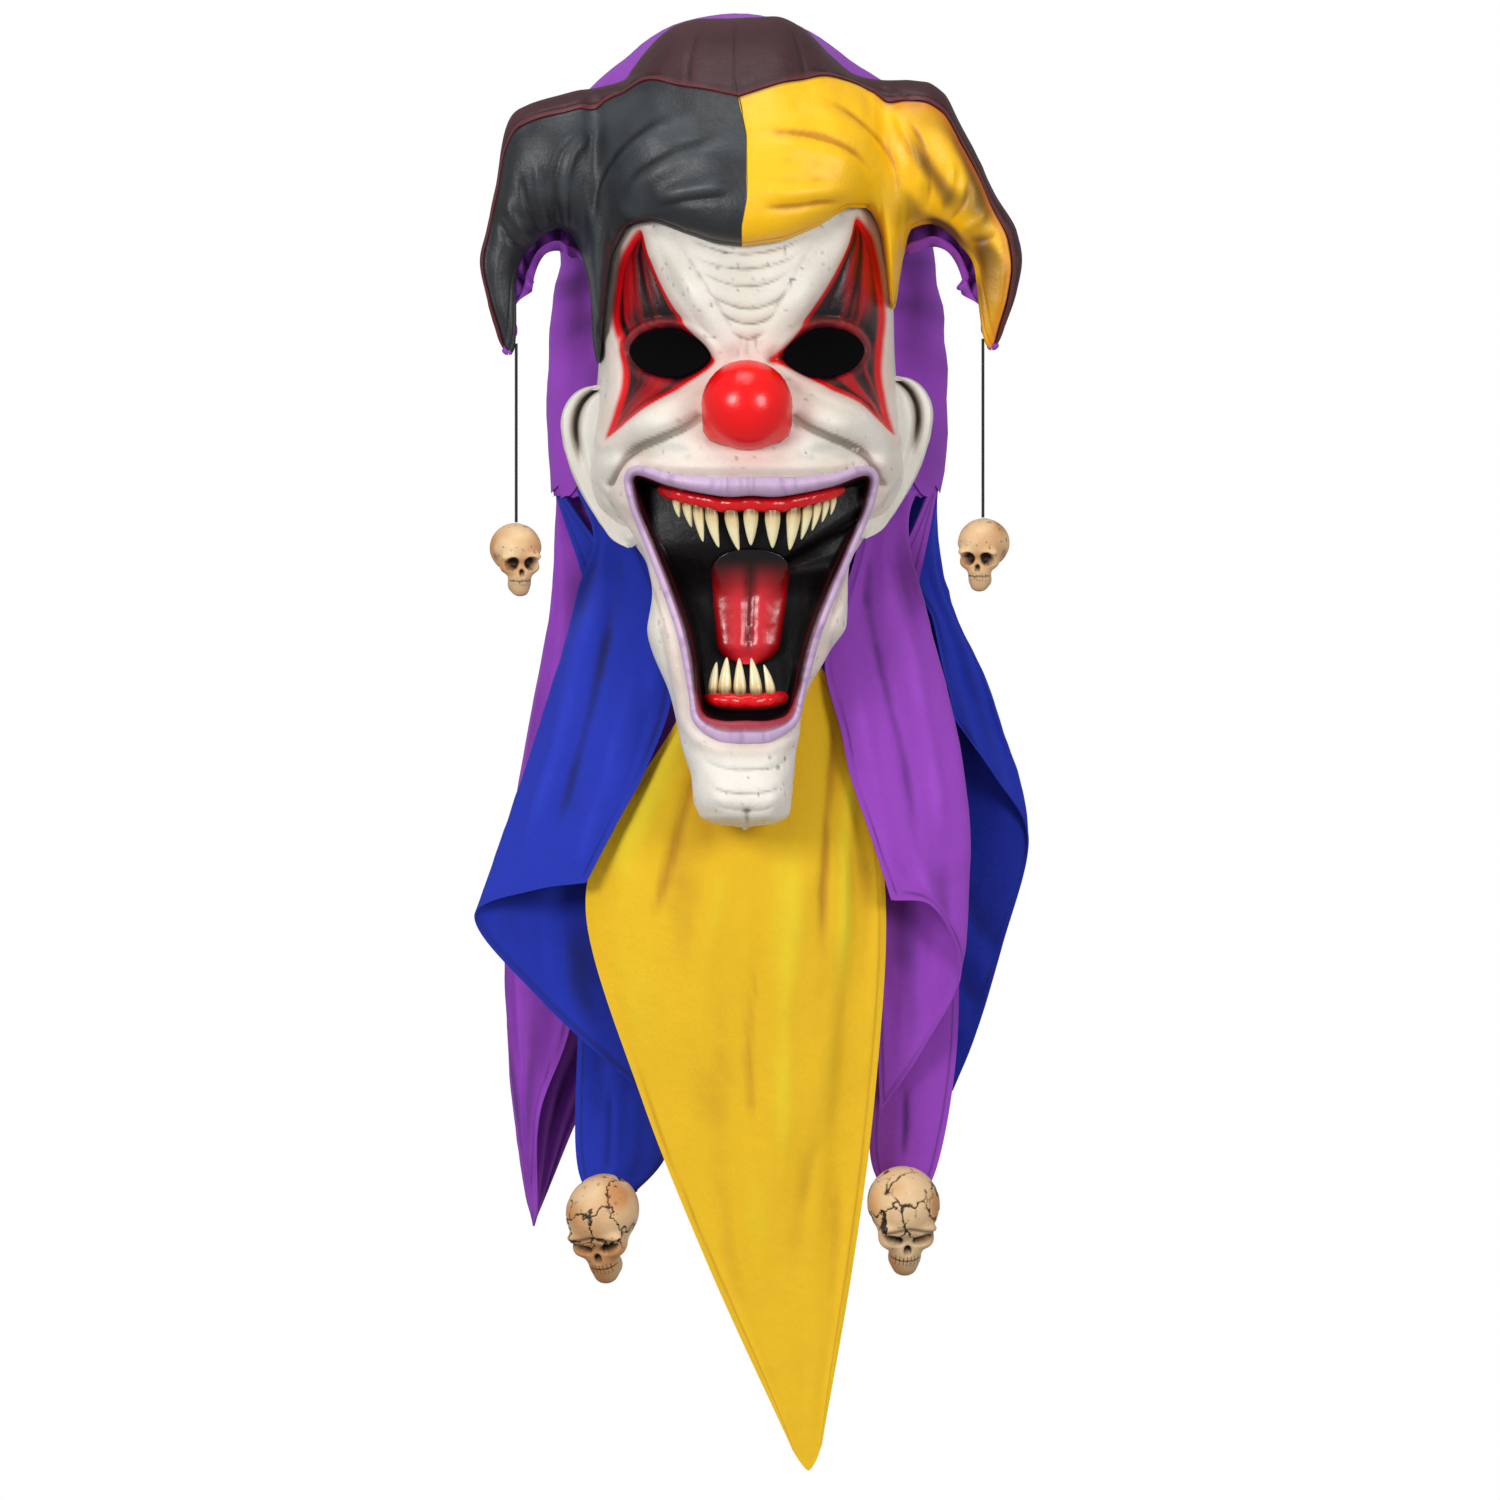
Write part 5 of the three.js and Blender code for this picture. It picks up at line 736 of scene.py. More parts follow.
# The cords, each with the small skull at its end.
CORD_TOPS = {
    "left": (-0.866 * HAT_HALF + CORD_DIAMETER / 2 + 2.2 * SEAM_GAP, -0.53 * HAT_DEPTH, -1.1 * HAT_RISE + 6),
    "right": (0.89 * HAT_HALF - CORD_DIAMETER / 2 - 3.8 * SEAM_GAP, -0.53 * HAT_DEPTH, -1.07 * HAT_RISE + 6),
}
CORD_TWIST = 0.9
for side, (x, y, z) in CORD_TOPS.items():
    drop = np.linspace(0, CORD_LENGTH, 160)[:, None]
    turn = np.linspace(0, 2 * math.pi, 19)[:-1]
    radius = CORD_DIAMETER / 2 * (0.9 + 0.1 * np.abs(np.cos(1.5 * (turn - CORD_TWIST * drop))))
    rings = stacked(x + radius * np.cos(turn), y + radius * np.sin(turn), z - drop)
    strand_tint = flat_tint(rings, paint(0.07, 0.07, 0.08))
    solid_piece(f"cord_{side}_strand", rings, strand_tint, [f"cord_{side}"], CORD)


def ellipsoid(p, centre, radii):
    """Rough distance to an egg-shaped surface, below zero inside."""
    q = (p - np.array(centre)) / np.array(radii)
    away = np.linalg.norm(q, axis=-1)
    steep = np.linalg.norm(q / np.array(radii), axis=-1)
    return away * (away - 1) / np.maximum(steep, 1e-9)


def joined(a, b, soft):
    h = np.clip(0.5 + 0.5 * (b - a) / soft, 0, 1)
    return b * (1 - h) + a * h - soft * h * (1 - h)


def carved(a, b, soft):
    return -joined(-a, b, soft)


def skull_bulk(p):
    bulk = ellipsoid(p, (0, 0.04, 0), (0.345, 0.41, 0.335))
    for side in (-1, 1):
        bulk = joined(bulk, ellipsoid(p, (side * 0.14, -0.285, -0.09), (0.135, 0.075, 0.06)), 0.06)
        bulk = joined(bulk, ellipsoid(p, (side * 0.165, -0.2, -0.24), (0.1, 0.13, 0.085)), 0.1)
    for centre, radii, soft in (
        ((0, -0.2, -0.36), (0.15, 0.14, 0.16), 0.1),
        ((0, -0.15, -0.49), (0.15, 0.15, 0.12), 0.09),
        ((0, -0.23, -0.57), (0.09, 0.06, 0.055), 0.08),
    ):
        bulk = joined(bulk, ellipsoid(p, centre, radii), soft)
    return bulk


def skull_form(p, cracked):
    """The skull with its eye sockets, temples and nose cut in. The cracked one scowls."""
    socket = (0.1, 0.17, 0.062) if cracked else (0.108, 0.17, 0.095)
    lean = -0.3 if cracked else 0.06
    form = skull_bulk(p)
    for side in (-1, 1):
        tilted = p + np.array([0, 0, lean]) * (side * p[:, :1] - 0.135)
        form = carved(form, ellipsoid(tilted, (side * 0.135, -0.37, -0.185), socket), 0.02)
        form = carved(form, ellipsoid(p, (side * 0.36, -0.1, -0.16), (0.06, 0.13, 0.1)), 0.06)
    return carved(form, ellipsoid(p, (0, -0.37, -0.3), (0.045, 0.1, 0.06)), 0.02)


def skull_surface(cracked):
    """A skull one unit tall, found by marching inwards from a ball round it: directions, points and faces."""
    ball = bpy.data.meshes.new("ball")
    made = bmesh.new()
    bmesh.ops.create_icosphere(made, subdivisions=7 if cracked else 6, radius=1)
    made.to_mesh(ball)
    made.free()
    way = np.empty(len(ball.vertices) * 3)
    ball.vertices.foreach_get("co", way)
    way = way.reshape(-1, 3)
    faces = [tuple(polygon.vertices) for polygon in ball.polygons]
    bpy.data.meshes.remove(ball)
    start = np.array([0, -0.03, -0.12])
    reach = np.full(len(way), 0.85)
    for _ in range(60):
        reach -= 0.7 * skull_form(start + way * reach[:, None], cracked)
    return way, start + way * reach[:, None], faces


def skull_cracks(p, way, front, seed):
    """The cracks between cells strewn over the skull, and the groove over its brows, from 0 to 1."""
    cells = np.random.default_rng(seed).normal(size=(34, 3))
    cells = cells / np.linalg.norm(cells, axis=1, keepdims=True)
    grain = p * 1000
    jitter = np.stack([noise(grain, 70, seed + k) for k in range(3)], axis=1)
    fine = np.stack([noise(grain, 22, seed + k) for k in range(3, 6)], axis=1)
    facing = way + 0.16 * jitter + 0.05 * fine
    away = np.sort(np.linalg.norm(facing[:, None, :] - cells[None], axis=2), axis=1)
    edge = away[:, 1] - away[:, 0]
    wide = 0.034 + 0.034 * np.clip(noise(grain, 120, seed + 9) + 0.2, 0, 1)
    above = smooth(-0.24, -0.16, p[:, 2])
    broken = smooth(-0.55, -0.2, noise(grain, 150, seed + 12))
    crack = smooth(wide * 1.5, wide * 0.6, edge) * above * (0.35 + 0.65 * broken)
    across = np.abs(p[:, 0])
    brow = hump(p[:, 2] + 0.25 * across, -0.04, 0.02) * front * smooth(0.33, 0.22, across)
    return crack, brow


def turned(p, tip, roll, yaw):
    turn_z = np.array([[math.cos(yaw), -math.sin(yaw), 0], [math.sin(yaw), math.cos(yaw), 0], [0, 0, 1]])
    turn_y = np.array([[math.cos(roll), 0, math.sin(roll)], [0, 1, 0], [-math.sin(roll), 0, math.cos(roll)]])
    turn_x = np.array([[1, 0, 0], [0, math.cos(tip), -math.sin(tip)], [0, math.sin(tip), math.cos(tip)]])
    return p @ (turn_x @ turn_y @ turn_z).T


def skull(name, node, tall, centre, tip, roll, yaw, cracked, seed):
    """A skull bell with grooved teeth, specks and, on a large one, cracks."""
    way, p, faces = skull_surface(cracked)
    grain = p * 1000
    across = np.abs(p[:, 0])
    front = smooth(0.0, -0.2, p[:, 1])
    jaw = smooth(-0.36, -0.38, p[:, 2]) * smooth(-0.49, -0.47, p[:, 2])
    gaps = np.abs(((p[:, 0] / 0.036) % 1) - 0.5) * 2
    groove = front * jaw * smooth(0.15, 0.12, across) * smooth(0.72, 0.98, gaps)
    bite = hump(p[:, 2] - 0.3 * across**2, -0.425, 0.009) * front * smooth(0.17, 0.13, across)
    depth = 0.012 * groove + 0.014 * bite
    dark = np.clip(smooth(0.004, 0.03, -skull_bulk(p)) + 0.8 * groove + bite, 0, 1)
    if cracked:
        crack, brow = skull_cracks(p, way, front, seed)
        depth = depth + 0.016 * crack + 0.014 * brow
        dark = np.clip(np.clip(dark + crack, 0, 1) + 0.7 * brow, 0, 1)
    specks = smooth(0.68, 0.8, noise(grain, 42, seed + 20))
    dark = np.clip(dark + (0.35 if cracked else 0.75) * specks, 0, 1)
    p = p - way * (depth + 0.004 * specks)[:, None] + way * (0.003 * noise(grain, 90, seed + 30))[:, None]
    stain = smooth(-0.4, 0.7, noise(p * 1000, 260, seed + 40))
    pale = mixed(paint(0.9, 0.76, 0.58), paint(0.8, 0.56, 0.34), stain)
    low = smooth(-0.3, -0.6, p[:, 2]) * 0.35
    tint = mixed(mixed(pale, paint(0.5, 0.32, 0.18), low), paint(0.14, 0.06, 0.035), dark)
    placed = turned(p * tall, tip, roll, yaw) + np.array(centre)
    return object_of(name, placed, faces, tint, [node], BONE)


for side, (x, y, z) in CORD_TOPS.items():
    centre = (x, y, z - CORD_LENGTH - SEAM_GAP - 0.34 * SMALL_SKULL_TALL)
    bell = skull(f"skull_small_{side}_bell", f"skull_small_{side}", SMALL_SKULL_TALL, centre, 0.1, 0,
                 0.25 if side == "left" else -0.25, False, 3)


def face_section(z):
    half, front, middle, rear, lean, wrap = columns(FACE_SECTIONS, -np.asarray(z, float) / FACE_DROP)
    front, middle, rear = front * FACE_FRONT, middle * FACE_FRONT, rear * FACE_FRONT
    return half * FACE_HALF, front, middle, rear, lean * FACE_HALF, np.radians(wrap)


def face_swell(x, z):
    rise = 0
    for out, drop, wide, tall, high in FACE_SWELLS:
        for side in (-1, 1):
            across = (x - side * out * FACE_HALF) / (wide * FACE_HALF)
            along = (z + drop * FACE_DROP) / (tall * FACE_DROP)
            rise = rise + high * FACE_FRONT * np.exp(-across * across - along * along)
    return rise


def face_y(x, z):
    half, front, middle, _, lean, _ = face_section(z)
    share = np.minimum(np.abs(x - lean) / half, 0.985) ** SECTION_POWER
    reach = (1 - share) ** (1 / SECTION_POWER)
    return middle + (front - middle) * reach - face_swell(x, z) * reach


def mouth_middle(z):
    down = np.clip((-np.asarray(z, float) - MOUTH_DROP) / MOUTH_TALL, 0, 1)
    return MOUTH_SHIFT - MOUTH_SWAY * down * down


def mouth_outline(share, grow, count=240):
    """The mouth opening as x, z points, moved out by a share of the lips' width and by grow."""
    right = []
    for out, down, lip in MOUTH_OUTLINE:
        right.append((out * MOUTH_HALF, lip * LIP_WIDTH, -MOUTH_DROP - down * MOUTH_TALL))
    left = [(-x, lip, z) for x, lip, z in right[-2:0:-1]]
    ring = np.array(right + left)
    at = np.arange(count) / count
    p = rail(ring, at, closed=True)
    along = rail(ring, (at + 1e-4) % 1, closed=True) - rail(ring, (at - 1e-4) % 1, closed=True)
    along[:, 1] = 0
    along /= np.linalg.norm(along, axis=1, keepdims=True)
    out = share * p[:, 1] + grow
    return stacked(mouth_middle(p[:, 2]) + p[:, 0] - along[:, 2] * out, p[:, 2] + along[:, 0] * out)


def eye_outline(side, grow, count=72):
    turn = np.arange(count) / count * 2 * math.pi
    out = np.cos(turn)
    up = np.sin(turn) * (1 - 0.3 * np.maximum(0, -out) ** 2)
    x = EYE_SPREAD + out * (EYE_HALF + grow)
    z = -EYE_DROP + up * (EYE_TALL + grow) + out * 0.12 * EYE_TALL
    return np.stack([side * x, z], axis=1)


# The red patches round the eyes: each side's outer and inner edge, from the top to the bottom corner.
PATCHES = {
    -1: ([(640, 231), (621, 256), (614, 287), (611, 320), (619, 353), (621, 384), (612, 419), (609, 440)],
         [(642, 231), (650, 259), (667, 297), (687, 327), (712, 356), (716, 364), (687, 387), (645, 411),
          (609, 440)]),
    1: ([(857, 219), (872, 235), (879, 258), (884, 287), (887, 312), (885, 343), (883, 373), (889, 412),
         (893, 436)],
        [(856, 219), (847, 248), (829, 284), (812, 310), (789, 343), (768, 363), (784, 369), (828, 391),
         (861, 406), (893, 436)]),
}
# Creases of the forehead and the chin, from the top down.
FOREHEAD_LINES = [
    [(672, 232), (700, 246), (725, 254), (748, 257), (772, 254), (800, 243), (826, 226)],
    [(680, 250), (704, 263), (728, 270), (748, 272), (770, 269), (794, 260), (816, 246)],
    [(694, 268), (712, 280), (730, 287), (748, 289), (768, 286), (788, 276), (804, 262)],
    [(702, 290), (718, 302), (734, 309), (749, 311), (764, 308), (780, 300), (794, 286)],
    [(716, 312), (732, 322), (748, 326), (764, 322), (780, 310)],
    [(728, 332), (738, 338), (748, 341), (758, 338), (768, 331)],
]
CHIN_LINES = [
    [(697, 755), (712, 764), (732, 769), (752, 769), (776, 766), (795, 752)],
    [(702, 780), (718, 789), (738, 793), (758, 792), (776, 788), (789, 778)],
    [(712, 803), (728, 809), (746, 811), (764, 810), (780, 801)],
]

# Sculpted strokes of the face: height, width, share of each end that fades, and the line in picture pixels.
FACE_STROKES = [
    (4.4, 6.5, 0.12, [(653, 228), (676, 270), (700, 308), (722, 338), (733, 362)]),
    (4.4, 6.5, 0.12, [(846, 216), (826, 262), (800, 300), (776, 334), (762, 360)]),
    (-0.5, 1.0, 0.25, [(741, 334), (739, 350), (735, 366)]),
    (-0.5, 1.0, 0.25, [(754, 332), (757, 350), (762, 366)]),
    (-0.5, 1.0, 0.25, [(748, 338), (748, 360)]),
    (-2.6, 3.0, 0.2, [(747, 806), (748, 820), (749, 830)]),
]
BROW_CREASES = [
    [(664, 222), (690, 262), (714, 300), (731, 330), (739, 352)],
    [(832, 214), (806, 258), (782, 298), (766, 328), (757, 350)],
]
CHEEK_FOLD = [(706, 414), (690, 426), (664, 438), (644, 446), (628, 456), (616, 470), (606, 492)]
# The strokes that the right side has too, mirrored.
CHEEK_STROKES = [
    (-5.0, 3.6, 0.08, CHEEK_FOLD),
    (-3.0, 2.4, 0.3, CHEEK_FOLD[3:]),
    (4.2, 9.0, 0.3, [(706, 396), (684, 408), (655, 422), (630, 434), (608, 452), (599, 476)]),
    (1.6, 5.0, 0.3, [(700, 440), (668, 455), (640, 466)]),
    (-2.4, 2.2, 0.3, [(588, 474), (606, 500), (624, 528), (640, 552), (650, 590)]),
    (-1.6, 1.8, 0.3, [(612, 496), (632, 540), (650, 585), (664, 625), (672, 665)]),
    (2.2, 4.5, 0.3, [(600, 505), (618, 538), (634, 560)]),
    (-1.2, 2.2, 0.3, [(655, 600), (664, 650), (672, 700), (684, 750)]),
    (1.8, 7.0, 0, [(722, 800), (728, 812)]),
]
RELIEF_LIMIT = 6.0


def sculpted(x, z, strokes):
    """The height that a table of strokes adds."""
    rise = 0
    for height, width, *ends, line in strokes:
        rise = rise + height * stroke(x, z, line, width, *ends)
    return rise


def patch_place(x, z):
    """Distance to the nearer red patch, below zero inside, and how far across and down it a place lies."""
    patch = np.full(x.shape, 1e9)
    across = np.zeros(x.shape)
    down = np.zeros(x.shape)
    px, py = x / PIXEL + PHOTO_MIDDLE, PHOTO_ORIGIN - z / PIXEL
    for side, (outer, inner) in PATCHES.items():
        ring = rail(photo(outer + inner[-2:0:-1]), np.linspace(0, 1, 97)[:-1], closed=True)
        away = signed(x, z, ring)
        outer, inner = np.array(outer, float), np.array(inner, float)
        inmost = np.argmin(np.abs(inner[:, 0] - PHOTO_MIDDLE))
        upper, lower = inner[: inmost + 1], inner[inmost:]
        left = np.interp(py, outer[:, 1], outer[:, 0])
        above = np.interp(py, upper[:, 1], upper[:, 0])
        below = np.interp(py, lower[:, 1], lower[:, 0])
        wide = np.where(py < inner[inmost, 1], above, below) - left
        share = np.clip((px - left) / np.where(np.abs(wide) < 1, 1, wide), 0, 1)
        near = away < patch
        patch = np.where(near, away, patch)
        across = np.where(near, share + 3 * (side > 0), across)
        down = np.where(near, (py - inner[0, 1]) / 130, down)
    return patch, across, down


def face_rise(x, z, p, eyes, mouth, patch, strand):
    above = smooth(-EYE_DROP - 4, -EYE_DROP + 6, z)
    inside = smooth(0.6, -1.4, patch)
    rise = -3.0 * smooth(1.0, -4.0, patch) + 2.2 * hump(patch, 4.5, 3.6) * smooth(-0.5, 1.5, patch)
    rise = rise + 0.9 * strand * smooth(-1.0, -5.0, patch) * smooth(3, 8, eyes)
    rise = rise + 3.0 * hump(eyes, 4.2, 2.4) * (0.55 + 0.45 * above)
    rise = rise - 1.6 * hump(eyes, 8.5, 1.7) * above * inside
    rise = rise + sculpted(x, z, FACE_STROKES) + sculpted(x, z, CHEEK_STROKES)
    for height, width, ends, line in CHEEK_STROKES:
        other = [(2 * PHOTO_MIDDLE - px, py) for px, py in line]
        rise = rise + height * stroke(x, z, other, width, ends)
    wavering = z + 1.4 * noise(p, 34, 12)
    for line in BROW_CREASES:
        rise = rise - 0.4 * stroke(x, wavering, line, 1.3, 0.4)
    for lines, deep, thin, high, over, wide in (
        (FOREHEAD_LINES, 0.9, 1.1, 0.7, 4.0, 3.2),
        (CHIN_LINES, 0.8, 1.3, 0.8, 4.5, 3.4),
    ):
        for line in lines:
            rise = rise - deep * stroke(x, wavering, line, thin, 0.3)
            rise = rise + high * stroke(x, wavering - over, line, wide, 0.3)
    rise = rise + 1.6 * hump(mouth, 5.0, 4.0) - 0.3 * hump(mouth, 0, 1.6)
    rough = 0.55 * noise(p, 16, 3) + 0.28 * noise(p, 7, 4) + 0.1 * noise(p, 3, 5)
    return rise + rough * (1 - 0.6 * inside)


def patch_tint(p, z, eyes, patch, strand):
    above = smooth(-EYE_DROP - 4, -EYE_DROP + 6, z)
    return layered(
        flat_tint(p, paint(0.16, 0.03, 0.05)),
        (smooth(-0.25, 0.8, strand), (0.72, 0.06, 0.1)),
        (0.9 * above * hump(eyes, 11, 7.0) * smooth(0.9, 0.0, strand), (0.05, 0.03, 0.04)),
        (0.8 * hump(eyes, 4.0, 2.6) * (0.35 + 0.65 * above), (0.6, 0.2, 0.22)),
        (smooth(-4.6, -2.4, patch), (0.9, 0.05, 0.09)),
    )


def face_look(x, z, p):
    """Height of the sculpted detail over the plain face, its colour with painted shade in the creases, and
    how wet it looks.
    """
    eyes = np.minimum(signed(x, z, eye_outline(-1, 0, 36)), signed(x, z, eye_outline(1, 0, 36)))
    mouth = signed(x, z, mouth_outline(1, 0, 96))
    patch, across, down = patch_place(x, z)
    fan = stacked(across * 9, down * 1.6, 0)
    strand = noise(fan, 1.0, 1) + 0.5 * noise(fan * 2.3, 1.0, 2)
    pit = smooth(0.68, 0.84, noise(p, 3.4, 6)) * smooth(2, 5, patch)
    rise = face_rise(x, z, p, eyes, mouth, patch, strand) - 0.5 * pit
    rise = RELIEF_LIMIT * np.tanh(rise / RELIEF_LIMIT)
    hollow = blurred(rise, 10) - rise
    tint = mixed(flat_tint(p, WHITE_TINT), paint(0.86, 0.83, 0.76), smooth(-0.3, 0.8, noise(p, 30, 7)) * 0.5)
    # Painted shade in the creases and hollows of the relief, together with the dark specks of the pits.
    tint = mixed(tint, SHADE_AND_SPECK_TINT, np.clip(smooth(0.12, 1.2, hollow) * 0.75 + 0.35 * pit, 0, 0.85))
    nose_away = np.hypot(x, z + NOSE_DROP)
    pink = 0.5 * smooth(56, 30, nose_away) + 0.3 * smooth(9, 1, patch) + 0.3 * smooth(14, 2, mouth)
    tint = mixed(tint, paint(0.9, 0.66, 0.62), np.clip(pink, 0, 0.55) * (0.75 + 0.25 * noise(p, 9, 8)))
    inside = smooth(0.6, -1.4, patch)
    tint = mixed(tint, patch_tint(p, z, eyes, patch, strand), inside)
    tint = mixed(tint, paint(0.03, 0.02, 0.02), smooth(1.6, 0.0, eyes))
    return rise, tint, inside


def snapped(grid, away, outline):
    """The quads that stay round a hole, with the grid's border points drawn to its outline."""
    closed = np.vstack([outline, outline[:1]])
    within = away < 0
    keep = ~(within[:-1, :-1] & within[1:, :-1] & within[:-1, 1:] & within[1:, 1:])
    rows, cols = np.nonzero(within & (away > -6))
    x, z = grid[rows, cols, 0], grid[rows, cols, 2]
    best = np.full(len(x), 1e9)
    nearest = np.stack([x, z], axis=1)
    for a, b in zip(closed[:-1], closed[1:]):
        d = b - a
        share = np.clip(((x - a[0]) * d[0] + (z - a[1]) * d[1]) / max(d @ d, 1e-9), 0, 1)
        spot = np.stack([a[0] + share * d[0], a[1] + share * d[1]], axis=1)
        far = np.hypot(x - spot[:, 0], z - spot[:, 1])
        nearest = np.where((far < best)[:, None], spot, nearest)
        best = np.minimum(best, far)
    grid[rows, cols, 0], grid[rows, cols, 2] = nearest[:, 0], nearest[:, 1]
    return keep


# The share of the face's height at which its rows start to crowd round the chin's edge.
CHIN_START = 0.965


def make_face():
    rows = np.concatenate([
        np.linspace(FACE_TOP_DROP / FACE_DROP, CHIN_START, 270)[:-1],
        CHIN_START + (1 - CHIN_START) * np.sin(np.linspace(0, math.pi / 2, 32)),
    ])
    z = -FACE_DROP * rows[:, None]
    half, front, middle, rear, lean, wrap = face_section(z)
    angle = wrap * np.linspace(-1, 1, 241)
    power = 2 / SECTION_POWER
    sine, cosine = np.sin(angle), np.cos(angle)
    x = lean + half * np.sign(sine) * np.abs(sine) ** power
    y = middle + (np.where(cosine > 0, front, rear) - middle) * np.abs(cosine) ** power
    outward = stacked(x - lean, y - middle, 0)
    outward = outward / np.maximum(np.linalg.norm(outward, axis=-1, keepdims=True), 1e-9)
    grid = stacked(x, y, z) + outward * (face_swell(x, z) * np.maximum(cosine, 0))[..., None]
    rise, tint, wet = face_look(grid[..., 0], grid[..., 2], grid)
    seen = smooth(0.02, 0.3, cosine)
    grid = grid + outward * (rise * seen)[..., None]
    # The sides that turn away keep plain white with a little painted shade; the seen front gets the sculpted
    # colour.
    tint = mixed(mixed(flat_tint(grid, WHITE_TINT), SHADE_AND_SPECK_TINT, 0.12), tint, seen)
    keep = np.ones((grid.shape[0] - 1, grid.shape[1] - 1), bool)
    for outline in (mouth_outline(1, -1.2), eye_outline(-1, 0), eye_outline(1, 0)):
        away = signed(grid[..., 0], grid[..., 2], outline)
        keep &= snapped(grid, np.where(cosine < 0.05, 50, away), outline)
    sheet_piece(
        "face_latex", grid, tint, ["face"], LATEX, FACE_WALL, keep=keep, coarse=3,
        marks={"wet": wet},
    )


make_face()

# The left ear's rim and its root on the face, in picture pixels, and its sizes in millimetres.
EAR_RIM = [
    (606, 388), (590, 387), (575, 395), (566, 409), (563, 424), (566, 446), (573, 470), (584, 494),
    (600, 520), (616, 541), (631, 549),
]
EAR_ROOT = [
    (624, 398), (616, 400), (611, 408), (607, 420), (606, 434), (607, 452), (611, 470), (619, 490),
    (630, 512), (638, 530), (641, 543),
]
EAR_WALL = 2.0
EAR_CREST = -30.0
EAR_TUCK = 13.0
RIGHT_EAR_SHIFT = 6.0


def make_ear(side):
    """The ear: a full lobe off the face's edge, its bent rim round a narrow hollow, running into the jaw."""
    v = np.linspace(0, 1, 91)[:, None]
    u = np.linspace(0, 1, 61)
    rim = rail(photo(EAR_RIM), v[:, 0])[:, None]
    root = rail(photo(EAR_ROOT), v[:, 0])[:, None]
    x, z = np.moveaxis(root * (1 - u[:, None]) + rim * u[:, None], -1, 0)
    hold = smooth(0.02, 0.14, v) * smooth(0.6, 0.42, v)
    low = smooth(0.72, 1.0, v)
    shift = RIGHT_EAR_SHIFT if side > 0 else 0
    root_y = face_y(-side * root[..., 0], root[..., 1] + shift) + EAR_TUCK
    level = root_y + (EAR_CREST - 3 - root_y) * smooth(0.0, 0.5, u) + 3 * smooth(0.5, 0.7, u)
    level = level + 15 * hold * hump(u, 0.7, 0.085) + 22 * smooth(0.9, 1.0, u) ** 2
    level = level * (1 - low) + (root_y + 7 * u) * low - 7 * hump(v, 0.9, 0.06) * hump(u, 0.45, 0.3)
    grid = stacked(x - 2.5 * hump(u, 0.95, 0.06), level, z)
    # The narrow hollow inside the rim is painted a darker beige: painted shade.
    tint = mixed(flat_tint(grid, WHITE_TINT), paint(0.5, 0.44, 0.37), 0.8 * hold * hump(u, 0.69, 0.075))
    grid = grid + normals_of(grid) * (0.35 * noise(grid, 8, 3))[..., None]
    if side > 0:
        grid = grid * np.array([-1, 1, 1]) + np.array([0, 0, shift])
    else:
        grid, tint = grid[:, ::-1], tint[:, ::-1]
    wet = np.zeros(grid.shape[:2])
    sheet_piece(
        f"ear_{side_name(side)}", grid, tint, [], LATEX, EAR_WALL, coarse=2, marks={"wet": wet}
    )


def make_eye(side):
    outline = eye_outline(side, -SEAM_GAP, 64)
    centre = outline.mean(axis=0)
    share = np.linspace(0.02, 1, 16)[:, None]
    x, z = np.moveaxis(centre + (outline - centre) * share[..., None], -1, 0)
    grid = stacked(x, face_y(x, z) + 1.0 + 3.0 * (1 - share**2), z)
    if side > 0:
        grid = grid[:, ::-1]
    name = f"eye_mesh_{side_name(side)}"
    tint = flat_tint(grid, paint(0.05, 0.05, 0.055))
    sheet_piece(f"{name}_cloth", grid, tint, [name], MESH, MESH_WALL, round_u=True)


for side in (-1, 1):
    make_ear(side)
for side in (-1, 1):
    make_eye(side)


def make_lips():
    count, sides = 320, 30
    inside, outside = [mouth_outline(share, 0, count)[:, None] for share in (0, 1)]
    middle = mouth_outline(0.5, 0, count)
    y = face_y(middle[:, 0], middle[:, 1])[:, None] + FACE_WALL / 2
    turn = np.arange(sides) / sides * 2 * math.pi
    across = (1 + np.cos(turn)) / 2
    x, z = np.moveaxis(inside * (1 - across[:, None]) + outside * across[:, None], -1, 0)
    fat = np.sign(np.sin(turn)) * np.abs(np.sin(turn)) ** 0.8
    rings = stacked(x, y - fat * LIP_DEPTH / 2, z)
    at = np.arange(count)[:, None] / count
    from_top = np.minimum(at, 1 - at)
    top = smooth(0.22, 0.14, from_top)
    bottom = smooth(0.36, 0.42, from_top)
    crease = noise(stacked(at * 190, across * 1.2, 0), 1.0, 11)
    rings[..., 1] -= np.maximum(np.sin(turn), 0) * (0.5 * crease + 0.8 * bottom + 0.4 * top)
    inner = smooth(0.8, 0.1, across)
    tint = layered(
        flat_tint(rings, paint(0.8, 0.69, 0.83)),
        (smooth(0.0, 0.9, crease) * 0.6, (0.62, 0.48, 0.68)),
        (smooth(0.25, 0.6, inner) * (0.85 - 0.6 * top), (0.45, 0.08, 0.2)),
        (smooth(0.6, 0.95, inner) * (1 - 0.8 * top) * (1 - 0.7 * bottom), (0.05, 0.02, 0.03)),
        (smooth(0.45, 0.95, inner) * bottom * 0.7, (0.7, 0.15, 0.2)),
    )
    solid_piece("lips_latex", rings, tint, ["lips"], LIP, hoop=True)


make_lips()

# The power by which the ball nose and its wings blend.
NOSE_BLEND = 16
NOSE_WALL = 2.0


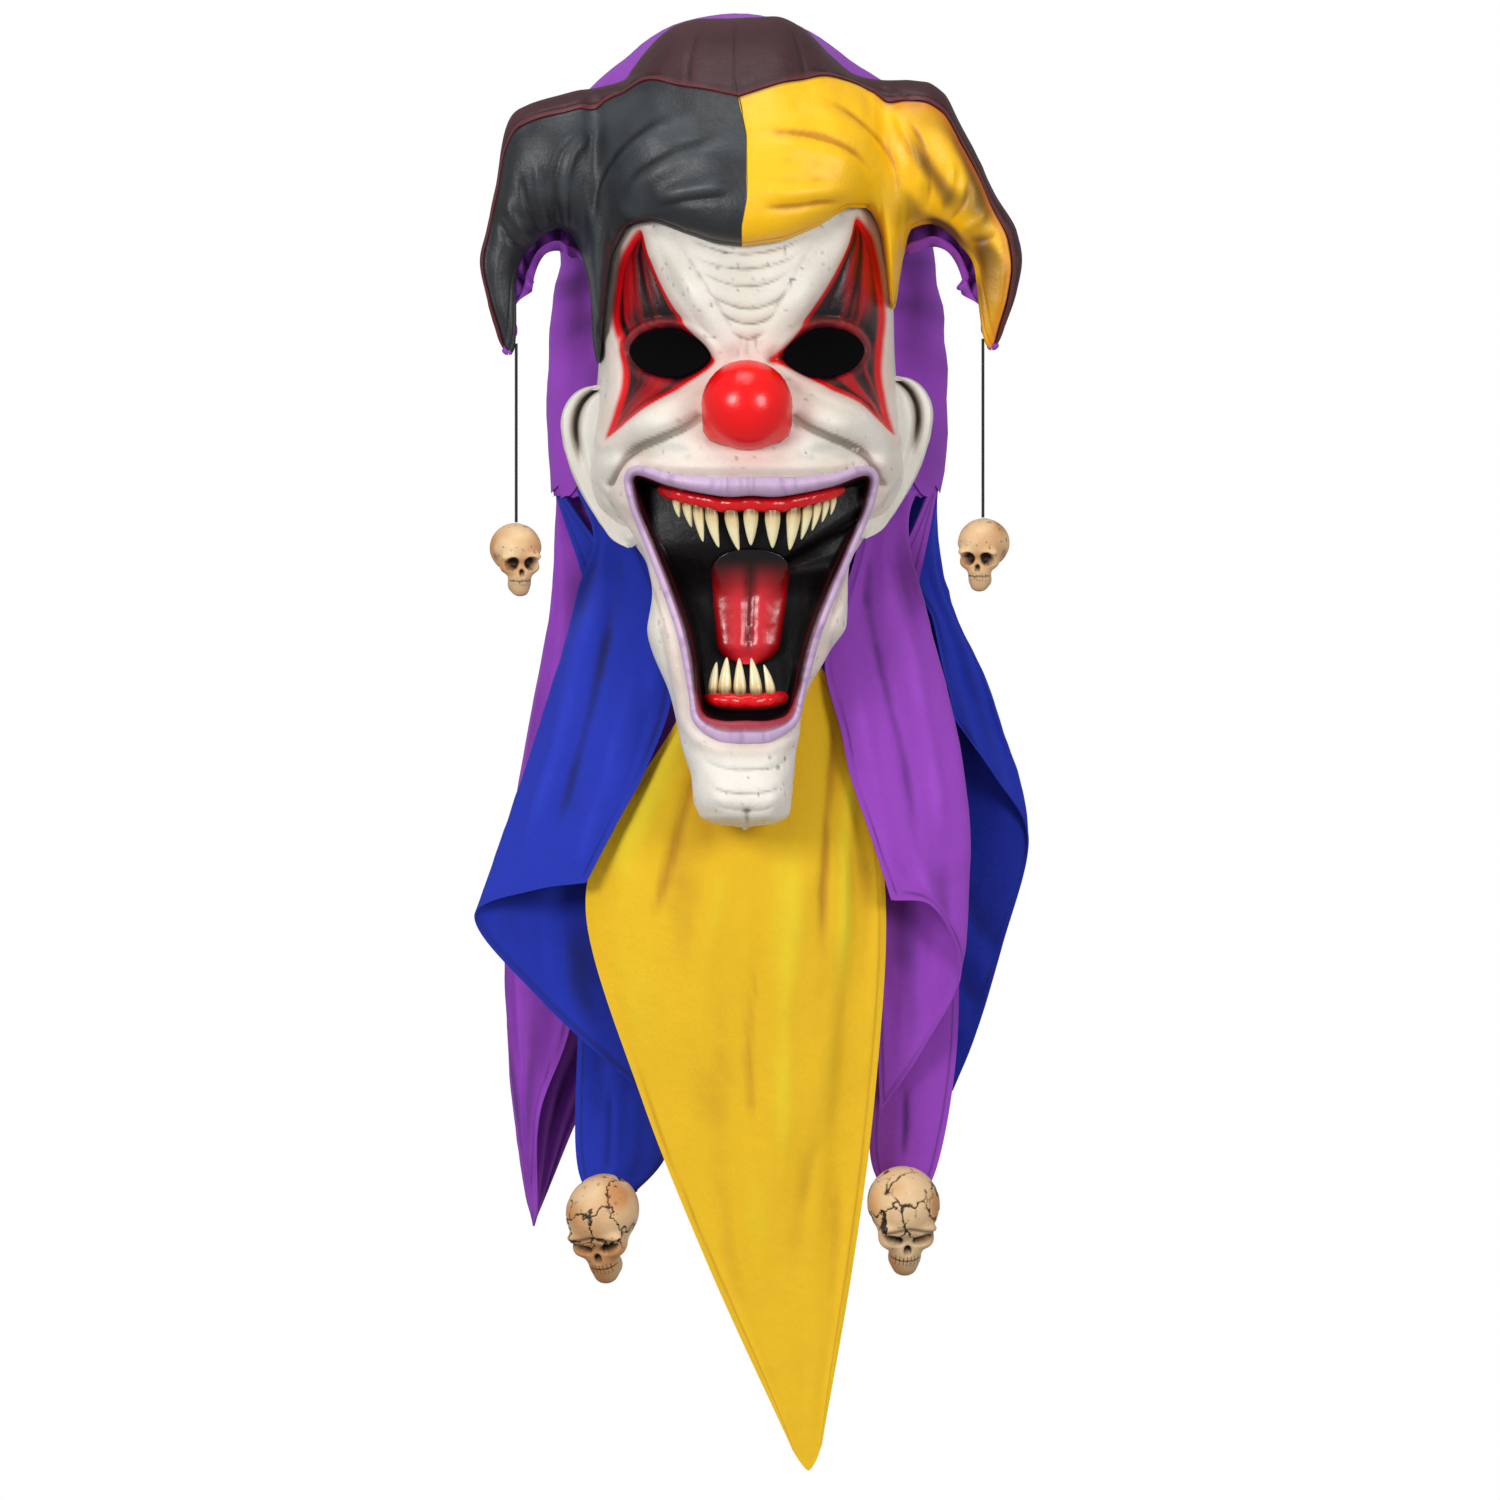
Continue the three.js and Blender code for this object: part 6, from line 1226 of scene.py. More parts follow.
def make_nose():
    """The ball nose with its two low wings, blended smoothly."""
    centre = np.array([0, face_y(0.0, -NOSE_DROP) - 0.45 * NOSE_RADIUS, -NOSE_DROP])
    polar = np.linspace(0.003, math.pi - 0.003, 110)[:, None]
    turn = np.linspace(0, 2 * math.pi, 161)[:-1]
    way = stacked(np.sin(polar) * np.cos(turn), -np.cos(polar), np.sin(polar) * np.sin(turn))
    total = np.full(way.shape[:2], NOSE_RADIUS**NOSE_BLEND)
    for side in (-1, 1):
        wing = np.array([side * 0.64, 0.05, -0.5]) * NOSE_RADIUS
        along = way @ wing
        root = along**2 - wing @ wing + (0.34 * NOSE_RADIUS) ** 2
        far = np.where(root > 0, along + np.sqrt(np.maximum(root, 0)), 0)
        total = total + np.maximum(far, 0) ** NOSE_BLEND
    reach = blurred(total ** (1 / NOSE_BLEND), 5, wrap=True)
    grid = centre + way * reach[..., None]
    grid = grid + way * (0.25 * noise(grid, 12, 21))[..., None]
    shade = smooth(0.0, 0.9, grid[..., 1] - centre[1] + 2) * 0.5
    tint = mixed(flat_tint(grid, paint(0.95, 0.04, 0.06)), paint(0.6, 0.01, 0.02), shade)
    grid = grid[:, ::-1]
    sheet_piece("nose_ball", grid, tint, ["nose"], GLOSS_RED, NOSE_WALL, coarse=5, round_u=True)


make_nose()


def mouth_back(x, z):
    down = np.clip((-z - MOUTH_DROP) / MOUTH_TALL, 0, 1)
    corner = MOUTH_CORNER_DEPTH * ((x - MOUTH_SHIFT) / MOUTH_HALF) ** 2 * (1 - down) ** 2
    return (columns(np.array(MOUTH_BACK, float), down)[0] + corner) * FACE_FRONT


def make_lining():
    count = 200
    middle = mouth_outline(0.5, 0, count)
    lip_y = face_y(middle[:, 0], middle[:, 1]) + FACE_WALL / 2
    rim = mouth_outline(LINING_TUCK, -MOUTH_WALL, count)
    centre = np.array([MOUTH_SHIFT - 0.4 * MOUTH_SWAY, -MOUTH_DROP - 0.42 * MOUTH_TALL])
    v = np.linspace(0, 0.99, 48)[:, None]
    narrow = np.where(v < 0.5, 1 - 0.2 * v, 1.8 * (1 - v))
    x, z = np.moveaxis(centre + (rim - centre) * narrow[..., None], -1, 0)
    rim_y = lip_y + LIP_DEPTH / 2 + 1.5 * SEAM_GAP
    shallow = np.maximum(0, rim_y + 3 * MOUTH_WALL - mouth_back(rim[:, 0], rim[:, 1]))
    back = mouth_back(x, z) + shallow * narrow - MOUTH_WALL
    grid = stacked(x, np.where(v < 0.5, rim_y + (back - rim_y) * v * 2, back), z)
    grid[..., 1] -= 0.6 * np.maximum(noise(grid * np.array([1, 1, 0.3]), 6, 31), 0) * smooth(0.1, 0.4, v)
    tint = mixed(flat_tint(grid, paint(0.04, 0.02, 0.025)), paint(0.34, 0.04, 0.09), smooth(0.16, 0.0, v))
    sheet_piece(
        "mouth_lining_skin", grid, tint, ["mouth_lining"], GLOSS_BLACK, -MOUTH_WALL,
        round_u=True,
    )


make_lining()


def gum_place(jaw, share):
    """The middle of a gum at a share of the mouth's half width."""
    share = np.asarray(share, float)
    x = share * MOUTH_HALF
    inset = MOUTH_WALL + 4 * SEAM_GAP + GUM_TALL / 2
    if jaw == "upper":
        table = np.array([(out, down) for out, down, _ in MOUTH_OUTLINE[:5]])
        z = -MOUTH_DROP - columns(table, np.abs(share))[0] * MOUTH_TALL - inset + GUM_TUCK
        y = face_y(0.0, -MOUTH_DROP) + 17 + 0.42 * np.abs(x * share)
    else:
        rise = 0.5 * GUM_TALL + 0.25 * GUM_TALL * (share / GUM_SPANS["lower"]) ** 2
        z = -MOUTH_DROP - MOUTH_TALL + inset + rise
        y = face_y(0.0, -MOUTH_DROP - MOUTH_TALL) + 15 + 0.8 * np.abs(x * share)
    return stacked(x + mouth_middle(z), y, z)


def make_gum(jaw, teeth):
    count, sides = 140, 26
    share = np.linspace(-GUM_SPANS[jaw], GUM_SPANS[jaw], count)
    centre = gum_place(jaw, share)[:, None]
    taper = np.sqrt(1 - 0.97 * np.abs(np.linspace(-1, 1, count)) ** 5)[:, None]
    turn = np.arange(sides) / sides * 2 * math.pi
    down = -1 if jaw == "upper" else 1
    swell = np.zeros(count)
    for at, _, wide, _ in teeth:
        swell += hump(share, at, TOOTH_HALF * wide * 1.15 / MOUTH_HALF)
    swell = np.clip(swell, 0, 1.2)[:, None]
    edge = np.maximum(np.sin(turn) * down, 0)
    front = np.maximum(-np.cos(turn), 0)
    radius = (1.12 + 0.3 * (swell - 0.5) * front - 0.42 * (swell - 0.75) * edge) * taper / 2
    ring_y = centre[..., 1] + np.cos(turn) * GUM_DEPTH * radius
    rings = stacked(centre[..., 0], ring_y, centre[..., 2] + np.sin(turn) * GUM_TALL * radius)
    rings = rings + 0.25 * noise(rings, 3.5, 41)[..., None] * np.array([0, 1, 1])
    # Painted shade: darker red in the recesses between the teeth's bulges and on the gum's side tucked away
    # from the teeth.
    dark = 0.75 * np.clip(0.55 - swell, 0, 1) * front + 0.5 * smooth(0.4, 1, -np.sin(turn) * down)
    tint = mixed(flat_tint(rings, paint(0.88, 0.05, 0.09)), paint(0.3, 0.01, 0.03), np.clip(dark, 0, 1))
    solid_piece(f"gum_{jaw}_flesh", rings, tint, [f"gum_{jaw}"], GLOSS_RED)


# A tooth's width along it.
TOOTH_PROFILE = np.array([
    (0, 0.8), (0.12, 0.95), (0.3, 1.0), (0.65, 0.72), (0.9, 0.34), (0.97, 0.18), (1, 0.03),
])


def make_tooth(jaw, number, at, long, wide, lean):
    up = -1 if jaw == "upper" else 1
    root = gum_place(jaw, at)
    length = long * TOOTH_LENGTH
    along = np.linspace(0, 1, 30)[:, None]
    turn = np.arange(20) / 20 * 2 * math.pi
    bulge = 1 + 0.05 * np.cos(4 * turn + 0.8 * number) + 0.05 * np.cos(2 * turn)
    radius = bulge * wide * TOOTH_HALF * columns(TOOTH_PROFILE, along)[0]
    x = root[0] + lean * length * along**2 + np.cos(turn) * radius
    y = root[1] + 0.06 * length * along**2 + np.sin(turn) * 0.85 * radius
    rings = stacked(x, y, root[2] + up * (GUM_TALL / 2 - TOOTH_ROOT + along * (length + TOOTH_ROOT)))
    streak = noise(stacked(turn * 4, along * 3, number), 1.0, 51)
    tint = layered(
        flat_tint(rings, paint(0.95, 0.9, 0.72)),
        (smooth(0.6, 0.2, along) * (0.7 + 0.3 * streak), (0.82, 0.66, 0.38)),
        (smooth(0.34, 0.16, along) * (0.8 + 0.2 * streak), (0.32, 0.16, 0.07)),
    )
    node = f"tooth_{jaw}_{number}"
    solid_piece(f"{node}_enamel", rings, tint, [node], IVORY)


for jaw, teeth in (("upper", UPPER_TEETH), ("lower", LOWER_TEETH)):
    make_gum(jaw, teeth)
    for number, tooth in enumerate(teeth, 1):
        make_tooth(jaw, number, *tooth)


# The share of the tongue's length at which its tip starts to round off.
TONGUE_TIP = 0.82


def make_tongue():
    t = np.linspace(0, 1, 90)[:, None]
    turn = np.arange(56) / 56 * 2 * math.pi
    z = -MOUTH_DROP - 0.3 * MOUTH_TALL - t * TONGUE_LENGTH
    root_round = np.sqrt(1 - 0.9 * np.clip(1 - t / 0.2, 0, 1) ** 2)
    tip_round = np.sqrt(np.clip(1 - (np.maximum(t - TONGUE_TIP, 0) / 0.185) ** 2, 0.12, 1))
    half = TONGUE_HALF * (1 - 0.28 * t) * root_round * tip_round
    thick = TONGUE_THICK * (0.7 + 0.5 * t) * (0.15 + 0.85 * smooth(0.0, 0.3, t))
    thick = thick * (0.45 + 0.55 * smooth(1, TONGUE_TIP, t))
    back = mouth_back(MOUTH_SHIFT, z) - MOUTH_WALL - 3
    out = np.cos(turn)
    lift = np.maximum(np.sin(turn), 0) ** 0.55
    groove = 0.34 * hump(out, 0, 0.16) * smooth(1.0, 0.75, t) * smooth(0.0, 0.1, t)
    rings = stacked(mouth_middle(z) + out * half, back - lift * thick * (1 - groove), z)
    bumps = noise(rings, 4.5, 61) * 0.3 + noise(rings * np.array([1, 1, 0.4]), 9, 62) * 0.5
    rings[..., 1] -= bumps * lift
    # Painted shade: darker where the sides turn away, dark in the middle groove, and near-black at the top,
    # deep in the mouth.
    tint = layered(
        flat_tint(rings, paint(0.9, 0.17, 0.22)),
        (smooth(0.2, 0.9, np.abs(out)), (0.66, 0.04, 0.08)),
        (np.clip(groove * 2.6, 0, 1), (0.3, 0.01, 0.03)),
        (smooth(0.5, 0.06, t), (0.04, 0.01, 0.015)),
    )
    solid_piece("tongue_flesh", rings, tint, ["tongue"], GLOSS_RED)


make_tongue()


def cap_grid(table, side, at, round_from, round_to, down):
    """Points of a cap strip: a column for each station value, a row for each place round the station."""
    keyed = np.column_stack([np.arange(len(table)), table])
    crown_out, crown_up, crown_y, brim_out, brim_up, brim_y, deep, seam = columns(keyed, at)
    crown = stacked(side * crown_out * HAT_HALF, crown_y * HAT_DEPTH, crown_up * HAT_RISE)
    brim = stacked(side * brim_out * HAT_HALF, brim_y * HAT_DEPTH, brim_up * HAT_RISE)
    seam_round = np.arccos(1 - 2 * seam) / math.pi
    ends = [seam_round if end == "seam" else np.full(len(at), float(end)) for end in (round_from, round_to)]
    girth = np.linalg.norm(crown - brim, axis=1) + deep * HAT_DEPTH
    margin = np.minimum(SEAM_GAP / girth, 0.3 * (ends[1] - ends[0]))
    v = np.linspace(0, 1, down)[:, None]
    turn = ((ends[0] + margin) * (1 - v) + (ends[1] - margin) * v) * math.pi
    past_nub = np.clip(at - HORN_NUB, 0, None) / (len(table) - 1 - HORN_NUB)
    tip = np.sqrt(np.clip(1 - past_nub**2, 0.0009, 1))
    grid = (crown + brim) / 2 + (crown - brim) / 2 * (np.cos(turn) * tip)[..., None]
    plain = grid[..., 1] - deep * HAT_DEPTH * np.sin(turn) * tip
    depth = plain.copy()
    for _ in range(CAP_SMOOTHING):
        depth[:, 1:-1] = (depth[:, :-2] + 2 * depth[:, 1:-1] + depth[:, 2:]) / 4
    share = smooth(0, 0.25 * math.pi, turn) * smooth(2 * math.pi, 1.75 * math.pi, turn)
    grid[..., 1] = plain + (depth - plain) * share
    return grid


def jogged(grid):
    """The centre seam's sidestep: the places near it move across by the seam's own bend."""
    bend = np.interp(-grid[..., 2] / HAT_RISE, SEAM_BEND[0], SEAM_BEND[1])
    grid[..., 0] += bend * hump(grid[..., 0], -3, 22)
    return grid


# Passes that even out a cap strip's depth from station to station.
CAP_SMOOTHING = 160
# The seam's bend: shares of the hat's rise from above to below, and the millimetres across there.
SEAM_BEND = ([-1.3, -0.95, -0.6, -0.25, 0.15, 0.32, 0.95], [0, -2.6, -1.1, 5.5, 4.5, 0.6, -1.0])
# Folds of the cap's halves: height, width and the line in picture pixels.
CHARCOAL_FOLDS = [
    (2.2, 5, [(648, 208), (672, 198), (700, 192), (738, 186)]),
    (-1.6, 3, [(640, 214), (668, 206), (700, 202), (738, 200)]),
    (2.0, 6, [(622, 222), (640, 188), (678, 164), (735, 152)]),
    (-1.8, 3.5, [(616, 214), (636, 176), (680, 150), (733, 138)]),
    (1.8, 5, [(598, 232), (608, 186), (640, 146), (700, 118)]),
    (-1.8, 3, [(590, 240), (598, 192), (622, 150), (676, 112)]),
    (2.0, 3.5, [(572, 246), (566, 206), (572, 160), (600, 124)]),
    (-2.0, 2.4, [(564, 240), (556, 200), (560, 160), (580, 132)]),
    (2.0, 3.0, [(552, 236), (540, 196), (538, 160)]),
    (-1.8, 2.2, [(545, 238), (528, 206), (520, 172)]),
    (1.6, 3.0, [(536, 244), (515, 222), (506, 196)]),
    (-1.6, 2.2, [(529, 252), (508, 238), (498, 220)]),
    (1.4, 3.0, [(500, 250), (498, 290), (506, 330)]),
    (-1.2, 2.4, [(586, 262), (592, 300), (600, 350)]),
]
YELLOW_FOLDS = [
    (2.2, 5, [(850, 196), (824, 194), (795, 196), (756, 196)]),
    (-1.8, 3, [(856, 206), (826, 206), (796, 210), (756, 212)]),
    (2.0, 6, [(872, 200), (852, 168), (812, 152), (757, 150)]),
    (-1.8, 3.5, [(878, 192), (856, 156), (812, 138), (757, 134)]),
    (1.8, 5, [(890, 214), (880, 160), (842, 124), (790, 112)]),
    (-1.8, 3, [(898, 214), (892, 164), (862, 124), (820, 98)]),
    (2.0, 3.5, [(915, 222), (918, 176), (905, 134), (880, 104)]),
    (-2.0, 2.4, [(924, 222), (930, 182), (922, 146), (905, 118)]),
    (2.0, 3.0, [(936, 224), (950, 188), (950, 156)]),
    (-1.8, 2.2, [(944, 228), (964, 204), (970, 180)]),
    (1.6, 3.0, [(956, 236), (978, 222), (988, 206)]),
    (-1.6, 2.2, [(964, 246), (988, 240), (1000, 232)]),
    (1.4, 3.0, [(1000, 262), (1000, 290), (996, 320)]),
]
CROWN_CREASES = [
    [(560, 104), (600, 88), (650, 70)],
    [(700, 30), (690, 60), (688, 92)],
    [(790, 26), (800, 56), (806, 84)],
    [(860, 84), (900, 96), (940, 120)],
    [(960, 150), (985, 195), (1008, 240)],
    [(505, 150), (520, 118), (560, 100)],
]
LAST_STATION = len(CHARCOAL_STATIONS) - 1
# Rows of points across each part of the cap.
FRONT_ROWS = 61
LINING_ROWS = 33
CROWN_ROWS = 25
# The brim's welt ends and its stitching runs at these distances from the edge.
WELT_WIDTH = 8
WELT_STITCH = 3.6
LINING_START = HORN_STATION - 0.3
# Station values for the columns of points, outwards from the centre.
CAP_COLUMNS = np.linspace(0, LAST_STATION, 221)


def charcoal_tint(grid, hollow):
    cloud = noise(grid * np.array([0.6, 1, 1.4]), 46, 78) + 0.5 * noise(grid, 15, 79)
    return layered(
        flat_tint(grid, paint(0.14, 0.155, 0.17)),
        (smooth(0.1, 0.9, cloud) * 0.5, (0.27, 0.3, 0.32)),
        (smooth(0.0, 0.8, -cloud) * 0.7, (0.08, 0.09, 0.1)),
        # Painted highlight on the fold crests, then painted shade in the creases.
        (smooth(0.2, 1.4, -hollow) * 0.6, (0.36, 0.39, 0.41)),
        (smooth(0.05, 0.9, hollow) * 0.9, (0.05, 0.06, 0.07)),
    )


def yellow_tint(grid, hollow, from_seam, x, z):
    """The yellow half's colour with its smudges and painted shade in its creases, taken at the places x, z
    that its points had before the folds.
    """
    streaks = noise(stacked(x + 0.7 * z, grid[..., 1], 0.35 * (z - 0.7 * x)), 15, 73)
    horn = smooth(88, 128, x + 12 * streaks) * smooth(182, 150, x)
    smudge = smooth(-0.5, 0.5, streaks + 0.5 * noise(grid, 30, 79)) * horn
    smudge = smudge * smooth(-110, -50, z) * smooth(70, 20, z)
    return layered(
        flat_tint(grid, paint(0.99, 0.76, 0.02)),
        # Painted shade in the creases.
        (smooth(0.05, 0.9, hollow) * 0.8, (0.72, 0.45, 0.03)),
        (np.clip(horn * smooth(-0.6, 0.4, streaks), 0, 1) * 0.5, (0.7, 0.42, 0.03)),
        (np.clip(smudge, 0, 1) * 0.85, (0.22, 0.12, 0.03)),
        (smooth(9, 1, from_seam) * 0.6 * smooth(60, 110, x), (0.8, 0.38, 0.04)),
    )


def make_front(name, table, side, at, strokes, made):
    """A coloured front half of the cap with its horn, hemmed along the brim."""
    plain = jogged(cap_grid(table, side, at, "seam", 1.0, FRONT_ROWS))
    x, z = plain[..., 0], plain[..., 2]
    rise = sculpted(x, z, strokes) + 0.5 * noise(plain, 18, 71) + 0.2 * noise(plain, 6, 72)
    from_seam, _ = travelled(plain, 0)
    to_brim = from_seam[-1:] - from_seam
    rise = rise + 0.9 * smooth(7, 3, to_brim) - 0.8 * hump(to_brim, WELT_WIDTH, 1.0)
    rise = rise - 0.9 * hump(to_brim, WELT_STITCH, 0.7) + 0.8 * smooth(3.5, 0, from_seam)
    grid = plain + normals_of(plain) * (rise * smooth(0, 1.5, from_seam))[..., None]
    hollow = blurred(rise, 6) - rise
    if name == "charcoal":
        tint = charcoal_tint(grid, hollow)
    else:
        tint = yellow_tint(grid, hollow, from_seam, x, z)
    tint = mixed(tint, paint(0.05, 0.04, 0.04), smooth(1.2, 0.2, from_seam) * 0.7)
    sheet_piece(f"cap_{name}_skin", grid, tint, [f"cap_{name}"], made, HAT_WALL, coarse=2)


def make_horn_lining(table, side, at):
    """The loose cloth on the inside and back of a horn."""
    lined = at[at >= LINING_START]
    grid = cap_grid(table, side, lined, 1.0, 2.0, LINING_ROWS)
    hang = grid[0] - grid[-1]
    hang = hang / np.maximum(np.linalg.norm(hang, axis=-1, keepdims=True), 1e-6)
    loose = 17 + 3 * np.sin(lined * 1.7)
    loose = loose * smooth(LINING_START, HORN_STATION + 1, lined) * smooth(15.2, 13.6, lined)
    share = np.linspace(0, 1, LINING_ROWS)[:, None]
    grid = grid + hang * (loose * hump(share, 0.1, 0.13))[..., None]
    ripple = 0.8 * noise(grid, 14, 74) + 0.5 * noise(grid * np.array([1, 1, 0.4]), 6, 75)
    ripple = ripple + 2.4 * np.sin(lined * 4.2 + 5 * share) * smooth(0.0, 0.1, share)
    grid[..., 1] += ripple
    # Painted shade: a darker copy of the purple where the folds sink back.
    tint = mixed(flat_tint(grid, PURPLE_TINT), PURPLE_TINT * 0.35, smooth(-0.5, 2.4, ripple))
    name = f"horn_lining_{side_name(side)}"
    sheet_piece(f"{name}_cloth", grid, tint, [name], CLOTHS["purple"], HOOD_WALL)


def make_crown():
    """The maroon panel over the top and along the outside of both horns."""
    left = cap_grid(CHARCOAL_STATIONS, -1, CAP_COLUMNS[::-1], 0.0, "seam", CROWN_ROWS)
    right = cap_grid(YELLOW_STATIONS, 1, CAP_COLUMNS[1:], 0.0, "seam", CROWN_ROWS)
    grid = jogged(np.concatenate([left, right], axis=1))
    from_top, _ = travelled(grid, 0)
    to_seam = from_top[-1:] - from_top
    rise = 0.6 * noise(grid, 20, 76) + 0.25 * noise(grid, 7, 77) + 0.8 * smooth(6, 2, to_seam)
    rise = rise - 0.8 * hump(to_seam, 5.5, 0.8) - 0.7 * hump(grid[..., 0], -8, 0.9)
    for line in CROWN_CREASES:
        rise = rise - 0.9 * stroke(grid[..., 0], grid[..., 2], line, 1.6, 0.25)
    grid = grid + normals_of(grid) * (rise * smooth(0, 1.5, from_top))[..., None]
    tint = layered(
        flat_tint(grid, paint(0.23, 0.085, 0.11)),
        (smooth(4.5, 2.5, to_seam) * 0.7, (0.42, 0.16, 0.18)),
        (smooth(0.1, 0.9, noise(grid, 38, 70)) * 0.5, (0.33, 0.17, 0.19)),
        # Painted shade in the creases.
        (smooth(0.05, 0.7, blurred(rise, 6) - rise) * 0.9, (0.12, 0.03, 0.05)),
    )
    sheet_piece("cap_crown_skin", grid, tint, ["cap_crown"], MAROON, HAT_WALL, coarse=2)


for name, table, side, at, strokes, made in (
    ("charcoal", CHARCOAL_STATIONS, -1, CAP_COLUMNS[::-1], CHARCOAL_FOLDS, CHARCOAL),
    ("yellow", YELLOW_STATIONS, 1, CAP_COLUMNS, YELLOW_FOLDS, YELLOW),
):
    make_front(name, table, side, at, strokes, made)
    make_horn_lining(table, side, at)
make_crown()


def sewn_rim(turn):
    """The hood's rim where it is sewn to the face's edge, found by steps."""
    radius = np.full(np.shape(turn), float(FACE_HALF))
    for _ in range(8):
        z = np.maximum(radius * np.cos(turn) - HOOD_AXIS_DROP, -HOOD_HEM_DROP)
        radius = (face_section(z)[0] - FACE_WALL / 2) / np.maximum(np.sin(turn), 1e-3)
    return radius


def hood_section(angle):
    """Rim radius, swell and rim y at an angle from the top in degrees."""
    angle = np.abs(np.asarray(angle, float))
    rim, swell, rim_y = columns(HOOD_SECTIONS, angle)
    rim = rim * HOOD_HALF
    sewn = smooth(0.75 * HOOD_SEWN_TURN, HOOD_SEWN_TURN, angle)
    below = smooth(HOOD_HEM_TURN, 1.05 * HOOD_HEM_TURN, angle)
    tied = rim * (1 - sewn) + sewn_rim(np.radians(angle)) * sewn
    tied = tied * (1 - below) + rim * below
    rim = np.where((angle > 0.7 * HOOD_SEWN_TURN) & (below < 1), tied, rim)
    return rim, swell * HOOD_HALF, rim_y * HOOD_BACK, 0.36 * HOOD_BACK


# The share of the way from the hood's rim to its pole at which it is widest, and the fold under its hem.
HOOD_WIDEST = 0.3
HEM_FOLD = 1.4


def make_hood():
    angle = np.linspace(-180, 180, 241)[:-1]
    v = np.concatenate([np.linspace(0, HOOD_WIDEST, 26)[:-1], np.linspace(HOOD_WIDEST, 0.9995, 62)])[:, None]
    rim, swell, rim_y, middle_y = hood_section(angle)
    t = np.minimum(v / HOOD_WIDEST, 1)
    bend = np.maximum(v - HOOD_WIDEST, 0) / (1 - HOOD_WIDEST) * math.pi / 2
    ahead = v < HOOD_WIDEST
    radius = np.where(ahead, rim + (swell - rim) * np.sin(t * math.pi / 2), swell * np.cos(bend))
    y = np.where(ahead, rim_y + (middle_y - rim_y) * t, middle_y + (HOOD_BACK - middle_y) * np.sin(bend))
    turn = np.radians(angle)
    lean = HOOD_LEAN * np.maximum(0, np.cos(turn)) ** 2
    grid = stacked(radius * np.sin(turn) - lean, y, radius * np.cos(turn) - HOOD_AXIS_DROP)
    pleat = np.sin(turn * 26 + 2.2 * noise(grid, 60, 81)) * smooth(0.55, 0.05, v)
    pleat = pleat * smooth(30, 70, np.abs(angle))
    ripple = 1.1 * pleat + 1.6 * noise(grid, 34, 82) + 0.5 * noise(grid, 12, 83)
    grid = grid + normals_of(grid, True) * (ripple * smooth(0, 0.06, v) * smooth(1.0, 0.93, v))[..., None]
    hem = -HOOD_HEM_DROP - HEM_FOLD
    below = grid[..., 2] < hem
    beside = np.roll(below, -1, axis=1)
    keep = ~(below[:-1] & below[1:] & beside[:-1] & beside[1:])
    grid[..., 2] = np.maximum(grid[..., 2], hem)
    # Painted shade where the ripples sink in, and a painted highlight where they rise.
    tint = mixed(flat_tint(grid, PURPLE_TINT), PURPLE_TINT * 0.6, smooth(0.2, 2.6, -ripple))
    tint = mixed(tint, PURPLE_TINT * 1.25, smooth(0.6, 2.4, ripple) * 0.5)
    sheet_piece(
        "hood_cloth", grid, tint, ["hood"], CLOTHS["purple"], HOOD_WALL, keep=keep,
        round_u=True, coarse=2,
    )


make_hood()


def hem_point(side, x, y):
    """A point under the hood's hem, from its y at the side or its x at the back."""
    fall = HOOD_HEM_DROP - HOOD_AXIS_DROP
    z = -HOOD_HEM_DROP - 2 * SEAM_GAP
    if y is HEM:
        _, swell, _, middle_y = hood_section(180 - math.degrees(math.atan2(abs(x), fall)))
        share = min(math.hypot(x, fall) / float(swell), 1)
        return (x, middle_y + (HOOD_BACK - middle_y) * math.sqrt(1 - share * share) - HOOD_WALL / 2, z)
    low, high = 110.0, 179.0
    for _ in range(24):
        angle = (low + high) / 2
        rim, swell, rim_y, middle_y = [float(k) for k in hood_section(angle)]
        if y < middle_y:
            radius = rim + (swell - rim) * math.sin((y - rim_y) / (middle_y - rim_y) * math.pi / 2)
        else:
            radius = swell * math.sqrt(max(0, 1 - ((y - middle_y) / (HOOD_BACK - middle_y)) ** 2))
        if -radius * math.cos(math.radians(angle)) < fall:
            low = angle
        else:
            high = angle
    return (side * (fall * math.tan(math.radians(180 - low)) - HOOD_WALL / 2), y, z)


def rail_points(points):
    """A rail of a cloth point in millimetres."""
    side = 1 if points[1][0] > 0 else -1
    found = []
    for x, down, y, *jaw in points:
        z = -CLOTH_TOP_DROP - down * CLOTH_DROP
        if x is HEM:
            found.append(hem_point(side, None, y * CLOTH_DEPTH))
        elif y is HEM:
            found.append(hem_point(side, x * CLOTH_HALF, HEM))
        elif jaw:
            found.append((x * CLOTH_HALF, float(face_section(z)[3]) + y * JAW_CLEAR, z))
        else:
            found.append((x * CLOTH_HALF, y * CLOTH_DEPTH, z))
    return np.array(found)


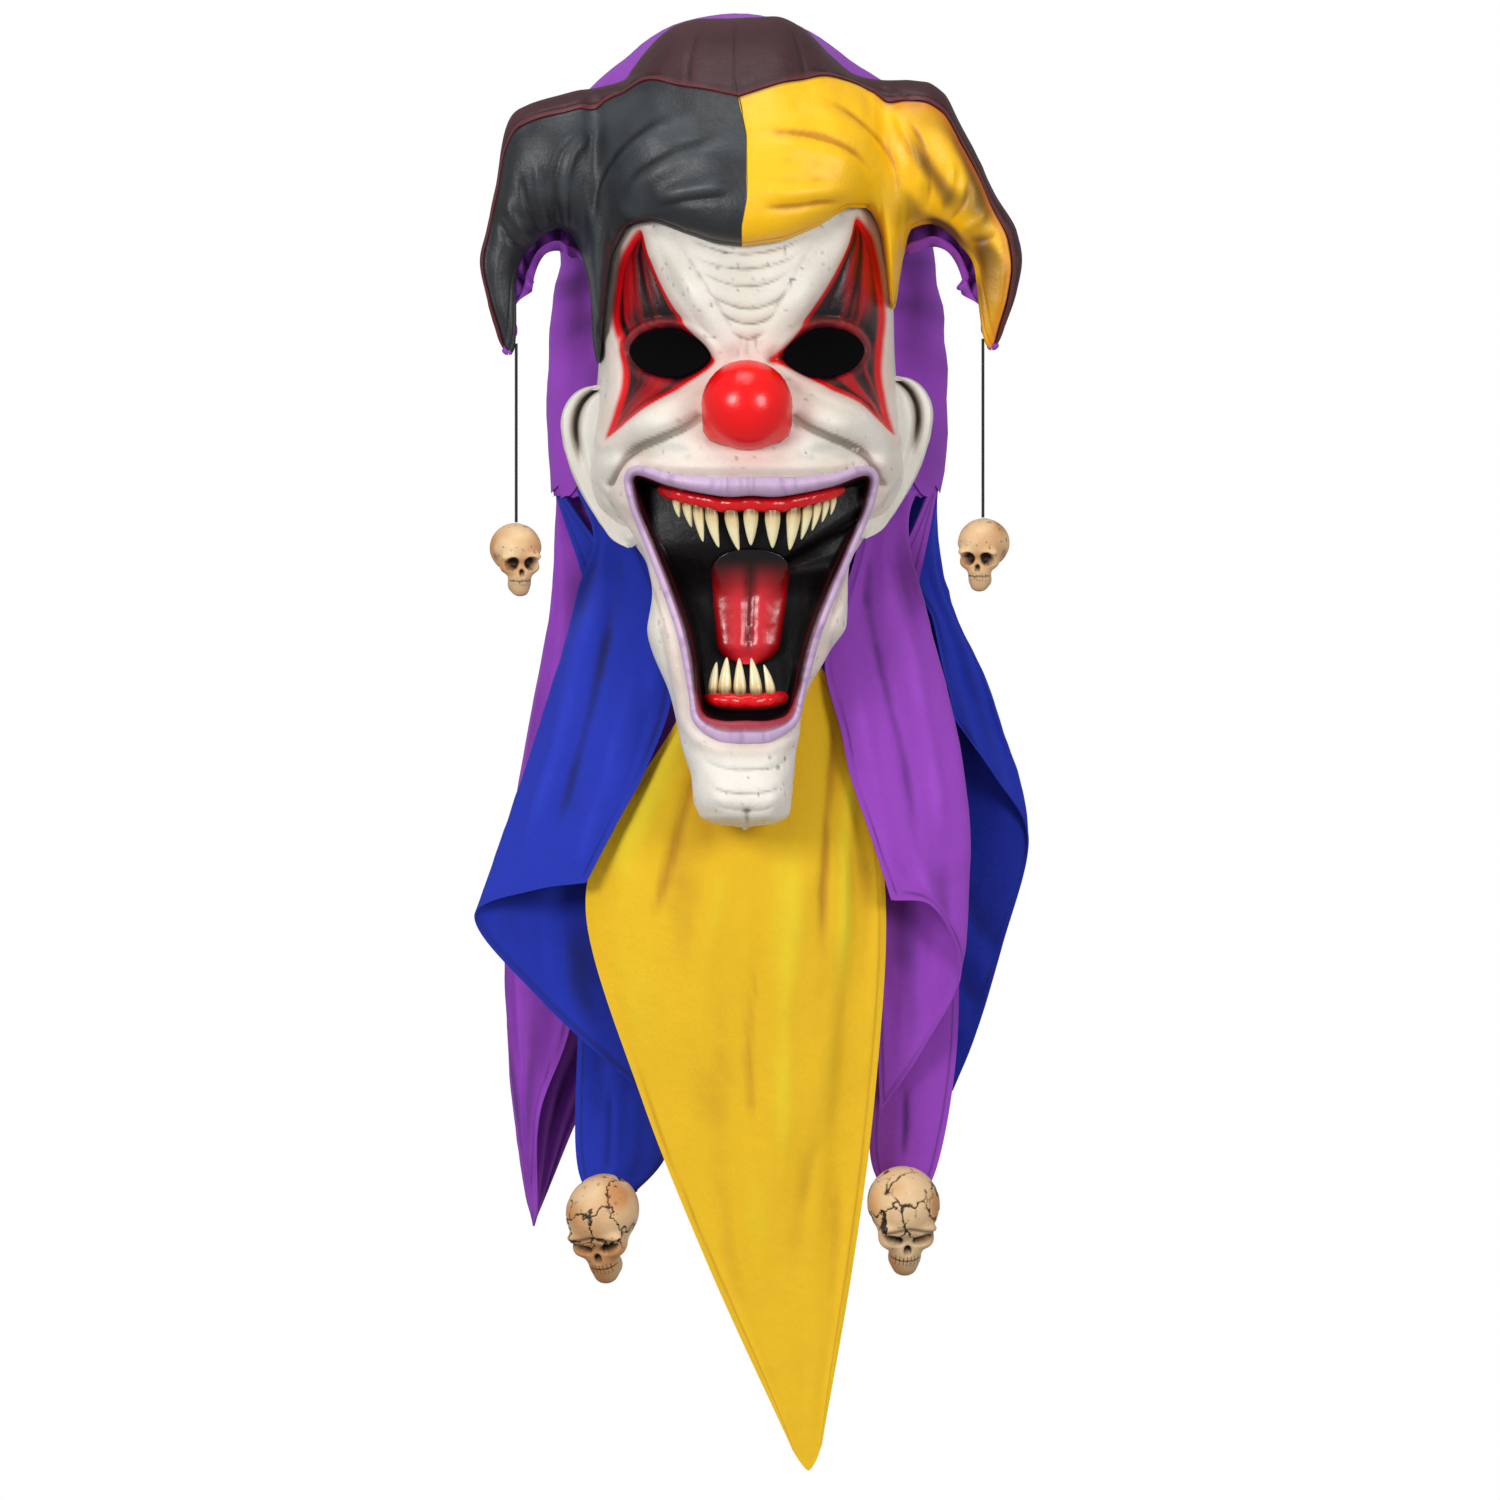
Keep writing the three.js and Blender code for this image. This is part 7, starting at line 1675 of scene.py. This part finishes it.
# Each point: columns, rows, colour, pleats across, pleat height, and its strokes of folds in picture pixels.
CLOTH_LOOKS = {
    "point_yellow": (90, 110, "yellow", 3.2, 2.2, [
        (-3.0, 4.0, [(838, 689), (832, 760), (826, 850), (820, 966)]),
        (2.4, 6.0, [(852, 720), (848, 800), (842, 900), (832, 1000)]),
        (2.4, 7.0, [(700, 690), (668, 760), (636, 830), (600, 885)]),
        (-2.4, 4.0, [(716, 706), (690, 790), (664, 880), (640, 960)]),
        (2.2, 7.0, [(735, 830), (716, 900), (700, 1000), (704, 1100)]),
        (-2.2, 4.5, [(770, 830), (762, 920), (750, 1040), (756, 1180)]),
        (2.0, 7.0, [(800, 800), (794, 900), (784, 1050), (786, 1240)]),
    ]),
    "point_blue_left": (96, 96, "blue", 4.5, 2.4, [
        (2.2, 6.0, [(600, 560), (580, 660), (548, 780), (508, 890)]),
        (-2.4, 4.0, [(618, 560), (602, 660), (574, 770), (540, 880)]),
        (2.2, 6.0, [(640, 640), (622, 720), (596, 810), (566, 885)]),
        (-2.0, 4.0, [(656, 680), (636, 760), (612, 830), (590, 880)]),
    ]),
    "point_blue_tail": (70, 110, "blue", 2.5, 1.4, [
        (-2.0, 3.0, [(612, 1080), (610, 1140), (606, 1190)]),
        (1.6, 5.0, [(636, 1080), (634, 1140), (628, 1190)]),
    ]),
    "point_purple_left": (110, 80, "purple", 6.0, 2.4, [
        (2.4, 5.0, [(585, 520), (560, 640), (545, 760), (530, 900)]),
        (-2.4, 3.5, [(600, 540), (574, 650), (558, 760), (545, 880)]),
        (2.0, 6.0, [(540, 980), (538, 1060), (532, 1140)]),
    ]),
    "point_purple_right": (96, 96, "purple", 4.2, 2.4, [
        (2.4, 6.0, [(880, 540), (905, 640), (930, 760), (945, 900)]),
        (-2.4, 4.0, [(862, 560), (880, 660), (906, 770), (925, 900)]),
        (2.2, 6.0, [(846, 650), (866, 740), (886, 830), (905, 890)]),
    ]),
    "point_purple_tail": (70, 110, "purple", 2.5, 1.4, [
        (-2.0, 3.0, [(905, 1080), (905, 1130), (900, 1170)]),
    ]),
    "point_blue_right": (110, 80, "blue", 6.0, 2.4, [
        (2.2, 5.0, [(915, 510), (948, 600), (978, 690), (1005, 780)]),
        (-2.2, 3.5, [(908, 540), (936, 630), (960, 710), (985, 790)]),
    ]),
}
# The tint of each cloth, and a darker one for the painted shade in its folds and for its stitching.
TINTS = {
    "purple": (PURPLE_TINT, paint(0.24, 0.08, 0.38)),
    "blue": (BLUE_TINT, paint(0.0, 0.03, 0.3)),
    "yellow": (GOLD_TINT, paint(0.78, 0.55, 0.05)),
}
CLOTH_STITCH = 4.5
# The two points that are gathered under the hood's back.
REAR_POINTS = ("point_purple_left", "point_blue_right")


def make_point(name):
    across, down, colour, pleats, height, strokes = CLOTH_LOOKS[name]
    v = np.linspace(0, 1, down + 1)
    u = np.linspace(0, 1, across + 1)
    rails = np.array([rail(rail_points(points), v) for points in CLOTH_RAILS[name]])
    grid = rail(rails, u).transpose(1, 0, 2)
    if name in REAR_POINTS:
        front = np.argmin(grid[0, [0, -1], 1])
        near = smooth(0.84, 1.0, u if front else 1 - u) * smooth(0.36, 0.08, v)[:, None]
        grid[..., 0] -= np.sign(grid[..., 0]) * 30 * near
        grid[..., 1] -= 2 * near
    if grid[down // 2, -1, 0] < grid[down // 2, 0, 0]:
        grid = grid[:, ::-1]
    if colour != "yellow" and "tail" not in name:
        short = np.clip(-HOOD_HEM_DROP + 2 - grid[0, :, 2], 0, 45)
        grid[..., 2] += short * smooth(0.22, 0.0, v)[:, None]
    v = v[:, None]
    ends = smooth(0, 0.08, v) * smooth(1, 0.93, v) * smooth(0, 0.06, u) * smooth(1, 0.94, u)
    wave = np.sin(2 * math.pi * pleats * u + 1.4 * noise(grid, 90, 91) + v)
    rise = height * wave * (0.45 + 0.55 * noise(grid, 70, 92)) * smooth(0.0, 0.3, v)
    rise = rise + 0.8 * noise(grid * np.array([1, 1, 0.35]), 16, 93) + 0.3 * noise(grid, 8, 94)
    front = smooth(0.1, -0.3, normals_of(grid)[..., 1])
    rise = rise + sculpted(grid[..., 0], grid[..., 2], strokes) * front
    grid = grid + normals_of(grid) * (rise * ends)[..., None]
    from_left, side_step = travelled(grid, 1)
    from_top, down_step = travelled(grid, 0)
    edge = np.minimum(np.minimum(from_left, from_left[:, -1:] - from_left), from_top[-1:] - from_top)
    base, deep = TINTS[colour]
    # Painted shade in the fold troughs and a painted highlight on the fold crests; then the stitching.
    tint = mixed(flat_tint(grid, base), deep, smooth(0.2, 3.4, -rise * ends) * 0.9)
    tint = mixed(tint, np.minimum(base * 1.5 + 0.02, 1), smooth(0.6, 3.0, rise * ends) * 0.4)
    tint = mixed(tint, deep, 0.65 * hump(edge, CLOTH_STITCH, 0.7))
    grid = grid + normals_of(grid) * (CLOTH_WALL / 2)
    piece = sheet_piece(f"{name}_cloth", grid, tint, [name], CLOTHS[colour], CLOTH_WALL)


for name in CLOTH_RAILS:
    make_point(name)

# The large cracked skulls on the two tails.
for name, tail, aside, before, up, roll, yaw, seed in (
    ("skull_large_left", "point_blue_tail", -0.066, 0.442, 0, -0.2, -0.3, 7),
    ("skull_large_right", "point_purple_tail", -0.021, 0.455, 0.077, 0.05, 0.15, 12),
):
    end = rail_points(CLOTH_RAILS[tail][1])[-1]
    centre = end + np.array([aside, -before, up]) * LARGE_SKULL_TALL
    skull(f"{name}_bell", name, LARGE_SKULL_TALL, centre, SKULL_TIP, roll, yaw, True, seed)

# A white surround for the camera, which lights the piece less, and soft lights on both sides and above.
AMBIENT = 0.36
world = bpy.data.worlds.new("surround")
world.use_nodes = True
surround = world.node_tree
white = surround.nodes["Background"]
white.inputs["Color"].default_value = (1, 1, 1, 1)
sight = surround.nodes.new("ShaderNodeLightPath")
level = surround.nodes.new("ShaderNodeMath")
level.operation = "MULTIPLY_ADD"
level.inputs[1].default_value = 1 - AMBIENT
level.inputs[2].default_value = AMBIENT
surround.links.new(sight.outputs["Is Camera Ray"], level.inputs[0])
surround.links.new(level.outputs[0], white.inputs["Strength"])
scene.world = world
scene.view_settings.view_transform = "Standard"
for name, place, size, watts in (
    ("left", (-1.8, -2.5, 0.55), 1.0, 50),
    ("right", (1.8, -2.5, 0.4), 1.0, 34),
    ("top", (-0.2, -0.7, 2.0), 1.2, 16),
):
    lamp = bpy.data.lights.new(name, "AREA")
    lamp.energy = watts
    lamp.size = size
    light = bpy.data.objects.new(name, lamp)
    light.location = place
    aim = Vector((0, 0, -0.25)) - Vector(place)
    light.rotation_euler = aim.to_track_quat("-Z", "Y").to_euler()
    scene.collection.objects.link(light)

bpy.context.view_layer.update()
